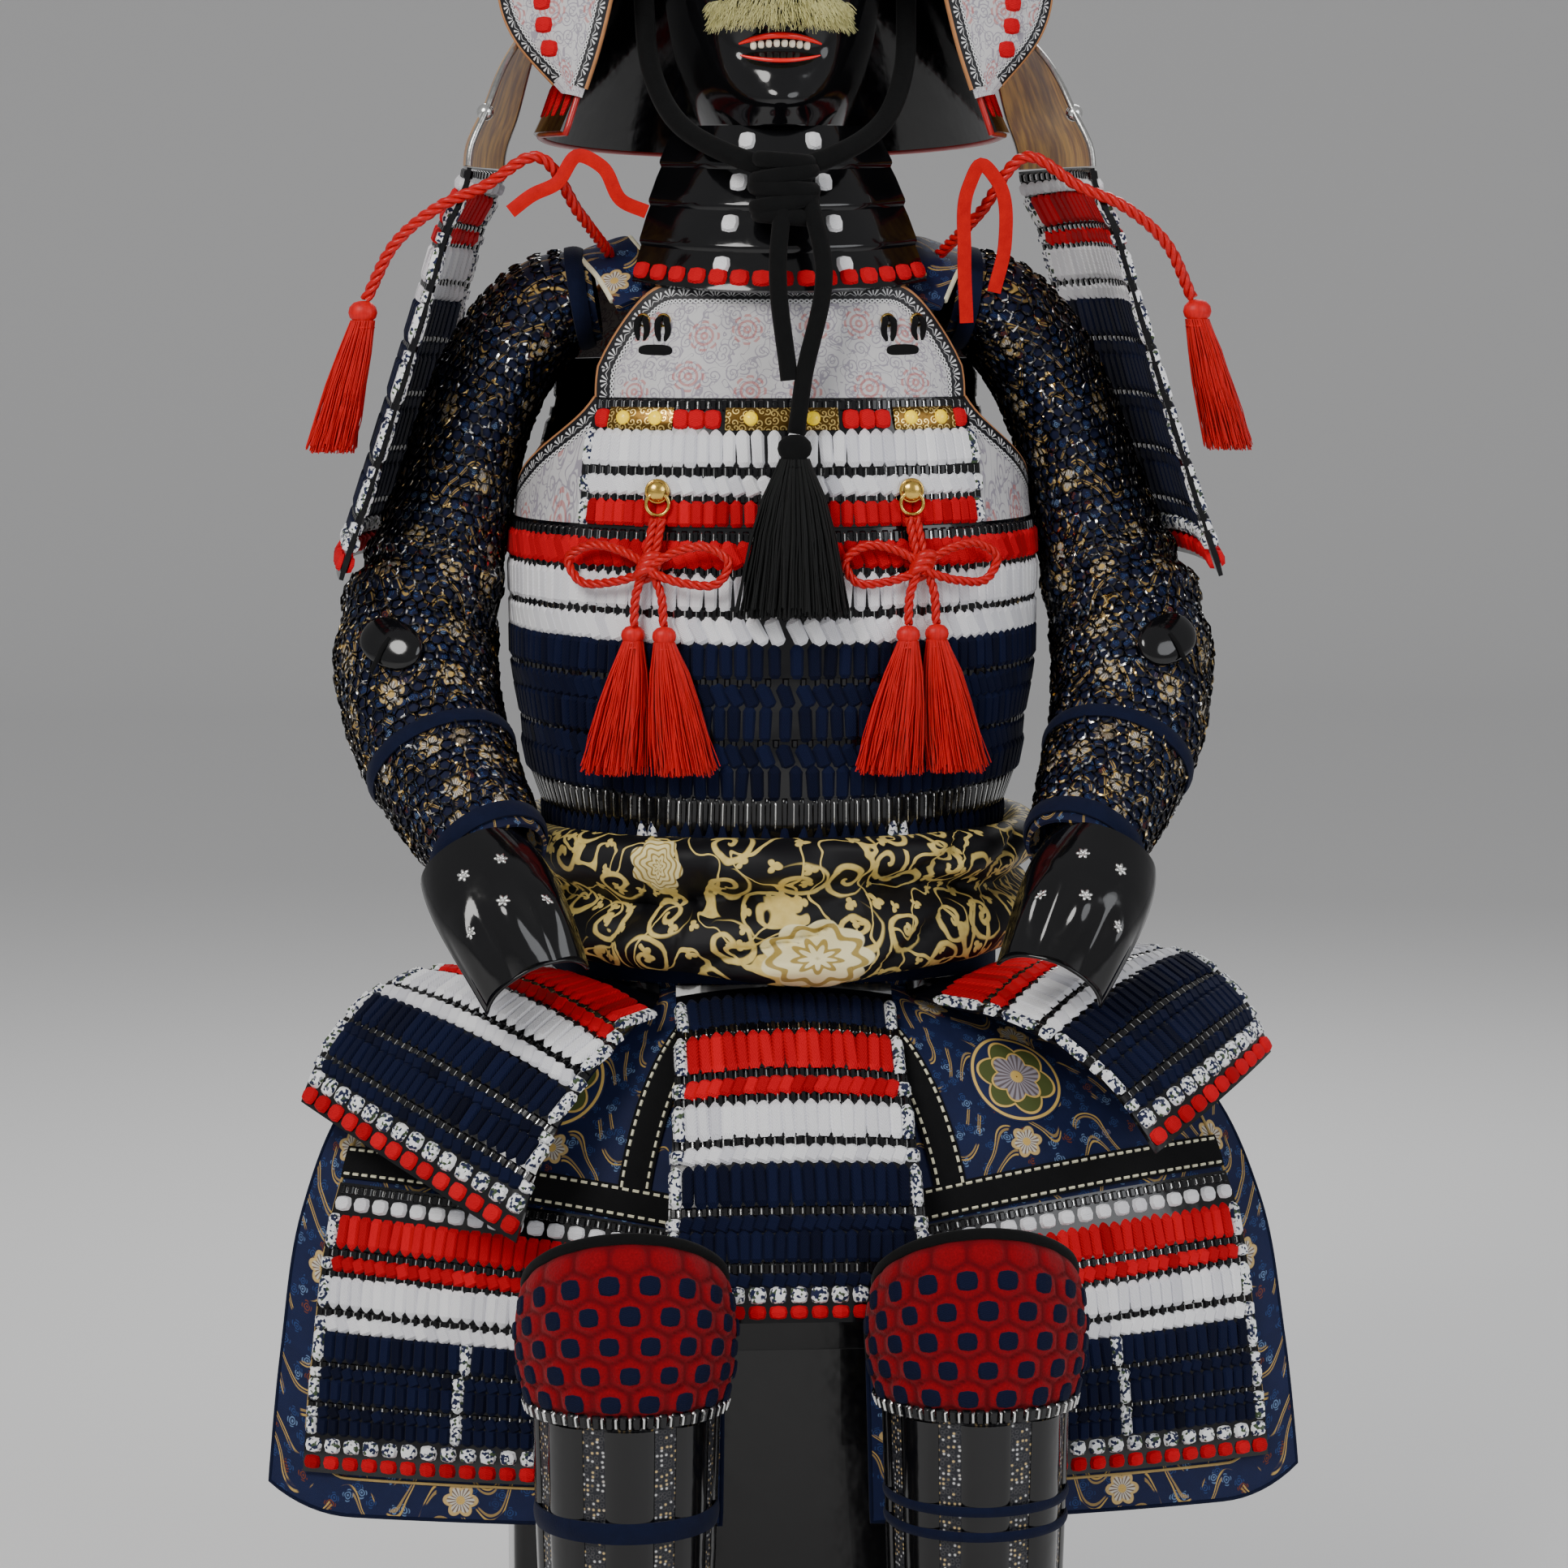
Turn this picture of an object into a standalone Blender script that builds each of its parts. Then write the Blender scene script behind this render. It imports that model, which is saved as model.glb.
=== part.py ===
"""Samurai armour, seated on its armour box: helmet, face mask, cuirass, tassets, sleeves and guards.

Metres, +Z up, the front faces -Y, the origin is on the floor under the middle of the whole set.
Each sub-part is one closed solid. Laced plates are walls whose outside steps out at each lame.
"""

import math

import bmesh
import bpy
from mathutils import Vector
from mathutils.bvhtree import BVHTree

# Driving sizes of the whole set
GAP = 0.0004            # clearance where one piece lies on another
CLOTH_WALL = 0.0025     # brocade with its lining
PLATE_WALL = 0.004      # a laced lame, lacquer and lacing together
LAME_STEP = 0.0035      # how far a lame stands out over the next one
LEATHER_WALL = 0.003    # a plate faced with printed leather
DEPTH_SHIFT = 0.06851   # moves the set so that the origin is under its middle

SEAT_GAP = 0.0005       # how far short of touching a seated piece is left
BACK_ROWS = 4           # rows of points down the plain back of a stack of lames
TASSEL_INSET = 0.050    # share of a tassel head's radius between neighbouring strands
TASSEL_HEAD = (
    # radius and height of the head's rings, as shares of its radius
    (0.35, 0.00), (0.90, -0.35), (0.95, -1.00), (0.70, -1.25), (0.86, -1.70),
)

# The armour box and the stand inside the set
BOX_WIDTH = 0.40
BOX_FRONT = -0.150
BOX_BACK = 0.176
BOX_HEIGHT = 0.430
LID_HEIGHT = 0.105
LID_PROUD = 0.006
POST_SIDE = 0.036
STAND_Y = 0.010
BOX_CUT = 0.008
SHOULDER_BAR = (0.250, 0.030, 0.028)
SHOULDER_BAR_Z = 1.1030
HEAD_FORM = (0.066, 0.078, 0.090)

# The cuirass: half width and half depth of the torso by height, with the middle's place in depth
TORSO = (
    # height, half width, half depth, middle y
    (0.600, 0.166, 0.128, 0.000),
    (0.655, 0.162, 0.124, 0.000),
    (0.705, 0.168, 0.128, 0.000),
    (0.760, 0.182, 0.136, 0.000),
    (0.830, 0.191, 0.141, 0.000),
    (0.900, 0.192, 0.139, 0.000),
    (0.960, 0.187, 0.132, 0.000),
    (1.020, 0.173, 0.124, 0.002),
    (1.110, 0.152, 0.112, 0.006),
)
TORSO_SQUARE = 0.86     # below 1 the section is fuller than an ellipse
WAIST_TOP = 0.712
TORSO_TOP = 0.926
CHEST_TOP = 1.016
COLLAR_TOP = 1.098
FRONT_DIP = 0.014       # the body lames hang lower at the front
CHEST_SPREAD = 47.0     # degrees each side that the chest plate covers
BACK_LAMES_TOP = 1.040
BACK_FROM = 117.6       # degrees from the front where the back plates begin

# Helmet
BOWL_CENTRE = Vector((0.0, 0.008, 1.392))
BOWL_RADII = (0.112, 0.132, 0.140)
BOWL_WALL = 0.003
BOWL_RIBS = 14
BOWL_LIFTS = (-6, 14, 34, 54, 72)
BOWL_INNER_TOP = 81     # lift of the last ring inside the bowl
RIB_HEIGHT = 0.0016
CROWN_FITTING = ((0.024, 0.001), (0.021, 0.006), (0.009, 0.012))  # radius and rise of its rings
VISOR_SPREAD = 56.0
VISOR_REACH = 0.040
NECK_GUARD_FROM = 64.0
NECK_WALL = 0.003
MASK_WALL = 0.0025      # lacquered iron: mask, throat guard and hand plates
KNEE_WALL = 0.006       # the padded knee quilt
SIDE_NAMES = {1: "right", -1: "left"}

# Colours: base colour, roughness, metallic
FINISHES = {
    "black_lacquer": ((0.008, 0.008, 0.009), 0.16, 0.0),
    "navy_lacing": ((0.010, 0.017, 0.052), 0.85, 0.0),
    "black_cord": ((0.010, 0.010, 0.011), 0.90, 0.0),
    "red_silk": ((0.720, 0.018, 0.012), 0.55, 0.0),
    "printed_leather": ((0.560, 0.540, 0.550), 0.60, 0.0),
    "blue_brocade": ((0.020, 0.045, 0.160), 0.60, 0.0),
    "gold_brocade": ((0.360, 0.270, 0.080), 0.50, 0.0),
    "mail_sleeve": ((0.020, 0.021, 0.028), 0.45, 0.6),
    "knee_quilt": ((0.420, 0.020, 0.020), 0.85, 0.0),
    "gilt": ((0.850, 0.560, 0.150), 0.28, 1.0),
    "gold_leather": ((0.520, 0.270, 0.060), 0.45, 0.0),
    "box_lacquer": ((0.010, 0.010, 0.011), 0.25, 0.0),
    "stand_wood": ((0.250, 0.150, 0.070), 0.60, 0.0),
}


def clear_scene():
    """Removes whatever the startup scene holds."""
    for old in list(bpy.data.objects):
        bpy.data.objects.remove(old)


def finish_for(name, finish):
    """A sub-part's own material, in one of the finishes."""
    colour, roughness, metallic = FINISHES[finish]
    made = bpy.data.materials.new(f"{name}_{finish}")
    made.use_nodes = True
    shader = made.node_tree.nodes["Principled BSDF"]
    shader.inputs["Base Color"].default_value = (*colour, 1.0)
    shader.inputs["Roughness"].default_value = roughness
    shader.inputs["Metallic"].default_value = metallic
    made.diffuse_color = (*colour, 1.0)
    return made


def object_from(name, mesh_data, finish, flat_angle=35.0):
    """Links a bmesh as an object, with its faces pointing out and round faces smooth."""
    bmesh.ops.recalc_face_normals(mesh_data, faces=mesh_data.faces)
    mesh = bpy.data.meshes.new(name)
    mesh_data.to_mesh(mesh)
    mesh_data.free()
    mesh.shade_smooth()
    mesh.set_sharp_from_angle(angle=math.radians(flat_angle))
    mesh.materials.append(finish_for(name, finish))
    made = bpy.data.objects.new(name, mesh)
    bpy.context.scene.collection.objects.link(made)
    return made


def grid_faces(mesh_data, rows, closed):
    """Skins a grid of vertices with quads. A closed grid joins its last column to its first."""
    for upper, lower in zip(rows, rows[1:]):
        count = len(upper)
        last = count if closed else count - 1
        for i in range(last):
            j = (i + 1) % count
            mesh_data.faces.new((upper[i], upper[j], lower[j], lower[i]))


def zip_faces(mesh_data, first, second):
    """Fills between two open rows of vertices that may differ in number."""
    i = j = 0
    while i < len(first) - 1 or j < len(second) - 1:
        on_first = (i + 1) / max(len(first) - 1, 1)
        on_second = (j + 1) / max(len(second) - 1, 1)
        if j >= len(second) - 1 or (i < len(first) - 1 and on_first <= on_second):
            mesh_data.faces.new((first[i], first[i + 1], second[j]))
            i += 1
        else:
            mesh_data.faces.new((first[i], second[j + 1], second[j]))
            j += 1


def wall(name, outer, inner, finish, closed=False):
    """A closed solid between an outer and an inner grid of points with the same columns."""
    mesh_data = bmesh.new()
    out_rows = [[mesh_data.verts.new(p) for p in row] for row in outer]
    in_rows = [[mesh_data.verts.new(p) for p in row] for row in inner]
    grid_faces(mesh_data, out_rows, closed)
    grid_faces(mesh_data, in_rows, closed)
    for k in (0, -1):
        grid_faces(mesh_data, [out_rows[k], in_rows[k]], closed)
    if not closed:
        for k in (0, -1):
            zip_faces(mesh_data, [row[k] for row in out_rows], [row[k] for row in in_rows])
    return object_from(name, mesh_data, finish)


class Spline:
    """A smooth line through rows of numbers, spaced by the lengths between their places."""

    def __init__(self, rows, place=lambda row: Vector(row[0:3])):
        self.rows = rows
        self.knots = [0.0]
        for a, b in zip(rows, rows[1:]):
            self.knots.append(self.knots[-1] + (place(b) - place(a)).length)
        self.length = self.knots[-1]

    def slope(self, k):
        """The rate of change at row k, weighted so that uneven rows don't overshoot."""
        rows, knots = self.rows, self.knots
        if k == 0 or k == len(rows) - 1:
            a, b = (0, 1) if k == 0 else (k - 1, k)
            return [(q - p) / (knots[b] - knots[a]) for p, q in zip(rows[a], rows[b])]
        before, after = knots[k] - knots[k - 1], knots[k + 1] - knots[k]
        return [((q - p) / before * after + (r - q) / after * before) / (before + after)
                for p, q, r in zip(rows[k - 1], rows[k], rows[k + 1])]

    def at(self, share):
        """The row of numbers at a share of the whole length."""
        wanted = min(max(share, 0.0), 1.0) * self.length
        k = 0
        while k < len(self.rows) - 2 and wanted > self.knots[k + 1]:
            k += 1
        width = self.knots[k + 1] - self.knots[k]
        f = (wanted - self.knots[k]) / width
        start, end = self.slope(k), self.slope(k + 1)
        found = []
        for p, q, m, n in zip(self.rows[k], self.rows[k + 1], start, end):
            found.append((2 * f ** 3 - 3 * f * f + 1) * p + (f ** 3 - 2 * f * f + f) * width * m
                         + (3 * f * f - 2 * f ** 3) * q + (f ** 3 - f * f) * width * n)
        return tuple(found)


def torso_sizes(z):
    """Half width, half depth and middle y of the torso at that height."""
    table = TORSO
    if z <= table[0][0]:
        return table[0][1:]
    for low, high in zip(table, table[1:]):
        if z <= high[0]:
            f = (z - low[0]) / (high[0] - low[0])
            f = f * f * (3 - 2 * f)
            return tuple(a + (b - a) * f for a, b in zip(low[1:], high[1:]))
    return table[-1][1:]


def torso_surface(x, z, out=0.0, behind=False):
    """The depth of the torso's outside at a place across and a height."""
    half_width, half_depth, middle = torso_sizes(z)
    s = min(1.0, abs(x) / (half_width + out)) ** (1 / TORSO_SQUARE)
    reach = (half_depth + out) * math.sqrt(1 - s * s) ** TORSO_SQUARE
    return middle + reach if behind else middle - reach


def torso_point(degrees, z, out=0.0):
    """A point round the torso. 0 degrees is the front, 90 is +X; out moves it off the body."""
    half_width, half_depth, middle = torso_sizes(z)
    s, c = math.sin(math.radians(degrees)), math.cos(math.radians(degrees))
    x = math.copysign(abs(s) ** TORSO_SQUARE, s) * (half_width + out)
    y = middle - math.copysign(abs(c) ** TORSO_SQUARE, c) * (half_depth + out)
    return Vector((x, y, z))


def dipped(degrees, z, amount=FRONT_DIP):
    """Lowers a height at the front of the body and leaves it at the back."""
    c = max(0.0, math.cos(math.radians(degrees)))
    return z - amount * c * c


def evenly(start, stop, count):
    """That many values from start to stop, both included."""
    return [start + (stop - start) * i / (count - 1) for i in range(count)]


def lame_rows(count):
    """Pairs of (share of the height from the top, outward step) that make each lame overlap the next."""
    rows = []
    lip = 0.018
    for i in range(count):
        rows.append((i / count + (lip if i else 0.0), 0.0))
        rows.append(((i + 1) / count, LAME_STEP))
    return rows


def torso_lames(name, angles, top, bottom, count, finish, closed=False, dip_top=0.0, dip_bottom=0.0):
    """A stack of laced lames round part of the torso, or all round it."""

    def level(degrees, share):
        high = dipped(degrees, top, dip_top)
        return high + (dipped(degrees, bottom, dip_bottom) - high) * share

    outer = [[torso_point(a, level(a, share), PLATE_WALL + step) for a in angles]
             for share, step in lame_rows(count)]
    inner = [[torso_point(a, level(a, share)) for a in angles] for share in evenly(0, 1, BACK_ROWS)]
    return wall(name, outer, inner, finish, closed)


def shaped_plate(name, angles, low_edge, high_edge, finish, rows=4, thickness=LEATHER_WALL, out=0.0):
    """A plate on the torso between two edges, each a function from angle to height."""
    outer, inner = [], []
    for share in evenly(0.0, 1.0, rows):
        heights = [low_edge(a) + (high_edge(a) - low_edge(a)) * share for a in angles]
        outer.append([torso_point(a, z, out + thickness) for a, z in zip(angles, heights)])
        inner.append([torso_point(a, z, out) for a, z in zip(angles, heights)])
    return wall(name, outer, inner, finish)


class Panel:
    """A hanging sheet between an inner and an outer edge, read from rows of the two edges.

    Each row is (inner x, y, z, outer x, y, z, bow): bow is how far the middle stands out.
    """

    def __init__(self, rows, side=1):
        self.side = side
        self.spline = Spline(rows, lambda row: (Vector(row[0:3]) + Vector(row[3:6])) / 2)

    def raw(self, u, v):
        """Both edges, the straight place between them and the bow, at a share of the fall."""
        values = self.spline.at(v)
        inner, outer = Vector(values[0:3]), Vector(values[3:6])
        return inner, outer, inner.lerp(outer, u), values[6]

    def bare_normal(self, v):
        step = 0.02
        inner, outer, _, _ = self.raw(0.5, v)
        above = self.raw(0.5, max(v - step, 0.0))[2]
        below = self.raw(0.5, min(v + step, 1.0))[2]
        return (below - above).cross(outer - inner).normalized()

    def plain_point(self, u, v):
        _, _, base, bow = self.raw(u, v)
        return base + self.bare_normal(v) * (bow * 4 * u * (1 - u))

    def point(self, u, v, out=0.0):
        """The point at share u across and v down, moved off the sheet by out."""
        here = self.plain_point(u, v)
        if out:
            e = 0.01
            across = self.plain_point(min(u + e, 1), v) - self.plain_point(max(u - e, 0), v)
            down = self.plain_point(u, min(v + e, 1)) - self.plain_point(u, max(v - e, 0))
            here = here + down.cross(across).normalized() * out
        return Vector((here.x * self.side, here.y, here.z))


def panel_wall(name, panel, us, vs, finish, inner_out, outer_out, corner=0.0):
    """A closed wall on a panel. corner is how much shorter it falls at its rounded outer corner."""

    def fall(u, v):
        return v * (1 - corner * max(0.0, (u - CORNER_FROM) / (1 - CORNER_FROM)) ** 2)

    outer = [[panel.point(u, fall(u, v), outer_out) for u in us] for v in vs]
    inner = [[panel.point(u, fall(u, v), inner_out) for u in us] for v in vs]
    return wall(name, outer, inner, finish)


def laced_panel(name, panel, us, v_top, v_bottom, count, finish, inner_out=0.0, back_rows=5):
    """Laced lames on a panel, each stepping out over the next."""
    outer = [[panel.point(u, v_top + (v_bottom - v_top) * share, inner_out + PLATE_WALL + step) for u in us]
             for share, step in lame_rows(count)]
    inner = [[panel.point(u, v, inner_out) for u in us] for v in evenly(v_top, v_bottom, back_rows)]
    return wall(name, outer, inner, finish)


def frames_along(points, up=Vector((0, 0, 1))):
    """Two cross directions at each point of a path, turning as little as they can."""
    frames = []
    side = None
    for i, p in enumerate(points):
        ahead = (points[min(i + 1, len(points) - 1)] - points[max(i - 1, 0)]).normalized()
        if side is None:
            side = ahead.cross(up)
            if side.length < 0.1:
                side = ahead.cross(Vector((0, 1, 0)))
        side = (side - ahead * side.dot(ahead)).normalized()
        frames.append((side.copy(), ahead.cross(side).normalized()))
    return frames


def sleeve_grid(table, count, steps, out, side, ripple):
    """Rings of points round a bent sleeve. Each table row is x, y, z, half width, half depth."""
    line = Spline(table)
    samples = [line.at(t) for t in evenly(0.0, 1.0, steps)]
    centres = [Vector(s[0:3]) for s in samples]
    rows = []
    for k, ((across, depth), sample) in enumerate(zip(frames_along(centres, Vector((0, 1, 0))), samples)):
        row = []
        for i in range(count):
            a = 2 * math.pi * i / count
            fold = ripple(a, k / (steps - 1))
            p = centres[k] + across * math.cos(a) * (sample[3] + out + fold) \
                + depth * math.sin(a) * (sample[4] + out + fold)
            row.append(Vector((p.x * side, p.y, p.z)))
        rows.append(row)
    return rows


def strip(name, points, faces_to, width, thickness, finish):
    """A flat band that follows a path. faces_to is the way its face looks at each point."""
    outer, inner = [], []
    for i, p in enumerate(points):
        ahead = points[min(i + 1, len(points) - 1)] - points[max(i - 1, 0)]
        across = ahead.cross(faces_to[i]).normalized()
        face = across.cross(ahead).normalized()
        ends = [p - across * width / 2, p + across * width / 2]
        outer.append([q + face * thickness / 2 for q in ends])
        inner.append([q - face * thickness / 2 for q in ends])
    return wall(name, outer, inner, finish)


def even_path(route, spacing):
    """Points at an even spacing on a smooth line through the route."""
    line = Spline([tuple(p) for p in route])
    count = max(3, round(line.length / spacing) + 1)
    return [Vector(line.at(t)) for t in evenly(0.0, 1.0, count)]


def tube(name, route, diameter, finish, sides=7, spacing=2.4):
    """A round cord through the route, with a ring of points every few diameters."""
    points = even_path(route, spacing * diameter)
    mesh_data = bmesh.new()
    rows = []
    for p, (across, depth) in zip(points, frames_along(points, Vector((0.1, 1, 0.2)))):
        rows.append([
            mesh_data.verts.new(p + (across * math.cos(2 * math.pi * i / sides)
                                     + depth * math.sin(2 * math.pi * i / sides)) * diameter / 2)
            for i in range(sides)
        ])
    grid_faces(mesh_data, rows, True)
    mesh_data.faces.new(rows[0])
    mesh_data.faces.new(rows[-1])
    return object_from(name, mesh_data, finish, 60.0)


def ball(name, centre, radii, finish, segments=10, rings=6):
    """An ellipsoid, for knots, studs and the stand's head form."""
    mesh_data = bmesh.new()
    bmesh.ops.create_uvsphere(mesh_data, u_segments=segments, v_segments=rings, radius=1.0)
    for v in mesh_data.verts:
        v.co = centre + Vector(a * b for a, b in zip(v.co, radii))
    return object_from(name, mesh_data, finish, 60.0)


def block(mesh_data, low, high):
    """Adds a box between two corners."""
    corners = [
        mesh_data.verts.new((x, y, z))
        for z in (low[2], high[2])
        for x, y in ((low[0], low[1]), (high[0], low[1]), (high[0], high[1]), (low[0], high[1]))
    ]
    for ids in ((3, 2, 1, 0), (4, 5, 6, 7), (0, 1, 5, 4), (1, 2, 6, 5), (2, 3, 7, 6), (3, 0, 4, 7)):
        mesh_data.faces.new([corners[i] for i in ids])


def block_object(name, low, high, finish):
    """One box as an object of its own."""
    mesh_data = bmesh.new()
    block(mesh_data, low, high)
    return object_from(name, mesh_data, finish)


def join_solids(base, *others):
    """Makes one body of several by Boolean union, and keeps only the first object."""
    for other in others:
        modifier = base.modifiers.new("join", "BOOLEAN")
        modifier.operation = "UNION"
        modifier.solver = "EXACT"
        modifier.object = other
    depsgraph = bpy.context.evaluated_depsgraph_get()
    mesh = bpy.data.meshes.new_from_object(base.evaluated_get(depsgraph))
    base.modifiers.clear()
    base.data = mesh
    mesh.shade_smooth()
    mesh.set_sharp_from_angle(angle=math.radians(50))
    for other in others:
        bpy.data.objects.remove(other)
    return base


def polygons_of(made, shift=Vector()):
    """The placed corners and faces of an object, moved by shift."""
    corners = [made.matrix_basis @ v.co + shift for v in made.data.vertices]
    return corners, [tuple(p.vertices) for p in made.data.polygons]


def tree_of(objects, shift=Vector()):
    """One search tree over the faces of several objects."""
    corners, faces = [], []
    for made in objects:
        start = len(corners)
        own_corners, own_faces = polygons_of(made, shift)
        corners += own_corners
        faces += [tuple(start + i for i in face) for face in own_faces]
    return BVHTree.FromPolygons(corners, faces)


def seat(moved, against, direction, gap=SEAT_GAP, reach=0.060, away=0.0, step=0.001):
    """Slides objects until they would touch the others, and leaves them the gap short of that.

    away is how far back along the way the slide begins.
    """
    way = Vector(direction).normalized()
    ground = tree_of(against)
    travel = -away
    while not tree_of(moved, way * travel).overlap(ground):
        travel += step
        if travel > reach:
            raise ValueError(f"{moved[0].name} meets nothing within {reach} m")
    low, high = travel - step, travel
    while high - low > 0.00001:
        middle = (low + high) / 2
        if tree_of(moved, way * middle).overlap(ground):
            high = middle
        else:
            low = middle
    for made in moved:
        for corner in made.data.vertices:
            corner.co += way * (low - gap)


def tassel(name, top, length, head_radius, flare, strands, finish, flatten=1.0, lean=(0.0, 0.0)):
    """A tassel: a bound head whose underside is divided into cells, each drawn down into a strand.

    flatten squeezes the tassel in depth where it lies on the body, and lean carries its foot aside.
    """
    mesh_data = bmesh.new()

    def ring(radius, drop):
        row = []
        for i in range(strands):
            a = 2 * math.pi * (i + 0.5) / strands
            row.append(mesh_data.verts.new(top + Vector((
                math.cos(a) * radius * head_radius,
                math.sin(a) * radius * head_radius * max(flatten, 0.7),
                drop * head_radius))))
        return row

    loops = [ring(radius, drop) for radius, drop in TASSEL_HEAD]
    mesh_data.faces.new(loops[0][::-1])
    grid_faces(mesh_data, loops, True)
    foot = top + Vector((0, 0, TASSEL_HEAD[-1][1] * head_radius))
    middle = mesh_data.verts.new(foot)
    cells = [mesh_data.faces.new((loops[-1][i], loops[-1][(i + 1) % strands], middle))
             for i in range(strands)]
    bmesh.ops.recalc_face_normals(mesh_data, faces=mesh_data.faces)
    bmesh.ops.inset_individual(mesh_data, faces=cells, thickness=head_radius * TASSEL_INSET)
    for n, cell in enumerate(cells):
        start = cell.calc_center_median()
        out = start - foot
        inward = 0.40 if n % 3 == 1 else 1.0
        longer = 1.0 + 0.04 * math.sin(2.4 * n)
        grown = cell
        for down, spread, scale in ((0.35, 0.55, 1.15), (1.0, 1.0, 1.0)):
            grown = bmesh.ops.extrude_discrete_faces(mesh_data, faces=[grown])["faces"][0]
            now = grown.calc_center_median()
            reach = out * (spread * flare / out.length) * inward
            goal = start + Vector((reach.x, reach.y * flatten, 0))
            goal += Vector((lean[0] * down, lean[1] * down, -length * down * longer))
            for v in grown.verts:
                v.co = goal + (v.co - now) * scale
    return object_from(name, mesh_data, finish)


# Armour box and stand

def build_box():
    """The lacquered chest that the set sits on, with the lid's overlap standing proud."""
    mesh_data = bmesh.new()
    half = BOX_WIDTH / 2
    seam = BOX_HEIGHT - LID_HEIGHT
    levels = ((0.0, 0.006), (0.006, 0.0), (seam, 0.0), (seam, -LID_PROUD),
              (BOX_HEIGHT - BOX_CUT / 2, -LID_PROUD), (BOX_HEIGHT, BOX_CUT / 2 - LID_PROUD))
    rows = []
    for z, inset in levels:
        x, front, back = half - inset, BOX_FRONT + inset, BOX_BACK - inset
        cut = BOX_CUT
        ring = ((x - cut, front), (x, front + cut), (x, back - cut), (x - cut, back),
                (cut - x, back), (-x, back - cut), (-x, front + cut), (cut - x, front))
        rows.append([mesh_data.verts.new((px, py, z)) for px, py in ring])
    grid_faces(mesh_data, rows, True)
    mesh_data.faces.new(rows[0])
    mesh_data.faces.new(rows[-1])
    return object_from("armour_box", mesh_data, "box_lacquer", 20.0)


def build_stand():
    """The post on the box lid, its shoulder bar and the plain round form that holds the helmet."""
    half = POST_SIDE / 2
    rest = BOWL_CENTRE.z + (BOWL_RADII[2] - BOWL_WALL) * math.sin(math.radians(BOWL_INNER_TOP))
    head_centre = Vector((0, STAND_Y, rest - HEAD_FORM[2] - GAP))
    post = block_object("stand", (-half, STAND_Y - half, BOX_HEIGHT + GAP),
                        (half, STAND_Y + half, head_centre.z), "stand_wood")
    length, depth, height = [s / 2 for s in SHOULDER_BAR]
    bar = block_object("shoulder_bar", (-length, STAND_Y - depth, SHOULDER_BAR_Z - height),
                       (length, STAND_Y + depth, SHOULDER_BAR_Z + height), "stand_wood")
    form = ball("head_form", head_centre, HEAD_FORM, "stand_wood", 14, 8)
    return join_solids(post, bar, form)


# Helmet

def bowl_point(degrees, lift, out=0.0):
    """A point of the helmet bowl. lift is 0 at the rim and 90 degrees at the crown."""
    a, e = math.radians(degrees), math.radians(lift)
    radii = [r + out for r in BOWL_RADII]
    return BOWL_CENTRE + Vector((
        math.sin(a) * math.cos(e) * radii[0], -math.cos(a) * math.cos(e) * radii[1],
        math.sin(e) * radii[2]))


def build_bowl():
    """The ribbed bowl, with a stepped fitting at its crown."""
    mesh_data = bmesh.new()
    count = BOWL_RIBS * 2
    angles = [360 * i / count for i in range(count)]
    outer = []
    for lift in BOWL_LIFTS:
        rib = RIB_HEIGHT * math.cos(math.radians(lift))
        outer.append([bowl_point(a, lift, rib if i % 2 == 0 else 0.0) for i, a in enumerate(angles)])
    crown = BOWL_CENTRE + Vector((0, 0, BOWL_RADII[2]))
    for radius, rise in CROWN_FITTING:
        outer.append([crown + Vector((math.sin(math.radians(a)) * radius,
                                      -math.cos(math.radians(a)) * radius, rise)) for a in angles])
    inner = [[bowl_point(a, lift, -BOWL_WALL) for a in angles]
             for lift in (*BOWL_LIFTS[:-1], BOWL_INNER_TOP)]
    out_rows = [[mesh_data.verts.new(p) for p in row] for row in outer]
    in_rows = [[mesh_data.verts.new(p) for p in row] for row in inner]
    grid_faces(mesh_data, out_rows, True)
    grid_faces(mesh_data, in_rows, True)
    grid_faces(mesh_data, [out_rows[0], in_rows[0]], True)
    mesh_data.faces.new(out_rows[-1])
    mesh_data.faces.new(in_rows[-1])
    return object_from("helmet_bowl", mesh_data, "black_lacquer")


def build_visor():
    """The peak over the brow, a crescent that reaches forwards and down from the rim."""
    outer, inner = [], []
    for share in evenly(0.0, 1.0, 3):
        out_row, in_row = [], []
        for a in evenly(-VISOR_SPREAD, VISOR_SPREAD, 13):
            reach = VISOR_REACH * math.cos(math.radians(a * 90 / VISOR_SPREAD)) ** 0.6
            rim = bowl_point(a, -4, 0.0022)
            ahead = Vector((math.sin(math.radians(a)), -math.cos(math.radians(a)), 0))
            p = rim + ahead * reach * share + Vector((0, 0, -0.55 * reach * share ** 1.4 - 0.001))
            out_row.append(p + Vector((0, 0, 0.0025)))
            in_row.append(p)
        outer.append(out_row)
        inner.append(in_row)
    return wall("helmet_visor", outer, inner, "black_lacquer")


def neck_guard_point(degrees, share, out=0.0):
    """A point of the flared neck guard. share is 0 at the helmet rim and 1 at the lowest edge."""
    a = math.radians(degrees)
    half_width = 0.1137 + 0.057 * share ** 1.15 + out
    half_depth = 0.1337 + 0.057 * share ** 1.15 + out
    back = max(0.0, -math.cos(a))
    z = 1.386 - 0.180 * share - 0.012 * back * share
    return Vector((math.sin(a) * half_width, BOWL_CENTRE.y - math.cos(a) * half_depth, z))


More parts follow.
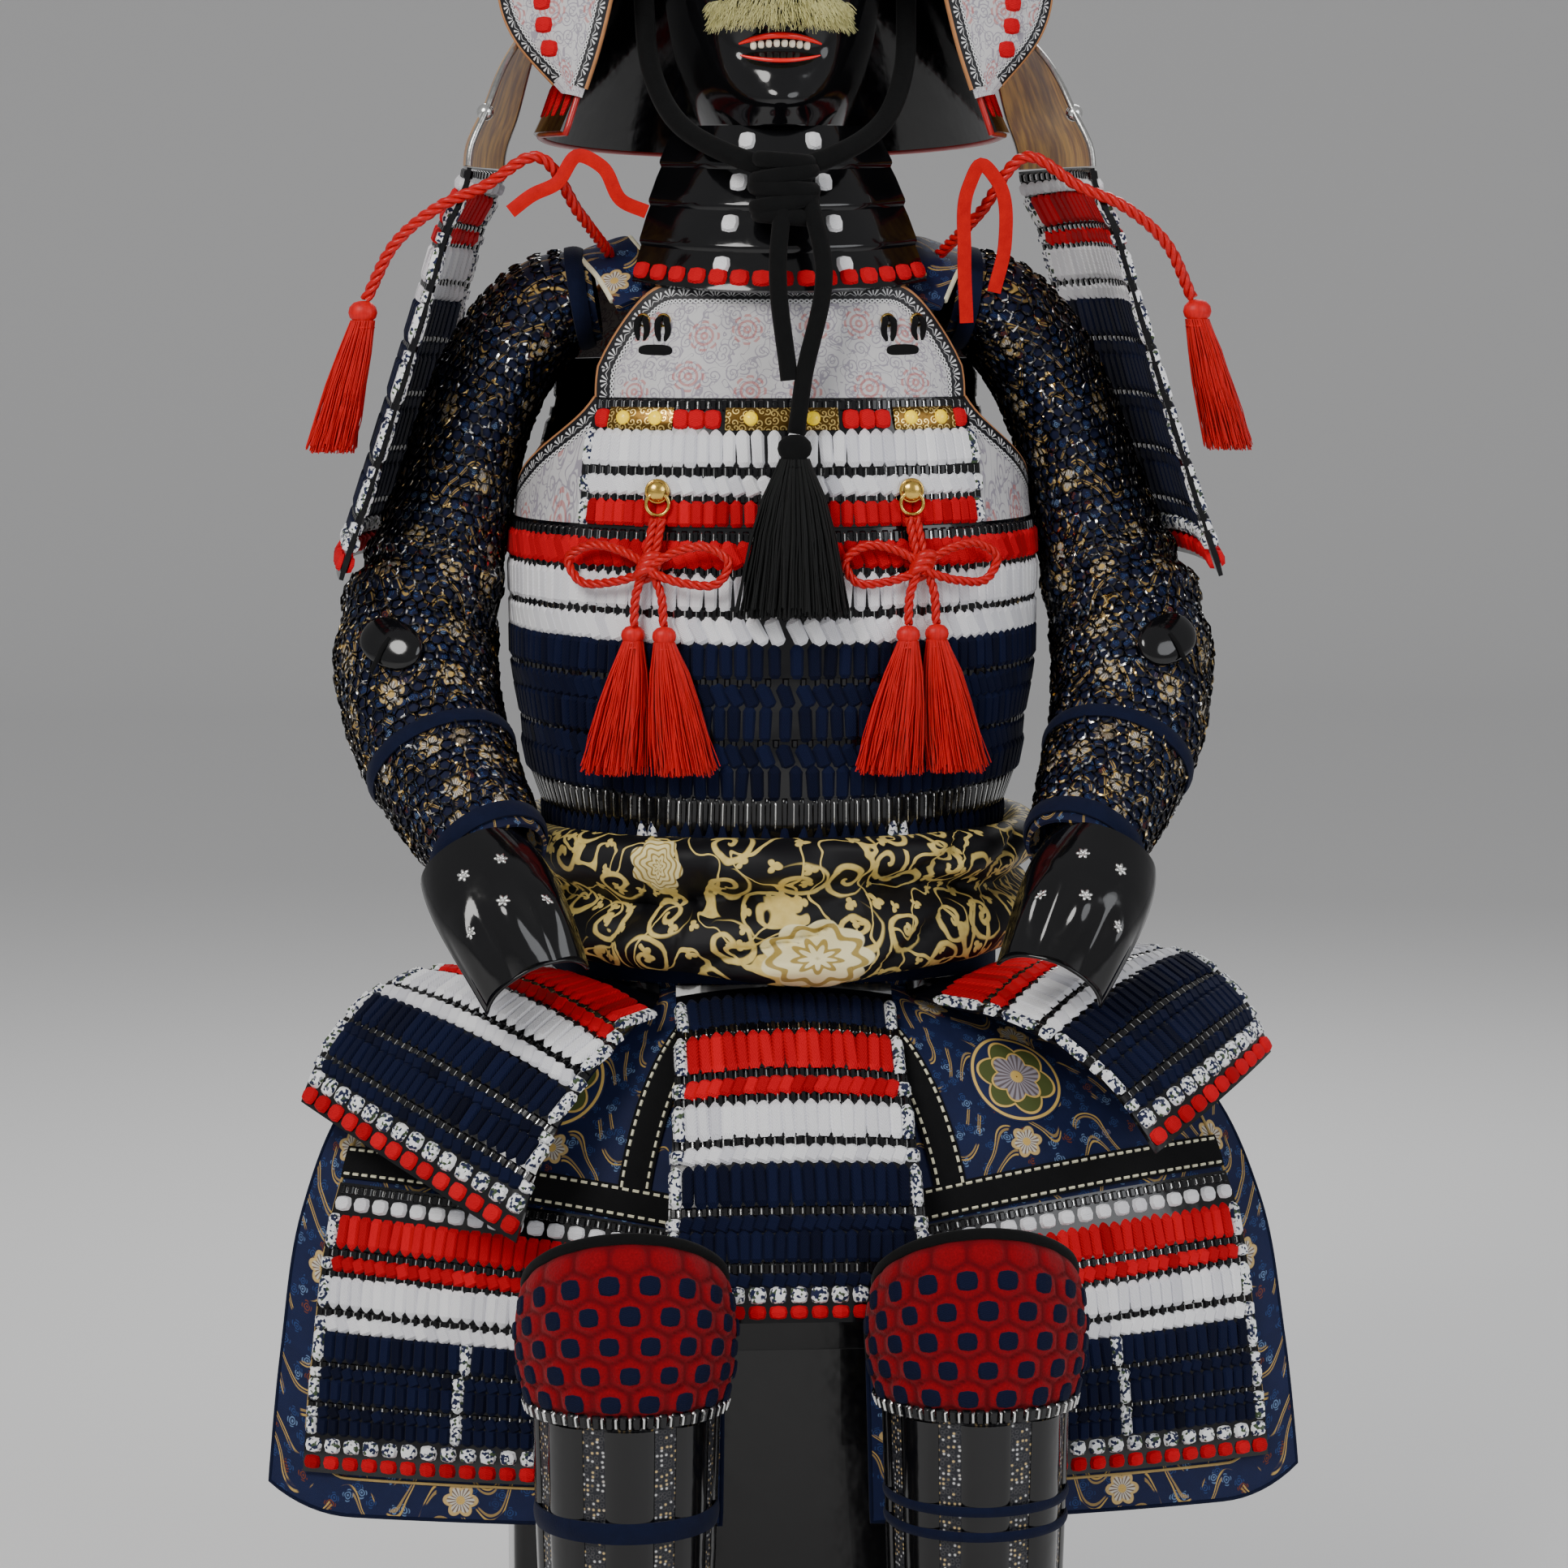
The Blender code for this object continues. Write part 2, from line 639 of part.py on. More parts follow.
def build_neck_guard():
    """Four lames that flare out round the sides and the back of the neck."""
    angles = evenly(NECK_GUARD_FROM, 360 - NECK_GUARD_FROM, 21)
    outer = [[neck_guard_point(a, share, NECK_WALL + step) for a in angles]
             for share, step in lame_rows(4)]
    inner = [[neck_guard_point(a, share) for a in angles] for share in evenly(0, 1, 3)]
    return wall("neck_guard", outer, inner, "black_lacquer")


WING = (
    # inner edge x, y, z       outer edge x, y, z        bow
    (0.110, -0.056, 1.402, 0.170, -0.036, 1.400, 0.004),
    (0.113, -0.062, 1.362, 0.193, -0.036, 1.360, 0.006),
    (0.119, -0.067, 1.318, 0.201, -0.038, 1.312, 0.006),
    (0.130, -0.070, 1.272, 0.190, -0.048, 1.276, 0.005),
    (0.143, -0.070, 1.232, 0.156, -0.065, 1.236, 0.001),
)


def build_wing(side):
    """A turned-back end of the top lame of the neck guard, faced with printed leather."""
    made = panel_wall(f"helmet_wing_{SIDE_NAMES[side]}", Panel(WING, side), evenly(0, 1, 5),
                      evenly(0, 1, 7), "printed_leather", 0.0, LEATHER_WALL)
    seat([made], [bpy.data.objects["neck_guard"]], (0, 1, 0), away=0.03)
    return made


# Mask and throat guard

MASK_CENTRE = Vector((0.0, 0.004, 0.0))
MASK_TOP = 1.345
MASK_CHIN = 1.212
MASK_TABLE = (
    # half width, half depth at the front, height
    (0.079, 0.100, 1.345),
    (0.080, 0.104, 1.318),
    (0.077, 0.106, 1.292),
    (0.072, 0.107, 1.265),
    (0.064, 0.109, 1.238),
    (0.052, 0.103, 1.212),
)
MASK_LINE = Spline(MASK_TABLE, lambda row: Vector((0, 0, row[2])))


def mask_relief(degrees, z):
    """How far the nose, the upper lip with its moustache and the chin stand out, and the mouth goes in."""
    nose = 0.030 * math.exp(-(degrees / 9.5) ** 2) * math.exp(-((z - 1.318) / 0.022) ** 2)
    lip = 0.009 * math.exp(-(degrees / 30) ** 4) * math.exp(-((z - 1.2925) / 0.009) ** 2)
    mouth = -0.010 * math.exp(-(degrees / 23) ** 4) * math.exp(-((z - 1.2665) / 0.009) ** 2)
    chin = 0.008 * math.exp(-(degrees / 20) ** 2) * math.exp(-((z - 1.230) / 0.012) ** 2)
    cheek = 0.004 * math.exp(-((abs(degrees) - 42) / 16) ** 2) * math.exp(-((z - 1.312) / 0.020) ** 2)
    return nose + lip + mouth + chin + cheek


def mask_point(degrees, z, out=0.0):
    """A point on the half mask, 0 degrees at the nose."""
    half_width, half_depth, _ = MASK_LINE.at((MASK_TOP - z) / (MASK_TOP - MASK_CHIN))
    a = math.radians(degrees)
    grow = mask_relief(degrees, z) + out
    return MASK_CENTRE + Vector((math.sin(a) * (half_width + grow * 0.6),
                                 -math.cos(a) * (half_depth + grow), z))


def build_mask():
    """The lacquered half mask: cheeks, nose, mouth and chin."""
    half = (4, 9, 16, 24, 33, 44, 58, 82)
    angles = [-a for a in reversed(half)] + list(half)
    heights = (1.345, 1.330, 1.316, 1.303, 1.2925, 1.280, 1.2665, 1.253, 1.242, 1.230, 1.221, 1.212)
    outer = [[mask_point(a, z, MASK_WALL) for a in angles] for z in heights]
    inner = [[mask_point(a, z, 0.0) for a in angles] for z in heights]
    return wall("face_mask", outer, inner, "black_lacquer")


def throat_point(u, share, out=0.0):
    """A point of the throat guard. u runs from -1 to 1 across it, share from the chin down."""
    a = math.radians(u * (64 - 14 * share))
    half_width = 0.080 + 0.056 * share + out
    half_depth = 0.094 + 0.046 * share + out
    z = MASK_CHIN - GAP - 0.120 * share + 0.018 * (1 - math.cos(a)) * share
    return Vector((math.sin(a) * half_width, -math.cos(a) * half_depth + 0.004, z))


def build_throat_guard():
    """Four lacquered lames that widen downwards."""
    across = evenly(-1, 1, 13)
    outer = [[throat_point(u, share, MASK_WALL + step * 0.7) for u in across]
             for share, step in lame_rows(4)]
    inner = [[throat_point(u, share) for u in across] for share in evenly(0, 1, BACK_ROWS)]
    return wall("throat_guard", outer, inner, "black_lacquer")


# Cuirass

def collar_edge(degrees):
    """The top edge of the chest plate: level, with round corners."""
    past = max(0.0, (abs(degrees) - 24) / (CHEST_SPREAD - 24))
    return COLLAR_TOP - 0.060 * past ** 2.6


def armhole_edge(degrees):
    """The top edge of a side plate, hollowed under the arm."""
    a = abs(degrees)
    f = min(max((a - 48) / 42, 0.0), 1.0)
    return CHEST_TOP - 0.068 * f ** 0.7 + 0.030 * max(0.0, (a - 98) / 20) ** 1.5


def back_edge(degrees):
    """The top edge of the back plate."""
    past = max(0.0, (abs(180 - degrees) - 20) / 44)
    return max(1.122 - 0.058 * past ** 2.2, BACK_LAMES_TOP + 0.008)


def build_cuirass():
    """Body lames all round, chest and back lames above them, and the leather-faced plates."""
    ring = [360 * i / 32 for i in range(32)]
    torso_lames("torso_lames", ring, TORSO_TOP, WAIST_TOP, 4, "navy_lacing", closed=True,
                dip_top=0.003, dip_bottom=FRONT_DIP)
    front = evenly(-CHEST_SPREAD, CHEST_SPREAD, 13)
    torso_lames("chest_lames", front, CHEST_TOP, TORSO_TOP + GAP, 2, "navy_lacing", dip_bottom=0.003)
    shaped_plate("chest_plate", front, lambda a: CHEST_TOP + GAP, collar_edge, "printed_leather")
    for side in (1, -1):
        angles = [a * side for a in evenly(CHEST_SPREAD + 0.4, BACK_FROM - 0.6, 10)]
        shaped_plate(f"side_plate_{SIDE_NAMES[side]}", angles,
                     lambda a: dipped(a, TORSO_TOP + GAP, 0.003), armhole_edge, "printed_leather", rows=3)
    back = evenly(BACK_FROM, 360 - BACK_FROM, 12)
    torso_lames("back_lames", back, BACK_LAMES_TOP, TORSO_TOP + GAP, 3, "navy_lacing")
    shaped_plate("back_plate", back, lambda a: BACK_LAMES_TOP + GAP, back_edge, "printed_leather", rows=3)


STRAP = (
    # x, y, z of the middle line of a shoulder strap
    (0.100, -0.076, 1.086),
    (0.111, -0.052, 1.106),
    (0.121, -0.020, 1.119),
    (0.124, 0.018, 1.124),
    (0.115, 0.052, 1.114),
    (0.102, 0.0738, 1.101),
)
STRAP_TILT = 0.34


def build_shoulder_strap(side):
    """A padded strap over the shoulder, from behind the chest plate to inside the back plate."""
    line = Spline(STRAP)
    points = [Vector(line.at(t)) for t in evenly(0, 1, 9)]
    points = [Vector((p.x * side, p.y, p.z)) for p in points]
    up = [Vector((STRAP_TILT * side, 0.0, 1.0)) for _ in points]
    return strip(f"shoulder_strap_{SIDE_NAMES[side]}", points, up, 0.040, 0.008, "blue_brocade")


BELT_BOTTOM = 0.590
WAIST = (
    # height, outside and inside of the wall measured out from the torso
    (WAIST_TOP - GAP, 0.0035, 0.0010),
    (0.655, 0.0022, -0.0003),
    (0.606, 0.0030, -0.0060),
    (BELT_BOTTOM, 0.0030, -0.0066),
)


def build_waist_lacing():
    """The cords that hang the tassets from the cuirass, ending in the belt they are sewn to."""
    ring = [360 * i / 28 for i in range(28)]
    outer, inner = [], []
    for z, out, within in WAIST:
        dip = FRONT_DIP if z > WAIST_TOP - 0.01 else 0.0
        outer.append([torso_point(a, dipped(a, z, dip), out) for a in ring])
        inner.append([torso_point(a, dipped(a, z, dip), within) for a in ring])
    return wall("waist_lacing", outer, inner, "navy_lacing", closed=True)


SASH = (
    # out from the torso and height of a section: two rolls, one above the other
    (0.0050, 0.690), (0.0220, 0.700), (0.0400, 0.694), (0.0460, 0.675), (0.0360, 0.655),
    (0.0430, 0.638), (0.0470, 0.621), (0.0370, 0.605), (0.0200, 0.600), (0.0036, 0.612),
)
SASH_MIDDLE = 0.652
SASH_INSIDE = 0.0036


def sash_point(degrees, out, z):
    """A point of the sash: fuller in front, fullest at the knot, higher at the sides."""
    turn = (degrees + 180) % 360 - 180
    knot = math.exp(-((turn - 4) / 13) ** 2)
    forward = max(0.0, math.cos(math.radians(degrees)))
    fullness = 0.70 + 0.30 * forward + (0.28 if z < SASH_MIDDLE else 0.06) * knot
    level = SASH_MIDDLE + (z - SASH_MIDDLE) * (0.84 + 0.16 * forward)
    level += 0.012 * (1 - forward) - (0.008 * knot if z < SASH_MIDDLE else 0.0)
    return torso_point(degrees, level, SASH_INSIDE + (out - SASH_INSIDE) * fullness)


def build_sash():
    """The rolled brocade sash, two turns one over the other, with its knot bulging at the front."""
    mesh_data = bmesh.new()
    loops = [[mesh_data.verts.new(sash_point(360 * i / 28, out, z)) for out, z in SASH] for i in range(28)]
    loops.append(loops[0])
    grid_faces(mesh_data, loops, True)
    return object_from("sash", mesh_data, "gold_brocade", 50.0)


# Tassets: the skirt panels that hang from the belt of the waist lacing

TASSETS = {
    # rows of inner edge x, y, z, outer edge x, y, z, bow
    "tasset_front": (
        (-0.0780, -0.1182, 0.5880, 0.0780, -0.1182, 0.5880, 0.0100),
        (-0.0780, -0.1190, 0.5830, 0.0780, -0.1190, 0.5830, 0.0100),
        (-0.0790, -0.1400, 0.5700, 0.0790, -0.1400, 0.5700, 0.0100),
        (-0.0820, -0.1840, 0.5400, 0.0820, -0.1840, 0.5400, 0.0100),
        (-0.0860, -0.2260, 0.4940, 0.0860, -0.2260, 0.4940, 0.0090),
        (-0.0910, -0.2560, 0.4380, 0.0910, -0.2560, 0.4380, 0.0080),
        (-0.0960, -0.2700, 0.3700, 0.0960, -0.2700, 0.3700, 0.0080),
    ),
    "tasset_front_left": (
        (0.0900, -0.1145, 0.5886, 0.1500, -0.0665, 0.5886, 0.0060),
        (0.0900, -0.1155, 0.5830, 0.1510, -0.0670, 0.5830, 0.0060),
        (0.0980, -0.1500, 0.5740, 0.1920, -0.0680, 0.5880, 0.0100),
        (0.1220, -0.1960, 0.5600, 0.2500, -0.0860, 0.5940, 0.0130),
        (0.1520, -0.2320, 0.5300, 0.2980, -0.1060, 0.5820, 0.0140),
        (0.1790, -0.2570, 0.4860, 0.3290, -0.1240, 0.5520, 0.0130),
        (0.1980, -0.2720, 0.4300, 0.3500, -0.1400, 0.5080, 0.0120),
    ),
    "tasset_front_right": (
        (0.0900, -0.1145, 0.5886, 0.1500, -0.0665, 0.5886, 0.0060),
        (0.0900, -0.1155, 0.5830, 0.1510, -0.0670, 0.5830, 0.0060),
        (0.1060, -0.1480, 0.5780, 0.1920, -0.0660, 0.5900, 0.0100),
        (0.1480, -0.1900, 0.5720, 0.2540, -0.0800, 0.6030, 0.0130),
        (0.1900, -0.2200, 0.5560, 0.3060, -0.0960, 0.5990, 0.0140),
        (0.2260, -0.2400, 0.5270, 0.3370, -0.1120, 0.5740, 0.0130),
        (0.2560, -0.2520, 0.4840, 0.3570, -0.1280, 0.5340, 0.0120),
    ),
    "tasset_hip": (
        (0.1590, -0.0460, 0.5893, 0.1530, 0.0580, 0.5893, 0.0080),
        (0.1590, -0.0460, 0.5830, 0.1530, 0.0580, 0.5830, 0.0080),
        (0.1860, -0.0500, 0.5700, 0.1760, 0.0640, 0.5680, 0.0080),
        (0.2280, -0.0560, 0.5280, 0.2140, 0.0760, 0.5240, 0.0090),
        (0.2560, -0.0600, 0.4760, 0.2420, 0.0860, 0.4700, 0.0090),
        (0.2740, -0.0620, 0.4220, 0.2600, 0.0920, 0.4140, 0.0080),
        (0.2840, -0.0640, 0.3660, 0.2700, 0.0960, 0.3560, 0.0080),
    ),
    "tasset_back": (
        (0.1500, 0.0665, 0.5886, 0.0100, 0.1280, 0.5886, 0.0170),
        (0.1500, 0.0670, 0.5830, 0.0100, 0.1285, 0.5830, 0.0170),
        (0.1660, 0.0920, 0.5700, 0.0100, 0.1480, 0.5680, 0.0140),
        (0.1820, 0.1400, 0.5280, 0.0100, 0.1820, 0.5260, 0.0100),
        (0.1920, 0.1780, 0.4760, 0.0100, 0.2080, 0.4740, 0.0090),
        (0.2000, 0.2020, 0.4220, 0.0100, 0.2220, 0.4200, 0.0080),
        (0.2060, 0.2180, 0.3660, 0.0100, 0.2300, 0.3640, 0.0080),
    ),
}


def build_tassets():
    """Seven laced panels: one in front, two over the thighs, two at the hips and two behind."""
    across = evenly(0, 1, 7)
    placed = [("tasset_front", "tasset_front", 1), ("tasset_front_left", "tasset_front_left", -1),
              ("tasset_front_right", "tasset_front_right", 1)]
    for side in (1, -1):
        for place in ("tasset_hip", "tasset_back"):
            placed.append((f"{place}_{SIDE_NAMES[side]}", place, side))
    for name, table, side in placed:
        laced_panel(name, Panel(TASSETS[table], side), across, 0, 1, 5, "navy_lacing", back_rows=5)


# Thigh guards: a brocade apron for each leg with laced lames on its lower part

THIGH_APRON = (
    # inner edge x, y, z       outer edge x, y, z        bow
    (0.0120, -0.1215, 0.5886, 0.1380, -0.0690, 0.5886, 0.0140),
    (0.0120, -0.1220, 0.5830, 0.1380, -0.0690, 0.5830, 0.0140),
    (0.0180, -0.1430, 0.5580, 0.1900, -0.0660, 0.5680, 0.0160),
    (0.0320, -0.1820, 0.5180, 0.2620, -0.0720, 0.5540, 0.0220),
    (0.0440, -0.2100, 0.4640, 0.3200, -0.1020, 0.4980, 0.0240),
    (0.0500, -0.2300, 0.4040, 0.3500, -0.1300, 0.4280, 0.0220),
    (0.0520, -0.2430, 0.3200, 0.3660, -0.1480, 0.3300, 0.0200),
    (0.0540, -0.2510, 0.2200, 0.3780, -0.1580, 0.2120, 0.0180),
)
CORNER_FROM = 0.80      # share of the width where the rounding of the apron's outer corner begins
CORNER_CUT = 0.045
LAME_FIELD = (0.12, 0.915, 0.500, 0.935)  # inner, outer, top and bottom shares of the apron


def build_thigh_guard(side):
    """The apron with its border, and the lames that lie on it."""
    name = SIDE_NAMES[side]
    panel = Panel(THIGH_APRON, side)
    across = [0.0, 0.14, 0.28, 0.42, 0.56, 0.69, 0.80, 0.91, 1.0]
    panel_wall(f"thigh_apron_{name}", panel, across, evenly(0, 1, 10), "blue_brocade",
               0.0, CLOTH_WALL, CORNER_CUT)
    inner, outer, top, bottom = LAME_FIELD
    laced_panel(f"thigh_lames_{name}", panel, evenly(inner, outer, 9), top, bottom, 5,
                "navy_lacing", CLOTH_WALL + 3 * GAP, back_rows=6)


# Shin guards and knee guards

LEG_X = 0.123
LEG_Y = -0.400
SHIN_TOP = 0.322
KNEE_TOP = 0.450
SHIN_TABLE = (
    # height, half width, half depth
    (0.322, 0.060, 0.066),
    (0.200, 0.056, 0.060),
    (0.060, 0.046, 0.052),
    (0.000, 0.047, 0.054),
)
SPLINTS = 5


def leg_point(side, degrees, z, half_width, half_depth, out):
    """A point round a leg, 0 degrees at the shin."""
    a = math.radians(degrees)
    return Vector((side * LEG_X + math.sin(a) * (half_width + out),
                   LEG_Y - math.cos(a) * (half_depth + out), z))


def build_leg(side):
    """The shin guard, which stands on the floor, and the quilted knee guard laced to its top."""
    name = SIDE_NAMES[side]
    reach = 118
    angles = evenly(-reach, reach, 4 * SPLINTS + 1)
    outer, inner = [], []
    for z, half_width, half_depth in SHIN_TABLE:
        out_row = []
        for a in angles:
            ridge = abs(math.sin(math.radians((a + reach) / (2 * reach) * 180 * SPLINTS))) ** 0.6
            out_row.append(leg_point(side, a, z, half_width, half_depth, CLOTH_WALL + 0.0035 * ridge))
        outer.append(out_row)
        inner.append([leg_point(side, a, z, half_width, half_depth, 0.0) for a in angles])
    shin = wall(f"shin_guard_{name}", outer, inner, "black_lacquer")
    outer, inner = [], []
    for share in evenly(0, 1, 6):
        out_row, in_row = [], []
        for a in evenly(-100, 100, 13):
            top = KNEE_TOP - 0.045 * (1 - math.cos(math.radians(a)))
            z = top + (SHIN_TOP + GAP - top) * share
            swell = 0.004 + 0.012 * math.sin(math.pi * min(1.0, 0.18 + share * 0.72))
            p = leg_point(side, a, z, 0.056, 0.056, swell) + Vector((0, 0.010 * (1 - share) ** 2, 0))
            around = Vector((math.sin(math.radians(a)), -math.cos(math.radians(a)), 0))
            out_row.append(p + around * KNEE_WALL)
            in_row.append(p)
        outer.append(out_row)
        inner.append(in_row)
    knee = wall(f"knee_guard_{name}", outer, inner, "knee_quilt")
    behind = (f"thigh_lames_{name}", f"thigh_apron_{name}", "tasset_front")
    seat([shin, knee], [bpy.data.objects[part] for part in behind], (0, 1, 0), reach=0.12)


# Sleeves and hand plates

SLEEVE = (
    # x, y, z, half width, half depth
    (0.1480, 0.012, 1.0880, 0.030, 0.044),
    (0.1790, 0.014, 1.0820, 0.035, 0.052),
    (0.2080, 0.016, 1.0540, 0.037, 0.057),
    (0.2350, 0.012, 1.0030, 0.037, 0.059),
    (0.2530, 0.004, 0.9450, 0.040, 0.060),
    (0.2700, -0.008, 0.8850, 0.047, 0.062),
    (0.2830, -0.030, 0.8360, 0.055, 0.058),
    (0.2780, -0.068, 0.7820, 0.054, 0.052),
    (0.2600, -0.108, 0.7400, 0.049, 0.046),
    (0.2410, -0.146, 0.7080, 0.042, 0.039),
    (0.2260, -0.172, 0.6870, 0.0365, 0.033),
)


def sleeve_folds(angle, share):
    """Slack cloth bunched at the elbow."""
    elbow = math.exp(-((share - 0.50) / 0.09) ** 2)
    return 0.0035 * elbow * math.sin(share * 95) * (0.6 + 0.4 * math.cos(angle))


def build_sleeve(side):
    """The mailed brocade sleeve, open at the shoulder and the wrist."""
    outer = sleeve_grid(SLEEVE, 12, 13, CLOTH_WALL, side, sleeve_folds)
    inner = sleeve_grid(SLEEVE, 12, 13, 0.0, side, sleeve_folds)
    made = wall(f"sleeve_{SIDE_NAMES[side]}", outer, inner, "mail_sleeve", closed=True)
    seat([made], [bpy.data.objects[f"shoulder_strap_{SIDE_NAMES[side]}"]], (-side, 0, 0), away=0.01)
    return made


HAND_FROM = Vector((0.225, -0.178, 0.684))
HAND_TO = Vector((0.184, -0.250, 0.618))
HAND_ACROSS = Vector((0.90, -0.18, -0.36))


def hand_point(side, u, share, out=0.0):
    """A point of the hand plate. u runs from -1 to 1 across it, share from the wrist to the knuckles."""
    ahead = (HAND_TO - HAND_FROM).normalized()
    across = (HAND_ACROSS - ahead * HAND_ACROSS.dot(ahead)).normalized()
    up = ahead.cross(across).normalized()
    a = u * math.radians(84)
    half = 0.038 + 0.006 * math.sin(math.pi * share ** 0.8) + out
    knuckle = 0.003 * math.cos(u * math.pi * 3.5) * math.exp(-((share - 0.72) / 0.18) ** 2)
    rise = math.cos(a) * (0.030 + out + knuckle) + 0.004 - 0.032 * share ** 3
    p = HAND_FROM.lerp(HAND_TO, share) + across * math.sin(a) * half + up * rise
    return Vector((p.x * side, p.y, p.z))


def build_hand_plate(side):
    """The lacquered plate over the back of the hand, domed over the knuckles."""
    across = evenly(-1, 1, 9)
    outer = [[hand_point(side, u, share, MASK_WALL) for u in across] for share in evenly(0, 1, 7)]
    inner = [[hand_point(side, u, share) for u in across] for share in evenly(0, 1, 7)]
    made = wall(f"hand_plate_{SIDE_NAMES[side]}", outer, inner, "black_lacquer")
    back_up_arm = HAND_FROM - HAND_TO
    back_up_arm.x *= side
    seat([made], [bpy.data.objects[f"sleeve_{SIDE_NAMES[side]}"]], back_up_arm, away=0.09)
    return made


# Shoulder guards

SHOULDER_GUARD = (
    # front edge x, y, z       back edge x, y, z        bow
    (0.2235, -0.094, 1.1812, 0.1970, 0.122, 1.1812, 0.012),
    (0.2245, -0.094, 1.1740, 0.1980, 0.122, 1.1740, 0.012),
    (0.2380, -0.102, 1.1400, 0.2120, 0.130, 1.1400, 0.014),
    (0.2560, -0.108, 1.0800, 0.2280, 0.136, 1.0800, 0.016),
    (0.2870, -0.111, 0.9800, 0.2520, 0.138, 0.9820, 0.018),
    (0.3180, -0.110, 0.8860, 0.2780, 0.138, 0.8920, 0.018),
)
TOP_PLATE = (
    # front edge x, y, z       back edge x, y, z        bow
    (0.1830, -0.024, 1.2780, 0.1720, 0.100, 1.2780, 0.006),
    (0.1970, -0.058, 1.2560, 0.1780, 0.114, 1.2560, 0.008),
    (0.2110, -0.084, 1.2220, 0.1870, 0.122, 1.2220, 0.010),
    (0.2235, -0.094, 1.1904, 0.1970, 0.122, 1.1904, 0.012),
    (0.2240, -0.094, 1.1828, 0.1975, 0.122, 1.1828, 0.012),
)


def build_shoulder_guard(side):
    """The laced guard that hangs outside the upper arm, and its faced top plate."""
    name = SIDE_NAMES[side]
    guard = laced_panel(f"shoulder_guard_{name}", Panel(SHOULDER_GUARD, side), evenly(0, 1, 7), 0, 1, 6,
                        "navy_lacing", back_rows=5)
    plate = panel_wall(f"shoulder_guard_top_{name}", Panel(TOP_PLATE, side), evenly(0, 1, 7),
                       evenly(0, 1, 6), "gold_leather", 0.0, LEATHER_WALL)
    seat([guard, plate], [bpy.data.objects[f"shoulder_cord_{name}"]], (0, -1, 0), reach=0.05)
    return guard


# Cords, rings, ribbons and tassels

CHIN_CORD = 0.015
CHEST_CORD = 0.0070
SHOULDER_CORD = 0.0090
CHEEK_ROUTE = (
    (0.0960, -0.040, 1.345), (0.0960, -0.052, 1.295), (0.0920, -0.074, 1.252), (0.0740, -0.104, 1.214),
    (0.0360, -0.134, 1.190), (0.0060, -0.142, 1.180),
)
CHIN_KNOT = Vector((0.0, -0.142, 1.166))
CHEST_RING = Vector((0.092, 0.0, 0.950))
BOW_KNOT = Vector((0.099, 0.0, 0.896))
BOW_TAIL = 0.0105
BOW_LOOP = (
    # across and up from the knot
    (0.000, 0.001), (0.020, 0.012), (0.042, 0.015), (0.057, 0.004), (0.050, -0.010), (0.026, -0.011),
    (0.000, -0.003),
)
SHOULDER_ROUTE = (
    (0.122, -0.034, 1.128), (0.146, -0.086, 1.158), (0.178, -0.112, 1.198), (0.216, -0.114, 1.176),
    (0.244, -0.118, 1.164), (0.277, -0.112, 1.138), (0.300, -0.100, 1.096),
)
RIBBONS = {
    # the right one hangs doubled over at its top, the left one lies spread over the shoulder
    1: ((0.1340, -0.120, 1.070), (0.1320, -0.122, 1.120), (0.1350, -0.122, 1.168), (0.1440, -0.122, 1.184),
        (0.1560, -0.120, 1.172), (0.1620, -0.118, 1.128), (0.1540, -0.118, 1.092)),
    -1: ((0.098, -0.112, 1.150), (0.116, -0.114, 1.158), (0.130, -0.114, 1.182), (0.147, -0.113, 1.190),
         (0.163, -0.112, 1.170), (0.180, -0.112, 1.162), (0.196, -0.112, 1.150)),
}


def build_chin_cord():
    """The thick cotton cord down both cheeks, its knot under the chin and the ends that hang from it."""
    parts = []
    for side in (1, -1):
        route = [(x * side, y, z) for x, y, z in CHEEK_ROUTE]
        parts.append(tube(f"cheek_{side}", route, CHIN_CORD, "black_cord", 6, 2.0))
    hanging = (
        ((-0.001, -0.150, 1.160), (-0.001, -0.163, 1.100), (0.006, -0.166, 1.030)),
        ((0.018, -0.148, 1.158), (0.026, -0.163, 1.100), (0.010, -0.167, 1.030)),
    )
    for k, route in enumerate(hanging):
        parts.append(tube(f"strand_{k}", route, CHIN_CORD * 0.86, "black_cord", 6))
    end = ((0.008, -0.167, 1.036), (0.007, -0.166, 0.992))
    parts.append(tube("end", end, CHIN_CORD * 0.80, "black_cord", 6))
    knot = ball("chin_cord", CHIN_KNOT, (0.027, 0.019, 0.029), "black_cord", 10, 7)
    made = join_solids(knot, *parts)
    seat([made], [bpy.data.objects["throat_guard"]], (0, 1, 0), away=0.02)
    top = Vector((0.007, 0.0, 0.992 - GAP))
    top.y = min(c.co.y for c in made.data.vertices if c.co.z < 1.0) + CHIN_CORD * 0.40
    made = tassel("tassel_chin", top, 0.108, 0.011, 0.036, 18, "black_cord", 0.28, (-0.003, -0.003))
    seat([made], [bpy.data.objects["chest_lames"], bpy.data.objects["torso_lames"]], (0, 1, 0), away=0.03)
    return made


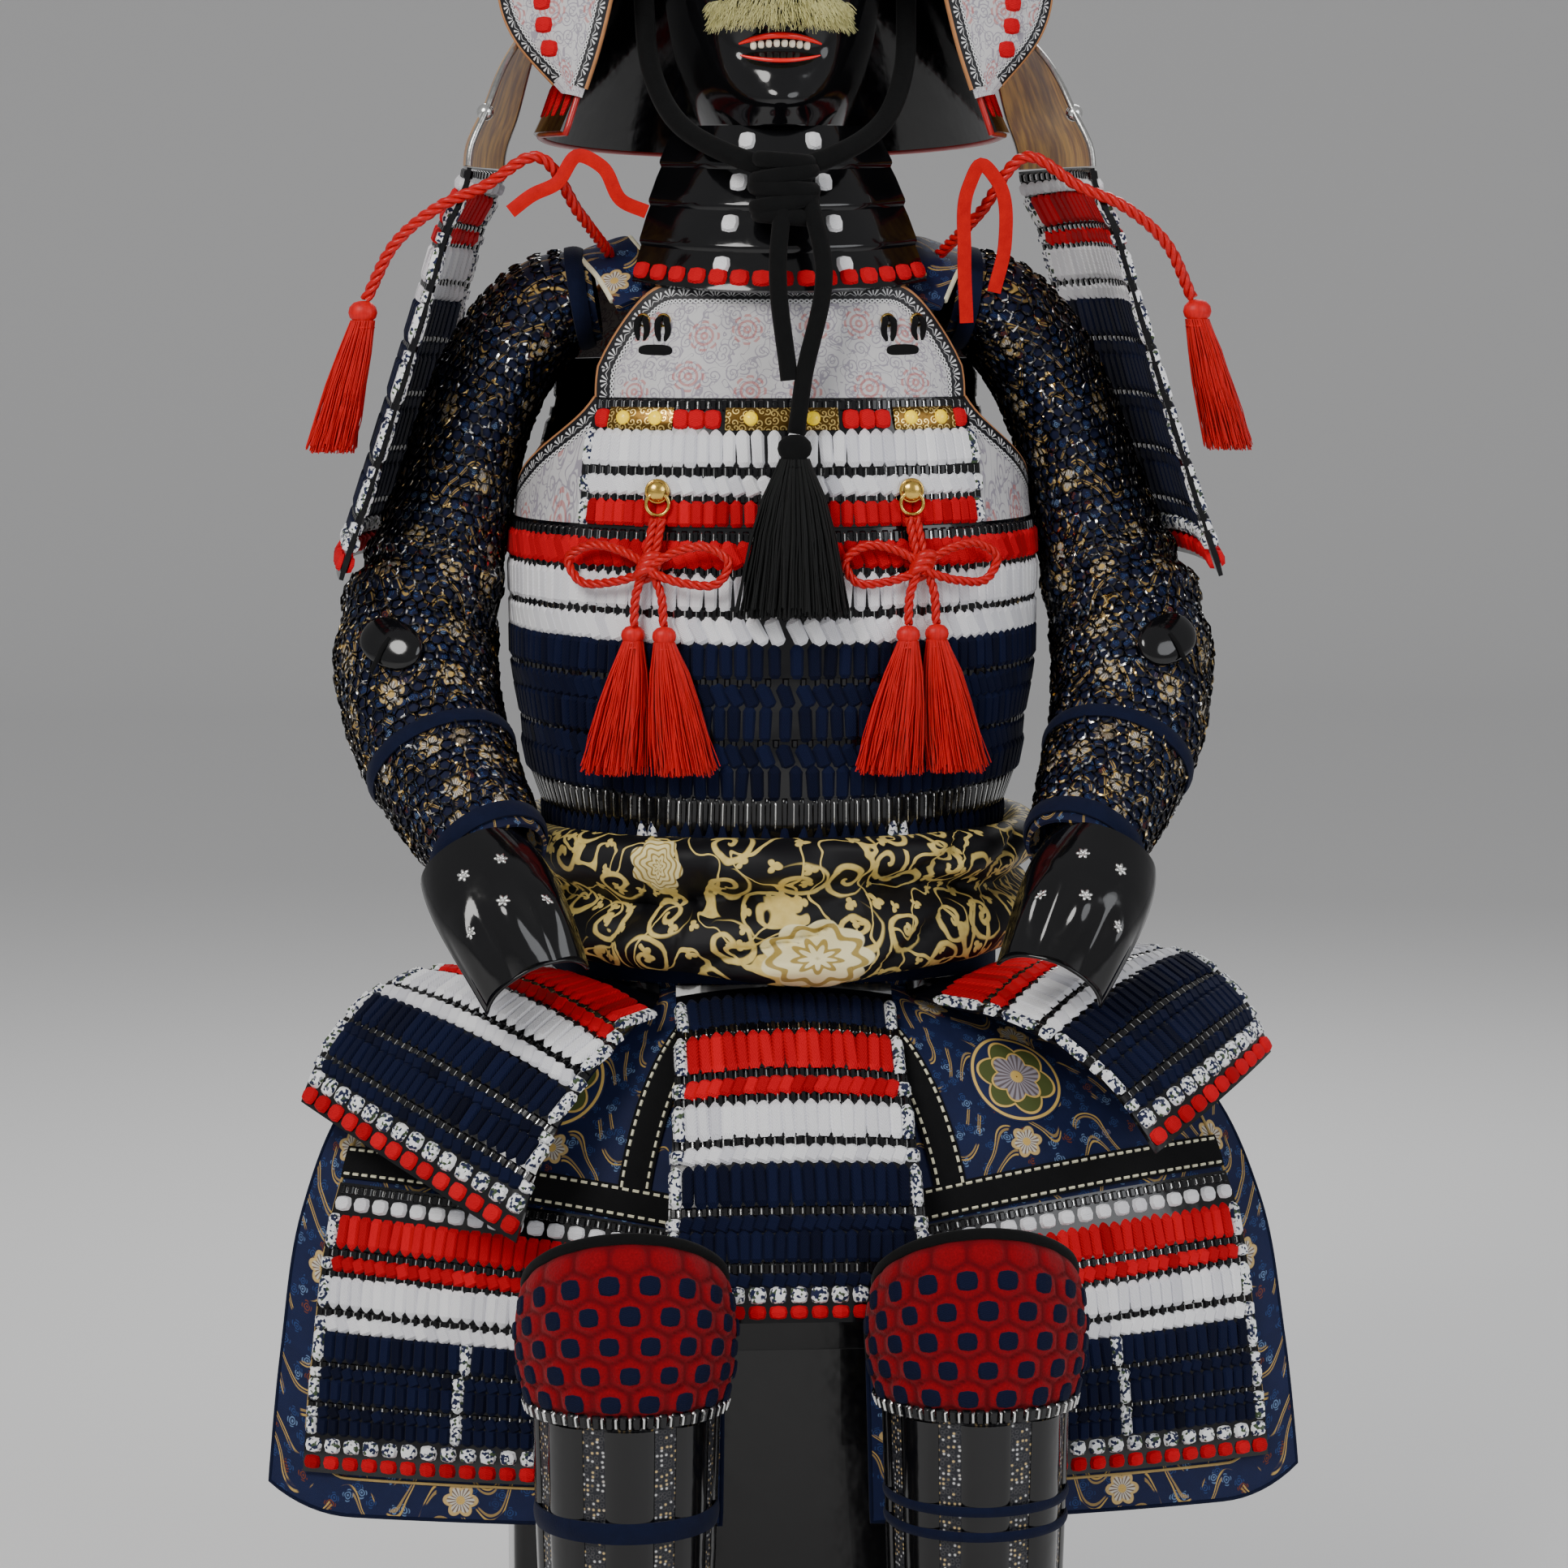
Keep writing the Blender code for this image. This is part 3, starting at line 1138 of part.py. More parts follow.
def build_chest_cord(side):
    """A gilt ring on its stud, the red cord tied below it in a bow, and the bow's two tassels."""
    name = SIDE_NAMES[side]
    lames = [bpy.data.objects["chest_lames"], bpy.data.objects["torso_lames"]]
    at = Vector((CHEST_RING.x * side, 0, CHEST_RING.z))
    at.y = torso_surface(at.x, at.z, 0.016)
    stud = ball(f"chest_ring_{name}", at, (0.008, 0.005, 0.008), "gilt", 8, 5)
    ring_route = [at + Vector((0.0082 * math.sin(a), -0.002, -0.009 - 0.0082 * math.cos(a)))
                  for a in [2 * math.pi * i / 12 for i in range(1, 12)]]
    ends = [at + Vector((x, -0.001, -0.0172)) for x in (0.001, -0.001)]
    ring_route = [ends[0], *ring_route, ends[1]]
    ring = tube("ring", ring_route, 0.0026, "gilt", 5, 1.9)
    stud = join_solids(stud, ring)
    seat([stud], lames, (0, 1, 0))

    knot_at = Vector((BOW_KNOT.x * side, 0, BOW_KNOT.z))
    out = PLATE_WALL + LAME_STEP + CHEST_CORD / 2 + 0.004
    knot_at.y = torso_surface(knot_at.x, knot_at.z, out)

    def on_body(dx, dz, more=0.0):
        x, z = knot_at.x + dx, knot_at.z + dz
        return Vector((x, torso_surface(x, z, out + more), z))

    knot = ball(f"chest_cord_{name}", knot_at, (0.011, 0.008, 0.010), "red_silk", 10, 6)
    parts = []
    for way in (1, -1):
        route = [on_body(way * dx, dz, 0.002 * (way + 1)) for dx, dz in BOW_LOOP]
        parts.append(tube(f"loop_{way}", route, CHEST_CORD, "red_silk", 6, 2.6))
        tail = [on_body(way * 0.002, -0.004), on_body(way * 0.009, -0.020), on_body(way * BOW_TAIL, -0.042)]
        parts.append(tube(f"tail_{way}", tail, CHEST_CORD, "red_silk", 6, 2.6))
    rise = [on_body(0, 0), on_body(at.x * 0.4 - knot_at.x * 0.4, 0.014), on_body(at.x - knot_at.x, 0.0345)]
    parts.append(tube("rise", rise, CHEST_CORD, "red_silk", 6, 2.6))
    cord = join_solids(knot, *parts)
    before = min(v.co.y for v in cord.data.vertices)
    seat([cord], lames + [stud], (0, 1, 0))
    moved = min(v.co.y for v in cord.data.vertices) - before
    for way in (1, -1):
        top = on_body(way * BOW_TAIL, -0.042) + Vector((0, moved, -GAP))
        where = "outer" if way == side else "inner"
        made = tassel(f"tassel_chest_{name}_{where}", top, 0.092, 0.0085, 0.019, 12, "red_silk", 0.5,
                      (way * 0.0150, 0.0))
        seat([made], lames, (0, 1, 0), reach=0.03, away=0.02)


def build_shoulder_cord(side):
    """The twisted cord from the shoulder strap over the top of the guard, and its tassel outside."""
    name = SIDE_NAMES[side]
    route = [Vector((x * side, y, z)) for x, y, z in SHOULDER_ROUTE]
    made = tube(f"shoulder_cord_{name}", route, SHOULDER_CORD, "red_silk", 6, 2.2)
    seat([made], [bpy.data.objects[f"shoulder_strap_{name}"]], (0, 0, -1), away=0.01)
    lowest = min(made.data.vertices, key=lambda corner: corner.co.z).co
    top = Vector((lowest.x, lowest.y, lowest.z - GAP))
    lean = (0.024 * side, 0.0)
    tail = tassel(f"tassel_shoulder_{name}", top, 0.090, 0.0100, 0.013, 12, "red_silk", 0.8, lean)
    return made, tail


def build_ribbon(side):
    """A flat red ribbon that hangs doubled beside the throat."""
    points = even_path([(x * side, y, z) for x, y, z in RIBBONS[side]], 0.013)
    facing = [Vector((0.15 * side, -1, 0)) for _ in points]
    made = strip(f"ribbon_{SIDE_NAMES[side]}", points, facing, 0.010, 0.0014, "red_silk")
    near = (f"shoulder_cord_{SIDE_NAMES[side]}", "throat_guard", "neck_guard")
    seat([made], [bpy.data.objects[part] for part in near], (0, 1, 0), reach=0.1, away=0.03)


def shift_all():
    """Moves the set in depth so that the origin lies under the middle of its box."""
    for made in bpy.data.objects:
        for corner in made.data.vertices:
            corner.co.y += DEPTH_SHIFT


def main():
    """Builds every sub-part in an order that lets each be seated on the ones before it."""
    clear_scene()
    build_box()
    build_stand()
    build_bowl()
    build_visor()
    build_neck_guard()
    build_mask()
    build_throat_guard()
    build_cuirass()
    seat([bpy.data.objects["face_mask"], bpy.data.objects["throat_guard"]],
         [bpy.data.objects["chest_plate"]], (0, 1, 0))
    build_waist_lacing()
    build_sash()
    build_tassets()
    for side in SIDE_NAMES:
        build_wing(side)
        build_shoulder_strap(side)
        build_thigh_guard(side)
        build_leg(side)
        build_sleeve(side)
        build_hand_plate(side)
        build_shoulder_cord(side)
        build_shoulder_guard(side)
        build_chest_cord(side)
        build_ribbon(side)
    build_chin_cord()
    shift_all()


main()
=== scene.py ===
"""The looks of a suit of samurai armour seated on its armour box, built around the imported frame.

Metres, +Z up, the front faces -Y. Every place is worked out in the suit's own frame, whose middle
is DEPTH_SHIFT in front of the frame's origin, and moved there when a piece is finished.
"""

import copy
import logging
import math
from dataclasses import dataclass
from enum import IntEnum
from typing import Callable, Iterable, Sequence

import bmesh
import bpy
import numpy as np
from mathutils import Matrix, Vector


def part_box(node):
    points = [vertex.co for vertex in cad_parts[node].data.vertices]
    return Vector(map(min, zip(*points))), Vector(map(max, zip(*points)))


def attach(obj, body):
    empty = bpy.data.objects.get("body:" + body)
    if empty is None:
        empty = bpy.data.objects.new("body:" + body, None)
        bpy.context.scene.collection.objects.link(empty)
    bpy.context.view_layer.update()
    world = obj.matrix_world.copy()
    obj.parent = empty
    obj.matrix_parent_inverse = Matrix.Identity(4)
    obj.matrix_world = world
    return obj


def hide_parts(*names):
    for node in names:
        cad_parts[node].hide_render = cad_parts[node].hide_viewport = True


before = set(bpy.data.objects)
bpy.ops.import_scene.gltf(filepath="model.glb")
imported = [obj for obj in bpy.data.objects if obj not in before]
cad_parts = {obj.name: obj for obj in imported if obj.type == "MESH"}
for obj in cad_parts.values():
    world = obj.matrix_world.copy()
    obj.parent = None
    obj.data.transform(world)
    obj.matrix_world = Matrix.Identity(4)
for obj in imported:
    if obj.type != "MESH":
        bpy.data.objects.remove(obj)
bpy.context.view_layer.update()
LOG = logging.getLogger("armour")

Array = np.ndarray
Socket = bpy.types.NodeSocket
PlaceRow = tuple[float, ...]

DEPTH_SHIFT = 0.06851
ROOT = "root"
SEED = 7
SIDES = ((1, "right"), (-1, "left"))
UV_NAME = "UVMap"

# Walls and steps shared with the solids
CLOTH_WALL = 0.0025
PLATE_WALL = 0.004
LAME_STEP = 0.0035
LEATHER_WALL = 0.003
MASK_WALL = 0.0025
GAP = 0.0004


class Dye(IntEnum):
    """What a stitch, a lame head or an edge braid is made of; the silver glint is a painted highlight
    between lame heads.
    """

    NAVY = 0
    WHITE = 1
    RED = 2
    PATTERN = 3
    LACQUER = 4
    # painted highlights: silver strips laid between lacquered lame heads stand for the glints of light on
    # them
    SILVER_GLINT = 5
    GILT = 6


class Stitch(IntEnum):
    """The unit shapes that the lacing is made of."""

    CORD = 0
    HEAD = 1
    CUSHION = 2


class Strip(IntEnum):
    """The kinds of row that a laced panel shows, from its top down."""

    LONG = 0
    SLANT = 1
    HEADS = 2
    SQUARES = 3


# Lines and surfaces

class Spline:
    """A smooth line through rows of numbers, spaced by the lengths between their places."""

    def __init__(self, rows: Sequence[PlaceRow], place: Callable = lambda row: Vector(row[0:3])) -> None:
        """Keeps the rows and the length at each.

        Args:
            rows: rows of numbers of one length.
            place: gives the point of a row, which sets its distance from the next.
        """
        self.rows = rows
        self.knots = [0.0]
        for a, b in zip(rows, rows[1:]):
            self.knots.append(self.knots[-1] + (place(b) - place(a)).length)
        self.length = self.knots[-1]

    def slope(self, k: int) -> list[float]:
        """The rate of change at row k, weighted so that uneven rows don't overshoot.

        Args:
            k: the row's number.

        Returns:
            The rate for each number in the row.
        """
        rows, knots = self.rows, self.knots
        if k == 0 or k == len(rows) - 1:
            a, b = (0, 1) if k == 0 else (k - 1, k)
            return [(q - p) / (knots[b] - knots[a]) for p, q in zip(rows[a], rows[b])]
        before, after = knots[k] - knots[k - 1], knots[k + 1] - knots[k]
        return [((q - p) / before * after + (r - q) / after * before) / (before + after)
                for p, q, r in zip(rows[k - 1], rows[k], rows[k + 1])]

    def at(self, share: float) -> tuple[float, ...]:
        """The row of numbers at a share of the whole length.

        Args:
            share: how far along, from 0 to 1.

        Returns:
            The numbers of that row.
        """
        wanted = min(max(share, 0.0), 1.0) * self.length
        k = 0
        while k < len(self.rows) - 2 and wanted > self.knots[k + 1]:
            k += 1
        width = self.knots[k + 1] - self.knots[k]
        f = (wanted - self.knots[k]) / width
        start, end = self.slope(k), self.slope(k + 1)
        found = []
        for p, q, m, n in zip(self.rows[k], self.rows[k + 1], start, end):
            found.append((2 * f ** 3 - 3 * f * f + 1) * p + (f ** 3 - 2 * f * f + f) * width * m
                         + (3 * f * f - 2 * f ** 3) * q + (f ** 3 - f * f) * width * n)
        return tuple(found)


def even_path(route: Sequence, spacing: float) -> Array:
    """Points at an even spacing on a smooth line through a route.

    Args:
        route: the points that the line passes.
        spacing: the distance from one found point to the next.

    Returns:
        The points, one a row.
    """
    line = Spline([tuple(p) for p in route])
    count = max(3, round(line.length / spacing) + 1)
    return np.array([line.at(t) for t in np.linspace(0.0, 1.0, count)])


def unit(vectors: Array) -> Array:
    """The same directions at length one."""
    return vectors / np.maximum(np.linalg.norm(vectors, axis=-1, keepdims=True), 1e-12)


class Surface:
    """A sheet read once on a fine grid: u runs across it and v down it, both from 0 to 1."""

    def __init__(self, place: Callable[[float, float], Vector], columns: int = 41, rows: int = 61,
                 closed: bool = False, flip: bool = False) -> None:
        """Reads the grid.

        Args:
            place: gives the point of the bare sheet at u and v.
            columns: how many points across.
            rows: how many points down.
            closed: whether the last column lies on the first.
            flip: turns the normals to the other side.
        """
        us, vs = np.linspace(0, 1, columns), np.linspace(0, 1, rows)
        self.points = np.array([[tuple(place(u, v)) for u in us] for v in vs])
        across = np.gradient(self.points, axis=1)
        if closed:
            wrapped = (self.points[:, 1] - self.points[:, -2]) / 2
            across[:, 0] = wrapped
            across[:, -1] = wrapped
        down = np.gradient(self.points, axis=0)
        normals = unit(np.cross(down, across))
        self.normals = -normals if flip else normals
        self.closed = closed

    def sample(self, grid: Array, u: Array, v: Array) -> Array:
        """Reads a grid of vectors between its points.

        Args:
            grid: the rows of vectors.
            u: the place across.
            v: the place down.

        Returns:
            The vector at each place.
        """
        rows, columns = grid.shape[:2]
        x = np.clip(np.asarray(u, float), 0, 1) * (columns - 1)
        y = np.clip(np.asarray(v, float), 0, 1) * (rows - 1)
        i, j = np.minimum(x.astype(int), columns - 2), np.minimum(y.astype(int), rows - 2)
        fx, fy = (x - i)[..., None], (y - j)[..., None]
        top = grid[j, i] * (1 - fx) + grid[j, i + 1] * fx
        low = grid[j + 1, i] * (1 - fx) + grid[j + 1, i + 1] * fx
        return top * (1 - fy) + low * fy

    def at(self, u: Array, v: Array, out: Array | float = 0.0) -> Array:
        """The points at u and v, moved off the sheet by out."""
        u, v = np.broadcast_arrays(np.asarray(u, float), np.asarray(v, float))
        out = np.broadcast_to(np.asarray(out, float), u.shape)
        return self.sample(self.points, u, v) + unit(self.sample(self.normals, u, v)) * out[..., None]

    def normal(self, u: Array, v: Array) -> Array:
        """The way that the sheet faces at u and v."""
        u, v = np.broadcast_arrays(np.asarray(u, float), np.asarray(v, float))
        return unit(self.sample(self.normals, u, v))

    def width(self, v: float) -> float:
        """How far it is across the sheet at v."""
        line = self.at(np.linspace(0, 1, 81), v)
        return float(np.linalg.norm(np.diff(line, axis=0), axis=1).sum())

    def fall(self, u: float = 0.5) -> float:
        """How far it is down the sheet at u."""
        line = self.at(u, np.linspace(0, 1, 81))
        return float(np.linalg.norm(np.diff(line, axis=0), axis=1).sum())

    def moved(self, shift: Array) -> "Surface":
        """The same sheet in another place."""
        self.points = self.points + np.asarray(shift)
        return self


def panel_surface(rows: Sequence[PlaceRow], side: int = 1, columns: int = 33, count: int = 61) -> Surface:
    """A hanging sheet between an inner and an outer edge.

    Args:
        rows: rows of inner x, y, z, outer x, y, z and how far the middle stands out.
        side: 1, or -1 for its mirror image.
        columns: grid points across.
        count: grid points down.

    Returns:
        The sheet, whose u runs from its inner to its outer edge.
    """
    spline = Spline(rows, lambda row: (Vector(row[0:3]) + Vector(row[3:6])) / 2)

    def middle(v: float) -> Vector:
        """The middle line of the spline."""
        values = spline.at(min(max(v, 0.0), 1.0))
        return (Vector(values[0:3]) + Vector(values[3:6])) / 2

    def place(u: float, v: float) -> Vector:
        """A point of the surface that the spline spans.

        Args:
            u: the place across.
            v: the place down.

        Returns:
            The point.
        """
        values = spline.at(v)
        inner, outer = Vector(values[0:3]), Vector(values[3:6])
        fall = middle(v + 0.02) - middle(v - 0.02)
        bare = fall.cross(outer - inner).normalized()
        p = inner.lerp(outer, u) + bare * (values[6] * 4 * u * (1 - u))
        return Vector((p.x * side, p.y, p.z))

    return Surface(place, columns, count, flip=side < 0)


# Meshes

def mesh_object(name: str, points: Array, faces: Iterable[Sequence[int]], finish: bpy.types.Material,
                uvs: Array | None = None, smooth: float = 40.0) -> bpy.types.Object:
    """An object from points and faces.

    Args:
        name: the object's name.
        points: one point a row.
        faces: point numbers of each face.
        finish: the material.
        uvs: one pair of numbers for each point.
        smooth: the angle in degrees past which an edge stays sharp.

    Returns:
        The object, linked to the scene.
    """
    mesh = bpy.data.meshes.new(name)
    mesh.from_pydata(np.asarray(points, float).tolist(), [], [tuple(int(i) for i in f) for f in faces])
    if uvs is not None:
        layer = mesh.uv_layers.new(name=UV_NAME)
        corner = np.zeros(len(mesh.loops), np.int32)
        mesh.loops.foreach_get("vertex_index", corner)
        layer.data.foreach_set("uv", np.asarray(uvs, np.float32)[corner].ravel())
    mesh.materials.append(finish)
    mesh.shade_smooth()
    mesh.set_sharp_from_angle(angle=math.radians(smooth))
    made = bpy.data.objects.new(name, mesh)
    bpy.context.scene.collection.objects.link(made)
    return made


def grid_quads(rows: int, columns: int, start: int = 0, closed: bool = False, turned: bool = False) -> list:
    """Quads over a grid of points numbered by rows.

    Args:
        rows: how many rows.
        columns: how many columns.
        start: the number of the first point.
        closed: whether the last column joins the first.
        turned: whether the faces are wound the other way.

    Returns:
        The faces.
    """
    faces = []
    last = columns if closed else columns - 1
    for j in range(rows - 1):
        for i in range(last):
            k = (i + 1) % columns
            quad = (start + j * columns + i, start + j * columns + k,
                    start + (j + 1) * columns + k, start + (j + 1) * columns + i)
            faces.append(quad[::-1] if turned else quad)
    return faces


def wall_object(name: str, outer: Array, inner: Array, finish: bpy.types.Material, closed: bool = False,
                smooth: float = 40.0) -> bpy.types.Object:
    """A closed wall between two grids of one shape, with a map in metres along its cloth.

    Args:
        name: the object's name.
        outer: the outside, rows by columns by 3.
        inner: the inside, of the same shape.
        finish: the material.
        closed: whether the last column meets the first.
        smooth: the angle past which an edge stays sharp.

    Returns:
        The object.
    """
    rows, columns = outer.shape[:2]
    count = rows * columns
    faces = grid_quads(rows, columns, 0, closed) + grid_quads(rows, columns, count, closed, True)
    last = columns if closed else columns - 1
    for i in range(last):
        k = (i + 1) % columns
        faces.append((count + i, count + k, k, i))
        low = (rows - 1) * columns
        faces.append((low + i, low + k, count + low + k, count + low + i))
    if not closed:
        for j in range(rows - 1):
            a, b = j * columns, (j + 1) * columns
            faces.append((a, b, count + b, count + a))
            a, b = a + columns - 1, b + columns - 1
            faces.append((count + a, count + b, b, a))
    steps = np.linalg.norm(np.diff(outer, axis=1), axis=2)
    run = np.concatenate([np.zeros((rows, 1)), np.cumsum(steps, axis=1)], axis=1)
    run = np.repeat(run[rows // 2][None], rows, axis=0)
    middle = columns // 2
    drop = np.linalg.norm(np.diff(outer[:, middle], axis=0), axis=1)
    fall = np.concatenate([[0.0], np.cumsum(drop)])[:, None].repeat(columns, axis=1)
    uvs = np.stack([run, -fall], axis=2).reshape(-1, 2)
    points = np.concatenate([outer.reshape(-1, 3), inner.reshape(-1, 3)])
    made = mesh_object(name, points, faces, finish, np.concatenate([uvs, uvs]), smooth)
    face_out(made)
    return made


def face_out(made: bpy.types.Object) -> None:
    """Turns every face of a closed mesh outwards.

    Args:
        made: the object.
    """
    work = bmesh.new()
    work.from_mesh(made.data)
    bmesh.ops.remove_doubles(work, verts=work.verts, dist=1e-6)
    bmesh.ops.recalc_face_normals(work, faces=work.faces)
    if work.calc_volume(signed=True) < 0:
        bmesh.ops.reverse_faces(work, faces=work.faces)
    work.to_mesh(made.data)
    work.free()


def frames_along(points: Array, up: Sequence[float] = (0, 0, 1)) -> tuple[Array, Array]:
    """Two cross directions at each point of a path, turning as little as they can.

    Args:
        points: the points along it.
        up: the direction that the first frame leans to.

    Returns:
        The two directions, a row for each point.
    """
    ahead = unit(np.gradient(points, axis=0))
    side = np.cross(ahead[0], up)
    if np.linalg.norm(side) < 0.1:
        side = np.cross(ahead[0], (0, 1, 0))
    sides, depths = [], []
    for way in ahead:
        side = side - way * np.dot(side, way)
        side = side / np.linalg.norm(side)
        sides.append(side)
        depths.append(np.cross(way, side))
    return np.array(sides), np.array(depths)


def tube_object(name: str, points: Array, radius: float | Array, finish: bpy.types.Material,
                sides: int = 8, ring: bool = False) -> bpy.types.Object:
    """A round tube along points, with closed ends, or a closed ring of it.

    Args:
        name: the piece's name.
        points: the points along it.
        radius: the radius in metres.
        finish: the material.
        sides: how many faces go round it.
        ring: whether the line closes on itself.

    Returns:
        The piece.
    """
    across, depth = frames_along(points)
    turn = np.linspace(0, 2 * math.pi, sides, endpoint=False)
    reach = np.broadcast_to(np.asarray(radius, float), (len(points),))[:, None, None]
    rings = points[:, None] + (across[:, None] * np.cos(turn)[:, None] + depth[:, None]
                               * np.sin(turn)[:, None]) * reach
    count = len(points)
    faces = grid_quads(count, sides, 0, True)
    if ring:
        low = (count - 1) * sides
        faces += [(low + i, low + (i + 1) % sides, (i + 1) % sides, i) for i in range(sides)]
    else:
        faces += [tuple(range(sides)), tuple(range(count * sides - 1, (count - 1) * sides - 1, -1))]
    run = np.concatenate([[0.0], np.cumsum(np.linalg.norm(np.diff(points, axis=0), axis=1))])
    uvs = np.stack(np.meshgrid(turn * float(np.mean(reach)), run), axis=2).reshape(-1, 2)
    made = mesh_object(name, rings.reshape(-1, 3), faces, finish, uvs, 60.0)
    face_out(made)
    return made


def dome_object(name: str, centre: Sequence[float], axes: Array, finish: bpy.types.Material,
                squareness: float = 1.0, rings: int = 10, segments: int = 24) -> bpy.types.Object:
    """A closed rounded form: an ellipsoid, or a fuller one, on three axes of its own.

    Args:
        name: the object's name.
        centre: its middle.
        axes: three vectors of half the size, across, along and out.
        finish: the material.
        squareness: 1 for an ellipsoid, less for a squarer outline.
        rings: rows from pole to pole.
        segments: points round.

    Returns:
        The object.
    """
    work = bmesh.new()
    bmesh.ops.create_uvsphere(work, u_segments=segments, v_segments=rings, radius=1.0)
    axes = np.asarray(axes, float)
    for v in work.verts:
        s = np.array([math.copysign(abs(c) ** squareness, c) for c in v.co[:2]] + [v.co.z])
        v.co = Vector(np.asarray(centre) + s @ axes)
    mesh = bpy.data.meshes.new(name)
    bmesh.ops.recalc_face_normals(work, faces=work.faces)
    work.to_mesh(mesh)
    work.free()
    mesh.materials.append(finish)
    mesh.shade_smooth()
    made = bpy.data.objects.new(name, mesh)
    bpy.context.scene.collection.objects.link(made)
    return made


def joined(name: str, parts: Sequence[bpy.types.Object]) -> bpy.types.Object:
    """One object from several, with their materials kept.

    Args:
        name: the piece's name.
        parts: the objects to join.

    Returns:
        The piece.
    """
    first = parts[0]
    with bpy.context.temp_override(active_object=first, selected_editable_objects=list(parts)):
        bpy.ops.object.join()
    first.name = name
    first.data.name = name
    return first


def finish_piece(made: bpy.types.Object, replaces: Sequence[str] = ()) -> bpy.types.Object:
    """Moves a piece into the frame, hangs it on the set's body and hides the solids that it stands for.

    Args:
        made: the object, in the suit's own frame.
        replaces: the solids that it is shown instead of.

    Returns:
        The same object.
    """
    co = np.zeros(len(made.data.vertices) * 3)
    made.data.vertices.foreach_get("co", co)
    co[1::3] += DEPTH_SHIFT
    made.data.vertices.foreach_set("co", co)
    made.data.update()
    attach(made, ROOT)
    if replaces:
        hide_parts(*replaces)
    LOG.info("%s: %d faces", made.name, len(made.data.polygons))
    return made


def solid_box(node: str) -> tuple[Array, Array]:
    """The lowest and highest corner of a solid, in the suit's own frame."""
    low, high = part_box(node)
    shift = np.array((0.0, DEPTH_SHIFT, 0.0))
    return np.array(low) - shift, np.array(high) - shift


def run_along(points: Array) -> Array:
    """The length run at each point of a line, from 0."""
    return np.concatenate([[0.0], np.cumsum(np.linalg.norm(np.diff(points, axis=0), axis=1))])


def capped(rows: int, columns: int) -> list[tuple[int, ...]]:
    """The faces of a closed tube over rings of points, with a cap at each end."""
    last = rows * columns - 1
    return grid_quads(rows, columns, 0, True) + [tuple(range(columns)),
                                                 tuple(range(last, last - columns, -1))]


def map_points(made: bpy.types.Object, places: Array) -> None:
    """Lays an object's first map out by its points instead.

    Args:
        made: the object.
        places: a place in metres for each point.
    """
    places = places.astype(np.float32)
    corner = np.zeros(len(made.data.loops), np.int32)
    made.data.loops.foreach_get("vertex_index", corner)
    if corner.max() < len(places):
        made.data.uv_layers[0].data.foreach_set("uv", places[corner].ravel())


def seated(points: Array, node: str, axes: str) -> Array:
    """How far bare points have to move to lie in the middle of their solid, along the axes named."""
    low, high = solid_box(node)
    flat = points.reshape(-1, 3)
    gap = (low + high) / 2 - (flat.min(axis=0) + flat.max(axis=0)) / 2
    return np.array([gap[k] if "xyz"[k] in axes else 0.0 for k in range(3)])


# The suit's forms, as in the solids

CORD_SLANT = 0.42       # how far the lacing leans across a row, in cord widths
HEXAGON_ROW = 0.866     # the step between rows of hexagons, for one unit across
EDGING_WIDTH = 0.0145   # the printed edging of a leather plate

BOX_WIDTH = 0.40
BOX_FRONT = -0.150
BOX_BACK = 0.176
BOX_HEIGHT = 0.430
LID_HEIGHT = 0.105
LID_PROUD = 0.006
BOX_CUT = 0.008

TORSO = (
    # height, half width, half depth, middle y
    (0.600, 0.166, 0.128, 0.000),
    (0.655, 0.162, 0.124, 0.000),
    (0.705, 0.168, 0.128, 0.000),
    (0.760, 0.182, 0.136, 0.000),
    (0.830, 0.191, 0.141, 0.000),
    (0.900, 0.192, 0.139, 0.000),
    (0.960, 0.187, 0.132, 0.000),
    (1.020, 0.173, 0.124, 0.002),
    (1.110, 0.152, 0.112, 0.006),
)
TORSO_SQUARE = 0.86     # below 1 the section is fuller than an ellipse
WAIST_TOP = 0.712
TORSO_TOP = 0.926
CHEST_TOP = 1.016
COLLAR_TOP = 1.098
FRONT_DIP = 0.014       # the body lames hang lower at the front
CHEST_SPREAD = 47.0     # degrees each side that the chest plate covers
BACK_LAMES_TOP = 1.040
BACK_FROM = 117.6       # degrees from the front where the back plates begin
BOWL_CENTRE = Vector((0.0, 0.008, 1.392))
BOWL_RADII = (0.112, 0.132, 0.140)
BOWL_WALL = 0.003
RIB_HEIGHT = 0.0016
VISOR_SPREAD = 56.0
VISOR_REACH = 0.040
NECK_GUARD_FROM = 64.0
NECK_WALL = 0.003
MASK_WALL = 0.0025      # lacquered iron: mask, throat guard and hand plates
KNEE_WALL = 0.006       # the padded knee quilt

WING = (
    # inner edge x, y, z       outer edge x, y, z        bow
    (0.110, -0.056, 1.402, 0.170, -0.036, 1.400, 0.004),
    (0.113, -0.062, 1.362, 0.193, -0.036, 1.360, 0.006),
    (0.119, -0.067, 1.318, 0.201, -0.038, 1.312, 0.006),
    (0.130, -0.070, 1.272, 0.190, -0.048, 1.276, 0.005),
    (0.143, -0.070, 1.232, 0.156, -0.065, 1.236, 0.001),
)

MASK_TOP = 1.345
MASK_CHIN = 1.212
MASK_TABLE = (
    # half width, half depth at the front, height
    (0.079, 0.100, 1.345),
    (0.080, 0.104, 1.318),
    (0.077, 0.106, 1.292),
    (0.072, 0.107, 1.265),
    (0.064, 0.109, 1.238),
    (0.052, 0.103, 1.212),
)

STRAP = (
    # x, y, z of the middle line of a shoulder strap
    (0.100, -0.076, 1.086),
    (0.111, -0.052, 1.106),
    (0.121, -0.020, 1.119),
    (0.124, 0.018, 1.124),
    (0.115, 0.052, 1.114),
    (0.102, 0.0738, 1.101),
)

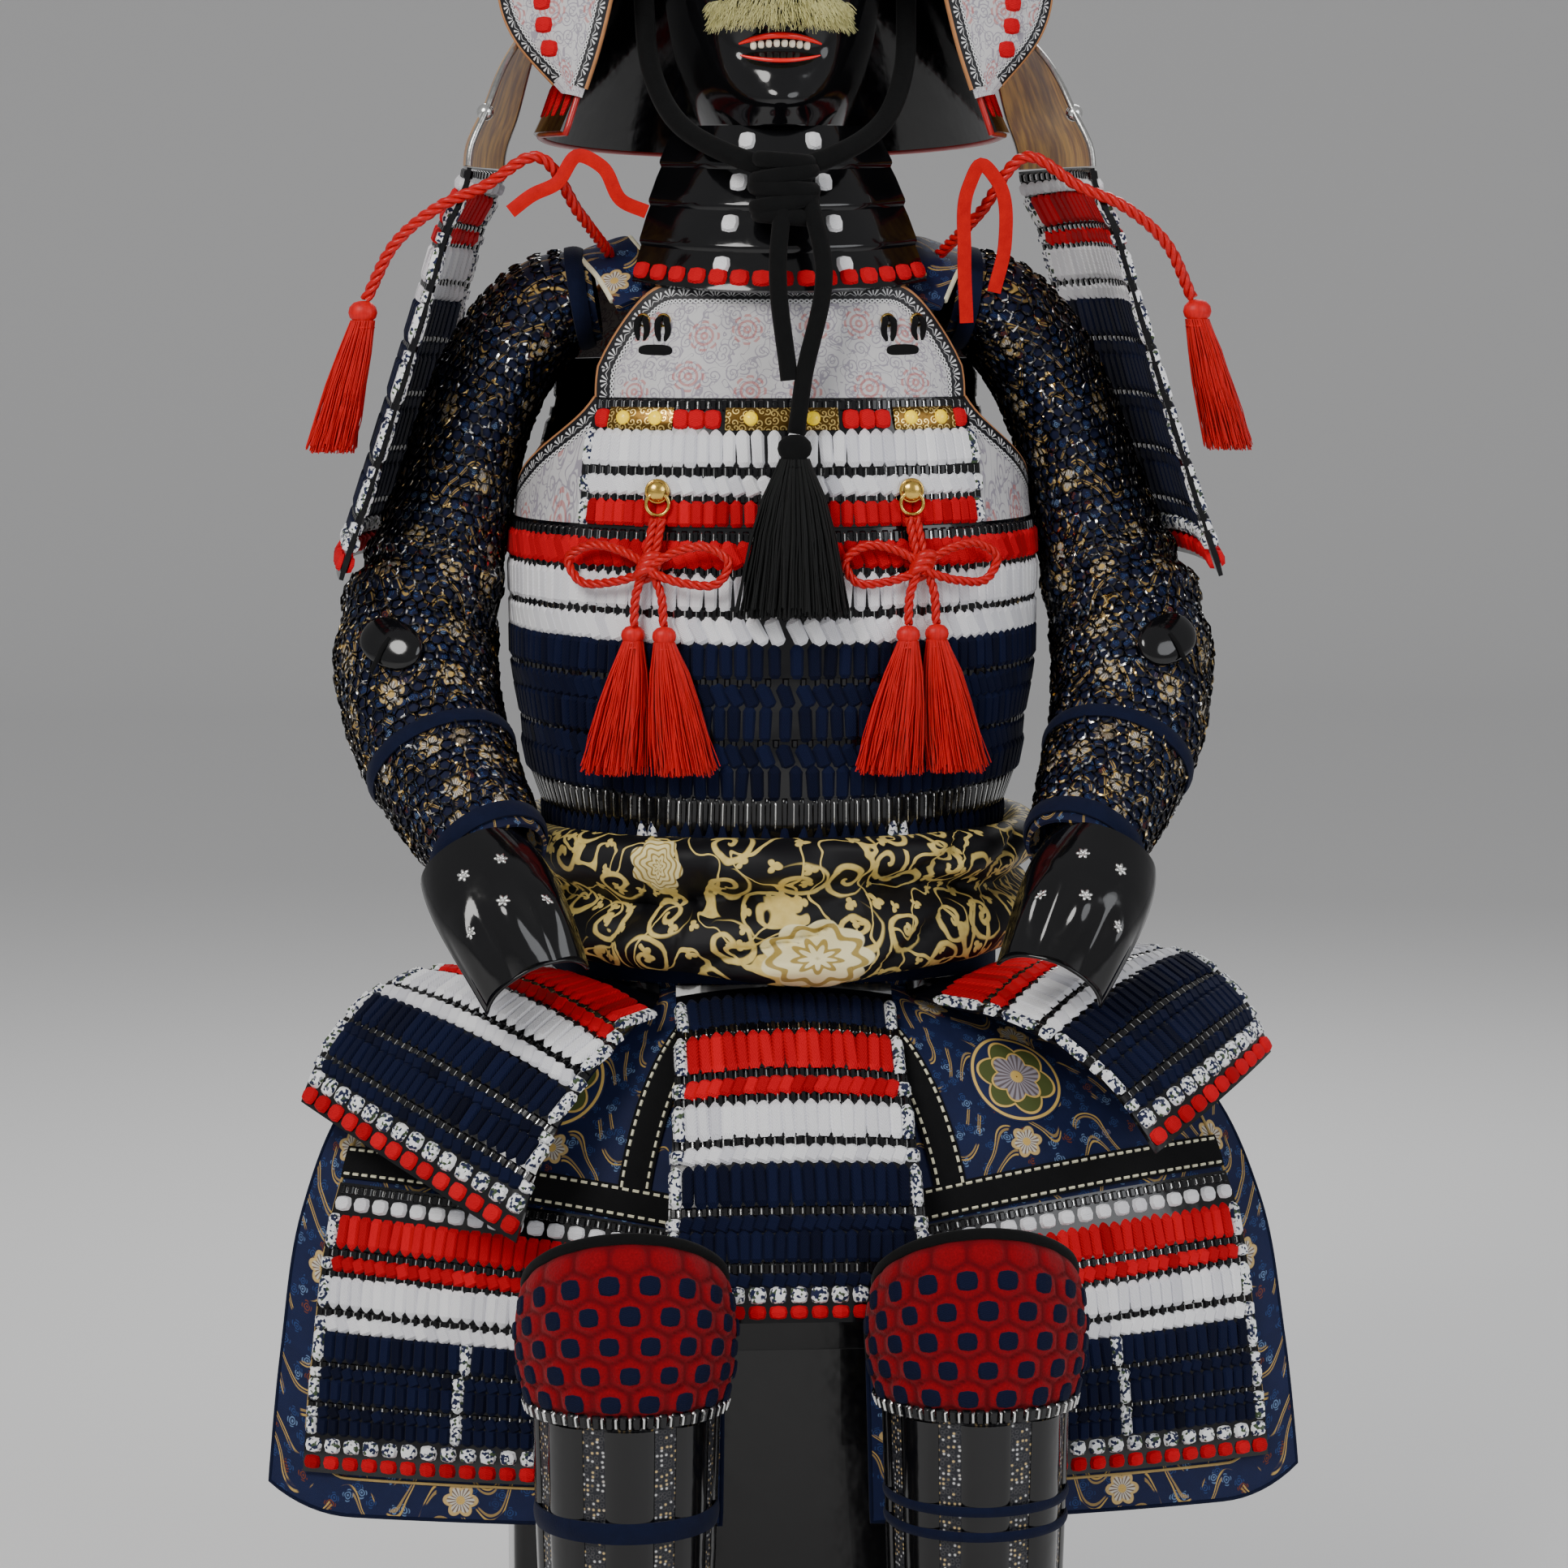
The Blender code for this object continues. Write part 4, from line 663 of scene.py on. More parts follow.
BELT_BOTTOM = 0.590
WAIST = (
    # height, outside and inside of the wall measured out from the torso
    (WAIST_TOP - GAP, 0.0035, 0.0010),
    (0.655, 0.0022, -0.0003),
    (0.606, 0.0030, -0.0060),
    (BELT_BOTTOM, 0.0030, -0.0066),
)

SASH = (
    # out from the torso and height of a section: two rolls, one above the other
    (0.0050, 0.690), (0.0220, 0.700), (0.0400, 0.694), (0.0460, 0.675), (0.0360, 0.655),
    (0.0430, 0.638), (0.0470, 0.621), (0.0370, 0.605), (0.0200, 0.600), (0.0036, 0.612),
)
SASH_MIDDLE = 0.652
SASH_INSIDE = 0.0036

TASSETS = {
    # rows of inner edge x, y, z, outer edge x, y, z, bow
    "tasset_front": (
        (-0.0780, -0.1182, 0.5880, 0.0780, -0.1182, 0.5880, 0.0100),
        (-0.0780, -0.1190, 0.5830, 0.0780, -0.1190, 0.5830, 0.0100),
        (-0.0790, -0.1400, 0.5700, 0.0790, -0.1400, 0.5700, 0.0100),
        (-0.0820, -0.1840, 0.5400, 0.0820, -0.1840, 0.5400, 0.0100),
        (-0.0860, -0.2260, 0.4940, 0.0860, -0.2260, 0.4940, 0.0090),
        (-0.0910, -0.2560, 0.4380, 0.0910, -0.2560, 0.4380, 0.0080),
        (-0.0960, -0.2700, 0.3700, 0.0960, -0.2700, 0.3700, 0.0080),
    ),
    "tasset_front_left": (
        (0.0900, -0.1145, 0.5886, 0.1500, -0.0665, 0.5886, 0.0060),
        (0.0900, -0.1155, 0.5830, 0.1510, -0.0670, 0.5830, 0.0060),
        (0.0980, -0.1500, 0.5740, 0.1920, -0.0680, 0.5880, 0.0100),
        (0.1220, -0.1960, 0.5600, 0.2500, -0.0860, 0.5940, 0.0130),
        (0.1520, -0.2320, 0.5300, 0.2980, -0.1060, 0.5820, 0.0140),
        (0.1790, -0.2570, 0.4860, 0.3290, -0.1240, 0.5520, 0.0130),
        (0.1980, -0.2720, 0.4300, 0.3500, -0.1400, 0.5080, 0.0120),
    ),
    "tasset_front_right": (
        (0.0900, -0.1145, 0.5886, 0.1500, -0.0665, 0.5886, 0.0060),
        (0.0900, -0.1155, 0.5830, 0.1510, -0.0670, 0.5830, 0.0060),
        (0.1060, -0.1480, 0.5780, 0.1920, -0.0660, 0.5900, 0.0100),
        (0.1480, -0.1900, 0.5720, 0.2540, -0.0800, 0.6030, 0.0130),
        (0.1900, -0.2200, 0.5560, 0.3060, -0.0960, 0.5990, 0.0140),
        (0.2260, -0.2400, 0.5270, 0.3370, -0.1120, 0.5740, 0.0130),
        (0.2560, -0.2520, 0.4840, 0.3570, -0.1280, 0.5340, 0.0120),
    ),
    "tasset_hip": (
        (0.1590, -0.0460, 0.5893, 0.1530, 0.0580, 0.5893, 0.0080),
        (0.1590, -0.0460, 0.5830, 0.1530, 0.0580, 0.5830, 0.0080),
        (0.1860, -0.0500, 0.5700, 0.1760, 0.0640, 0.5680, 0.0080),
        (0.2280, -0.0560, 0.5280, 0.2140, 0.0760, 0.5240, 0.0090),
        (0.2560, -0.0600, 0.4760, 0.2420, 0.0860, 0.4700, 0.0090),
        (0.2740, -0.0620, 0.4220, 0.2600, 0.0920, 0.4140, 0.0080),
        (0.2840, -0.0640, 0.3660, 0.2700, 0.0960, 0.3560, 0.0080),
    ),
    "tasset_back": (
        (0.1500, 0.0665, 0.5886, 0.0100, 0.1280, 0.5886, 0.0170),
        (0.1500, 0.0670, 0.5830, 0.0100, 0.1285, 0.5830, 0.0170),
        (0.1660, 0.0920, 0.5700, 0.0100, 0.1480, 0.5680, 0.0140),
        (0.1820, 0.1400, 0.5280, 0.0100, 0.1820, 0.5260, 0.0100),
        (0.1920, 0.1780, 0.4760, 0.0100, 0.2080, 0.4740, 0.0090),
        (0.2000, 0.2020, 0.4220, 0.0100, 0.2220, 0.4200, 0.0080),
        (0.2060, 0.2180, 0.3660, 0.0100, 0.2300, 0.3640, 0.0080),
    ),
}

THIGH_APRON = (
    # inner edge x, y, z       outer edge x, y, z        bow
    (0.0120, -0.1215, 0.5886, 0.1380, -0.0690, 0.5886, 0.0140),
    (0.0120, -0.1220, 0.5830, 0.1380, -0.0690, 0.5830, 0.0140),
    (0.0180, -0.1430, 0.5580, 0.1900, -0.0660, 0.5680, 0.0160),
    (0.0320, -0.1820, 0.5180, 0.2620, -0.0720, 0.5540, 0.0220),
    (0.0440, -0.2100, 0.4640, 0.3200, -0.1020, 0.4980, 0.0240),
    (0.0500, -0.2300, 0.4040, 0.3500, -0.1300, 0.4280, 0.0220),
    (0.0520, -0.2430, 0.3200, 0.3660, -0.1480, 0.3300, 0.0200),
    (0.0540, -0.2510, 0.2200, 0.3780, -0.1580, 0.2120, 0.0180),
)
CORNER_FROM = 0.80      # share of the width where the rounding of the apron's outer corner begins
CORNER_CUT = 0.045
LAME_FIELD = (0.12, 0.915, 0.500, 0.935)  # inner, outer, top and bottom shares of the apron

LEG_X = 0.123
LEG_Y = -0.400
SHIN_TOP = 0.322
KNEE_TOP = 0.450
SHIN_TABLE = (
    # height, half width, half depth
    (0.322, 0.060, 0.066),
    (0.200, 0.056, 0.060),
    (0.060, 0.046, 0.052),
    (0.000, 0.047, 0.054),
)
SPLINTS = 5

SLEEVE = (
    # x, y, z, half width, half depth
    (0.1480, 0.012, 1.0880, 0.030, 0.044),
    (0.1790, 0.014, 1.0820, 0.035, 0.052),
    (0.2080, 0.016, 1.0540, 0.037, 0.057),
    (0.2350, 0.012, 1.0030, 0.037, 0.059),
    (0.2530, 0.004, 0.9450, 0.040, 0.060),
    (0.2700, -0.008, 0.8850, 0.047, 0.062),
    (0.2830, -0.030, 0.8360, 0.055, 0.058),
    (0.2780, -0.068, 0.7820, 0.054, 0.052),
    (0.2600, -0.108, 0.7400, 0.049, 0.046),
    (0.2410, -0.146, 0.7080, 0.042, 0.039),
    (0.2260, -0.172, 0.6870, 0.0365, 0.033),
)

HAND_FROM = Vector((0.225, -0.178, 0.684))
HAND_TO = Vector((0.184, -0.250, 0.618))
HAND_ACROSS = Vector((0.90, -0.18, -0.36))

SHOULDER_GUARD = (
    # front edge x, y, z       back edge x, y, z        bow
    (0.2235, -0.094, 1.1812, 0.1970, 0.122, 1.1812, 0.012),
    (0.2245, -0.094, 1.1740, 0.1980, 0.122, 1.1740, 0.012),
    (0.2380, -0.102, 1.1400, 0.2120, 0.130, 1.1400, 0.014),
    (0.2560, -0.108, 1.0800, 0.2280, 0.136, 1.0800, 0.016),
    (0.2870, -0.111, 0.9800, 0.2520, 0.138, 0.9820, 0.018),
    (0.3180, -0.110, 0.8860, 0.2780, 0.138, 0.8920, 0.018),
)
TOP_PLATE = (
    # front edge x, y, z       back edge x, y, z        bow
    (0.1830, -0.024, 1.2780, 0.1720, 0.100, 1.2780, 0.006),
    (0.1970, -0.058, 1.2560, 0.1780, 0.114, 1.2560, 0.008),
    (0.2110, -0.084, 1.2220, 0.1870, 0.122, 1.2220, 0.010),
    (0.2235, -0.094, 1.1904, 0.1970, 0.122, 1.1904, 0.012),
    (0.2240, -0.094, 1.1828, 0.1975, 0.122, 1.1828, 0.012),
)

CHIN_CORD = 0.015
CHEST_CORD = 0.0070
SHOULDER_CORD = 0.0090
CHEEK_ROUTE = (
    (0.0960, -0.040, 1.345), (0.0960, -0.052, 1.295), (0.0920, -0.074, 1.252), (0.0740, -0.104, 1.214),
    (0.0360, -0.134, 1.190), (0.0060, -0.142, 1.180),
)
CHIN_KNOT = Vector((0.0, -0.142, 1.166))
CHIN_FRONT = -0.167     # the foremost middle line of the hanging ends
CHIN_ENDS = (
    ((-0.001, -0.150, 1.160), (-0.006, -0.163, 1.110), (0.002, -0.166, 1.030)),
    ((0.018, -0.148, 1.158), (0.027, -0.163, 1.110), (0.012, -0.167, 1.030), (0.007, -0.166, 0.992)),
)
CHEST_RING = Vector((0.092, 0.0, 0.950))
BOW_KNOT = Vector((0.099, 0.0, 0.896))
BOW_TAIL = 0.0105
BOW_LOOP = (
    # across and up from the knot
    (0.000, 0.001), (0.020, 0.012), (0.042, 0.015), (0.057, 0.004), (0.050, -0.010), (0.026, -0.011),
    (0.000, -0.003),
)
SHOULDER_ROUTE = (
    (0.122, -0.034, 1.128), (0.146, -0.086, 1.158), (0.178, -0.112, 1.198), (0.216, -0.114, 1.176),
    (0.244, -0.118, 1.164), (0.277, -0.112, 1.138), (0.300, -0.100, 1.096),
)
RIBBONS = {
    # the right one hangs doubled over at its top, the left one lies spread over the shoulder
    1: ((0.1340, -0.120, 1.070), (0.1320, -0.122, 1.120), (0.1350, -0.122, 1.168), (0.1440, -0.122, 1.184),
        (0.1560, -0.120, 1.172), (0.1620, -0.118, 1.128), (0.1540, -0.118, 1.092)),
    -1: ((0.098, -0.112, 1.150), (0.116, -0.114, 1.158), (0.130, -0.114, 1.182), (0.147, -0.113, 1.190),
         (0.163, -0.112, 1.170), (0.180, -0.112, 1.162), (0.196, -0.112, 1.150)),
}


def torso_sizes(z: float) -> tuple[float, float, float]:
    """Half width, half depth and middle y of the torso at that height.

    Args:
        z: the height.

    Returns:
        The three sizes.
    """
    if z <= TORSO[0][0]:
        return TORSO[0][1:]
    for low, high in zip(TORSO, TORSO[1:]):
        if z <= high[0]:
            f = (z - low[0]) / (high[0] - low[0])
            f = f * f * (3 - 2 * f)
            return tuple(a + (b - a) * f for a, b in zip(low[1:], high[1:]))
    return TORSO[-1][1:]


def torso_surface(x: float, z: float, out: float = 0.0) -> float:
    """The depth of the torso's front at a place across and a height."""
    half_width, half_depth, middle = torso_sizes(z)
    s = min(1.0, abs(x) / (half_width + out)) ** (1 / TORSO_SQUARE)
    return middle - (half_depth + out) * math.sqrt(1 - s * s) ** TORSO_SQUARE


def torso_point(degrees: float, z: float, out: float = 0.0) -> Vector:
    """A point round the torso. 0 degrees is the front, 90 is +X; out moves it off the body.

    Args:
        degrees: the turn from the front.
        z: the height.
        out: how far off the form, in metres.

    Returns:
        The point.
    """
    half_width, half_depth, middle = torso_sizes(z)
    s, c = math.sin(math.radians(degrees)), math.cos(math.radians(degrees))
    x = math.copysign(abs(s) ** TORSO_SQUARE, s) * (half_width + out)
    y = middle - math.copysign(abs(c) ** TORSO_SQUARE, c) * (half_depth + out)
    return Vector((x, y, z))


def dipped(degrees: float, z: float, amount: float = FRONT_DIP) -> float:
    """Lowers a height at the front of the body and leaves it at the back."""
    c = max(0.0, math.cos(math.radians(degrees)))
    return z - amount * c * c


def collar_edge(degrees: float) -> float:
    """The top edge of the chest plate: level, with round corners."""
    past = max(0.0, (abs(degrees) - 24) / (CHEST_SPREAD - 24))
    return COLLAR_TOP - 0.060 * past ** 2.6


def armhole_edge(degrees: float) -> float:
    """The top edge of a side plate, hollowed under the arm."""
    a = abs(degrees)
    f = min(max((a - 48) / 42, 0.0), 1.0)
    return CHEST_TOP - 0.068 * f ** 0.7 + 0.030 * max(0.0, (a - 98) / 20) ** 1.5


def back_edge(degrees: float) -> float:
    """The top edge of the back plate."""
    past = max(0.0, (abs(180 - degrees) - 20) / 44)
    return max(1.122 - 0.058 * past ** 2.2, BACK_LAMES_TOP + 0.008)


def sash_point(degrees: float, out: float, z: float) -> Vector:
    """A point of the sash: fuller in front, fullest at the knot, higher at the sides.

    Args:
        degrees: the turn from the front.
        out: how far off the form, in metres.
        z: the height.

    Returns:
        The point.
    """
    turn = (degrees + 180) % 360 - 180
    knot = math.exp(-((turn - 4) / 13) ** 2)
    forward = max(0.0, math.cos(math.radians(degrees)))
    fullness = 0.70 + 0.30 * forward + (0.28 if z < SASH_MIDDLE else 0.06) * knot
    level = SASH_MIDDLE + (z - SASH_MIDDLE) * (0.84 + 0.16 * forward)
    level += 0.012 * (1 - forward) - (0.008 * knot if z < SASH_MIDDLE else 0.0)
    return torso_point(degrees, level, SASH_INSIDE + (out - SASH_INSIDE) * fullness)


def bowl_point(degrees: float, lift: float, out: float = 0.0) -> Vector:
    """A point of the helmet bowl. lift is 0 at the rim and 90 degrees at the crown."""
    a, e = math.radians(degrees), math.radians(lift)
    radii = [r + out for r in BOWL_RADII]
    return BOWL_CENTRE + Vector((math.sin(a) * math.cos(e) * radii[0], -math.cos(a) * math.cos(e) * radii[1],
                                 math.sin(e) * radii[2]))


def neck_guard_point(degrees: float, share: float, out: float = 0.0) -> Vector:
    """A point of the flared neck guard. share is 0 at the helmet rim and 1 at the lowest edge.

    Args:
        degrees: the turn from the front.
        share: how far along, from 0 to 1.
        out: how far off the form, in metres.

    Returns:
        The point.
    """
    a = math.radians(degrees)
    half_width = 0.1137 + 0.057 * share ** 1.15 + out
    half_depth = 0.1337 + 0.057 * share ** 1.15 + out
    back = max(0.0, -math.cos(a))
    z = 1.386 - 0.180 * share - 0.012 * back * share
    return Vector((math.sin(a) * half_width, BOWL_CENTRE.y - math.cos(a) * half_depth, z))


def mask_relief(degrees: float, z: float) -> float:
    """How far the nose, the upper lip and the chin stand out, and the mouth goes in.

    Args:
        degrees: the turn from the front.
        z: the height.

    Returns:
        The height of the relief.
    """
    nose = 0.030 * math.exp(-(degrees / 9.5) ** 2) * math.exp(-((z - 1.318) / 0.022) ** 2)
    lip = 0.009 * math.exp(-(degrees / 30) ** 4) * math.exp(-((z - 1.2925) / 0.009) ** 2)
    mouth = -0.010 * math.exp(-(degrees / 23) ** 4) * math.exp(-((z - 1.2665) / 0.009) ** 2)
    chin = 0.008 * math.exp(-(degrees / 20) ** 2) * math.exp(-((z - 1.230) / 0.012) ** 2)
    cheek = 0.004 * math.exp(-((abs(degrees) - 42) / 16) ** 2) * math.exp(-((z - 1.312) / 0.020) ** 2)
    return nose + lip + mouth + chin + cheek


def mask_point(degrees: float, z: float, out: float = 0.0) -> Vector:
    """A point on the half mask, 0 degrees at the nose."""
    half_width, half_depth, _ = MASK_LINE.at((MASK_TOP - z) / (MASK_TOP - MASK_CHIN))
    a = math.radians(degrees)
    grow = mask_relief(degrees, z) + out
    return Vector((math.sin(a) * (half_width + grow * 0.6), MASK_Y - math.cos(a) * (half_depth + grow), z))


def throat_point(u: float, share: float, out: float = 0.0) -> Vector:
    """A point of the throat guard. u runs from -1 to 1 across it, share from the chin down.

    Args:
        u: the place across.
        share: how far along, from 0 to 1.
        out: how far off the form, in metres.

    Returns:
        The point.
    """
    a = math.radians(u * (64 - 14 * share))
    half_width = 0.080 + 0.056 * share + out
    half_depth = 0.094 + 0.046 * share + out
    z = MASK_CHIN - GAP - 0.120 * share + 0.018 * (1 - math.cos(a)) * share
    return Vector((math.sin(a) * half_width, -math.cos(a) * half_depth + 0.004, z))


def leg_point(side: int, degrees: float, z: float, half_width: float, half_depth: float,
              out: float) -> Vector:
    """A point round a leg, 0 degrees at the shin."""
    a = math.radians(degrees)
    return Vector((side * LEG_X + math.sin(a) * (half_width + out),
                   LEG_Y - math.cos(a) * (half_depth + out), z))


def knee_point(side: int, degrees: float, share: float, out: float = 0.0) -> Vector:
    """A point on the inside of a knee guard, share running from its arched top down.

    Args:
        side: 1 for the side at +X, -1 for the other.
        degrees: the turn from the front.
        share: how far along, from 0 to 1.
        out: how far off the form, in metres.

    Returns:
        The point.
    """
    a = math.radians(degrees)
    top = KNEE_TOP - 0.045 * (1 - math.cos(a))
    z = top + (SHIN_TOP + GAP - top) * share
    swell = 0.004 + 0.012 * math.sin(math.pi * min(1.0, 0.18 + share * 0.72))
    p = leg_point(side, degrees, z, 0.056, 0.056, swell) + Vector((0, 0.010 * (1 - share) ** 2, 0))
    return p + Vector((math.sin(a), -math.cos(a), 0)) * out


def sleeve_folds(angle: float, share: float) -> float:
    """Slack cloth bunched at the elbow."""
    elbow = math.exp(-((share - 0.50) / 0.09) ** 2)
    return 0.0035 * elbow * math.sin(share * 95) * (0.6 + 0.4 * math.cos(angle))


def hand_point(side: int, u: float, share: float, out: float = 0.0) -> Vector:
    """A point of the hand plate. u runs from -1 to 1 across it, share from the wrist to the knuckles.

    Args:
        side: 1 for the side at +X, -1 for the other.
        u: the place across.
        share: how far along, from 0 to 1.
        out: how far off the form, in metres.

    Returns:
        The point.
    """
    ahead = (HAND_TO - HAND_FROM).normalized()
    across = (HAND_ACROSS - ahead * HAND_ACROSS.dot(ahead)).normalized()
    up = ahead.cross(across).normalized()
    a = u * math.radians(84)
    half = 0.038 + 0.006 * math.sin(math.pi * share ** 0.8) + out
    knuckle = 0.003 * math.cos(u * math.pi * 3.5) * math.exp(-((share - 0.72) / 0.18) ** 2)
    rise = math.cos(a) * (0.030 + out + knuckle) + 0.004 - 0.032 * share ** 3
    p = HAND_FROM.lerp(HAND_TO, share) + across * math.sin(a) * half + up * rise
    return Vector((p.x * side, p.y, p.z))


MASK_LINE = Spline(MASK_TABLE, lambda row: Vector((0, 0, row[2])))
MASK_Y = 0.004


# Geometry Nodes

class Tree:
    """A Geometry Nodes tree with named inputs, run once on an object of points or edges."""

    def __init__(self, name: str) -> None:
        """Starts a tree whose first input is the geometry.

        Args:
            name: the tree's name.
        """
        self.group = bpy.data.node_groups.new(name, "GeometryNodeTree")
        self.group.is_modifier = True
        self.group.interface.new_socket("Geometry", in_out="OUTPUT", socket_type="NodeSocketGeometry")
        self.group.interface.new_socket("Geometry", in_out="INPUT", socket_type="NodeSocketGeometry")
        self.entry = self.group.nodes.new("NodeGroupInput")
        self.exit = self.group.nodes.new("NodeGroupOutput")

    def input(self, name: str, kind: str, value: object = None) -> Socket:
        """Adds a named input.

        Args:
            name: the name that a maker sees.
            kind: the ending of the socket's type, such as Float or Object.
            value: what it holds where nothing is given.

        Returns:
            The socket to link from.
        """
        item = self.group.interface.new_socket(name, in_out="INPUT", socket_type="NodeSocket" + kind)
        if value is not None:
            item.default_value = value
        return self.entry.outputs[name]

    def node(self, kind: str, values: dict | None = None, **settings: object) -> bpy.types.Node:
        """Adds a node.

        Args:
            kind: the node's type.
            values: a value or a socket for each input, by name or number.
            settings: the node's own properties.

        Returns:
            The node.
        """
        made = self.group.nodes.new(kind)
        for key, value in settings.items():
            setattr(made, key, value)
        for key, value in (values or {}).items():
            target = made.inputs[key]
            if isinstance(value, bpy.types.NodeSocket):
                self.group.links.new(value, target)
            else:
                target.default_value = value
        return made

    def named(self, name: str, kind: str) -> Socket:
        """Reads an attribute of the points."""
        return self.node("GeometryNodeInputNamedAttribute", {"Name": name},
                         data_type=kind).outputs["Attribute"]

    def turned(self) -> bpy.types.Node:
        """The turn of each mark, so that it lies on its surface and along its row.

        Returns:
            The node.
        """
        return self.node("FunctionNodeAxesToRotation",
                         {"Primary Axis": self.named("face", "FLOAT_VECTOR"),
                          "Secondary Axis": self.named("across", "FLOAT_VECTOR")},
                         primary_axis="Z", secondary_axis="X")

    def chance(self, seed: Socket, amount: Socket) -> bpy.types.Node:
        """A random vector for each mark.

        Args:
            seed: the order of the random draws.
            amount: the most that it may be, each way.

        Returns:
            The node.
        """
        drawn = self.node("FunctionNodeRandomValue", {"Seed": seed}, data_type="FLOAT_VECTOR")
        drawn.inputs[0].default_value = (-1, -1, -1)
        drawn.inputs[1].default_value = (1, 1, 1)
        made = self.node("ShaderNodeVectorMath", {0: drawn.outputs[0]}, operation="SCALE")
        self.group.links.new(amount, made.inputs["Scale"])
        return made

    def end(self, geometry: Socket) -> None:
        """Joins the last geometry to the output."""
        self.group.links.new(geometry, self.exit.inputs[0])

    def run(self, name: str, base: bpy.types.Object, values: dict) -> bpy.types.Object:
        """Runs the tree and keeps its result as a plain mesh.

        Args:
            name: the new object's name.
            base: the object of points or edges, which is removed.
            values: a value for each named input that isn't left as it is.

        Returns:
            The new object.
        """
        modifier = base.modifiers.new("Form", "NODES")
        modifier.node_group = self.group
        for item in self.group.interface.items_tree:
            if item.item_type == "SOCKET" and item.in_out == "INPUT" and item.name in values:
                modifier[item.identifier] = values[item.name]
        graph = bpy.context.evaluated_depsgraph_get()
        mesh = bpy.data.meshes.new_from_object(base.evaluated_get(graph), depsgraph=graph)
        base.modifiers.clear()
        bpy.data.objects.remove(base)
        mesh.name = name
        made = bpy.data.objects.new(name, mesh)
        bpy.context.scene.collection.objects.link(made)
        mesh.shade_smooth()
        return made


def lacing_tree() -> Tree:
    """Lays cords, lame heads and cushions on points, each turned and sized by the point's own values.

    Returns:
        The tree.
    """
    tree = Tree("Lacing")
    shapes = [tree.input(name, "Object") for name in ("Cord", "Head", "Cushion")]
    finishes = [tree.input(dye.name.title(), "Material") for dye in Dye]
    jitter = tree.input("Size jitter", "Float", 0.05)
    seed = tree.input("Seed", "Int", SEED)
    turned = tree.turned()
    spread = tree.chance(seed, jitter)
    grown = tree.node("ShaderNodeVectorMath", {0: spread.outputs[0], 1: (1, 1, 1)}, operation="ADD")
    size = tree.node("ShaderNodeVectorMath", {0: grown.outputs[0], 1: tree.named("size", "FLOAT_VECTOR")},
                     operation="MULTIPLY")
    join = tree.node("GeometryNodeJoinGeometry")
    kind = tree.named("kind", "INT")
    for stitch, shape in zip(Stitch, shapes):
        source = tree.node("GeometryNodeObjectInfo", {"Object": shape})
        here = tree.node("FunctionNodeCompare", {2: kind, 3: int(stitch)}, data_type="INT",
                         operation="EQUAL")
        laid = tree.node("GeometryNodeInstanceOnPoints",
                         {"Points": tree.entry.outputs[0], "Selection": here.outputs[0],
                          "Instance": source.outputs["Geometry"], "Rotation": turned.outputs[0],
                          "Scale": size.outputs[0]})
        tree.group.links.new(laid.outputs[0], join.inputs[0])
    shown = tree.node("GeometryNodeRealizeInstances", {0: join.outputs[0]}).outputs[0]
    dyed = tree.named("dye", "INT")
    for dye, finish in zip(Dye, finishes):
        here = tree.node("FunctionNodeCompare", {2: dyed, 3: int(dye)}, data_type="INT", operation="EQUAL")
        shown = tree.node("GeometryNodeSetMaterial",
                          {"Geometry": shown, "Selection": here.outputs[0], "Material": finish}).outputs[0]
    tree.end(shown)
    return tree


def sweep_tree() -> Tree:
    """Draws every line of a mesh of edges out into a thread of its own thickness.

    Returns:
        The tree.
    """
    tree = Tree("Threads")
    radius = tree.input("Radius", "Float", 0.001)
    sides = tree.input("Sides", "Int", 3)
    finish = tree.input("Finish", "Material")
    line = tree.node("GeometryNodeMeshToCurve", {"Mesh": tree.entry.outputs[0]})
    sized = tree.node("GeometryNodeSetCurveRadius",
                      {"Curve": line.outputs[0], "Radius": tree.named("thick", "FLOAT")})
    profile = tree.node("GeometryNodeCurvePrimitiveCircle", {"Resolution": sides, "Radius": radius})
    values = {"Curve": sized.outputs[0], "Profile Curve": profile.outputs["Curve"], "Fill Caps": True}
    swept = tree.node("GeometryNodeCurveToMesh", values)
    if "Scale" in swept.inputs:
        tree.group.links.new(tree.named("thick", "FLOAT"), swept.inputs["Scale"])
    real = tree.node("GeometryNodeRealizeInstances", {0: swept.outputs[0]})
    tree.end(tree.node("GeometryNodeSetMaterial",
                       {"Geometry": real.outputs[0], "Material": finish}).outputs[0])
    return tree


def mail_tree() -> Tree:
    """Lays a link of mail on each point, flat on the cloth and leaning over the next one.

    Returns:
        The tree.
    """
    tree = Tree("Mail")
    link = tree.input("Link", "Object")
    finish = tree.input("Finish", "Material")
    lean = tree.input("Lean", "Float", 0.35)
    seed = tree.input("Seed", "Int", SEED)
    turned = tree.turned()
    tilt = tree.chance(seed, lean)
    swung = tree.node("FunctionNodeRotateRotation", {0: turned.outputs[0], 1: tilt.outputs[0]},
                      rotation_space="LOCAL")
    source = tree.node("GeometryNodeObjectInfo", {"Object": link})
    laid = tree.node("GeometryNodeInstanceOnPoints",
                     {"Points": tree.entry.outputs[0], "Instance": source.outputs["Geometry"],
                      "Rotation": swung.outputs[0], "Scale": tree.named("size", "FLOAT_VECTOR")})
    real = tree.node("GeometryNodeRealizeInstances", {0: laid.outputs[0]})
    tree.end(tree.node("GeometryNodeSetMaterial",
                       {"Geometry": real.outputs[0], "Material": finish}).outputs[0])
    return tree


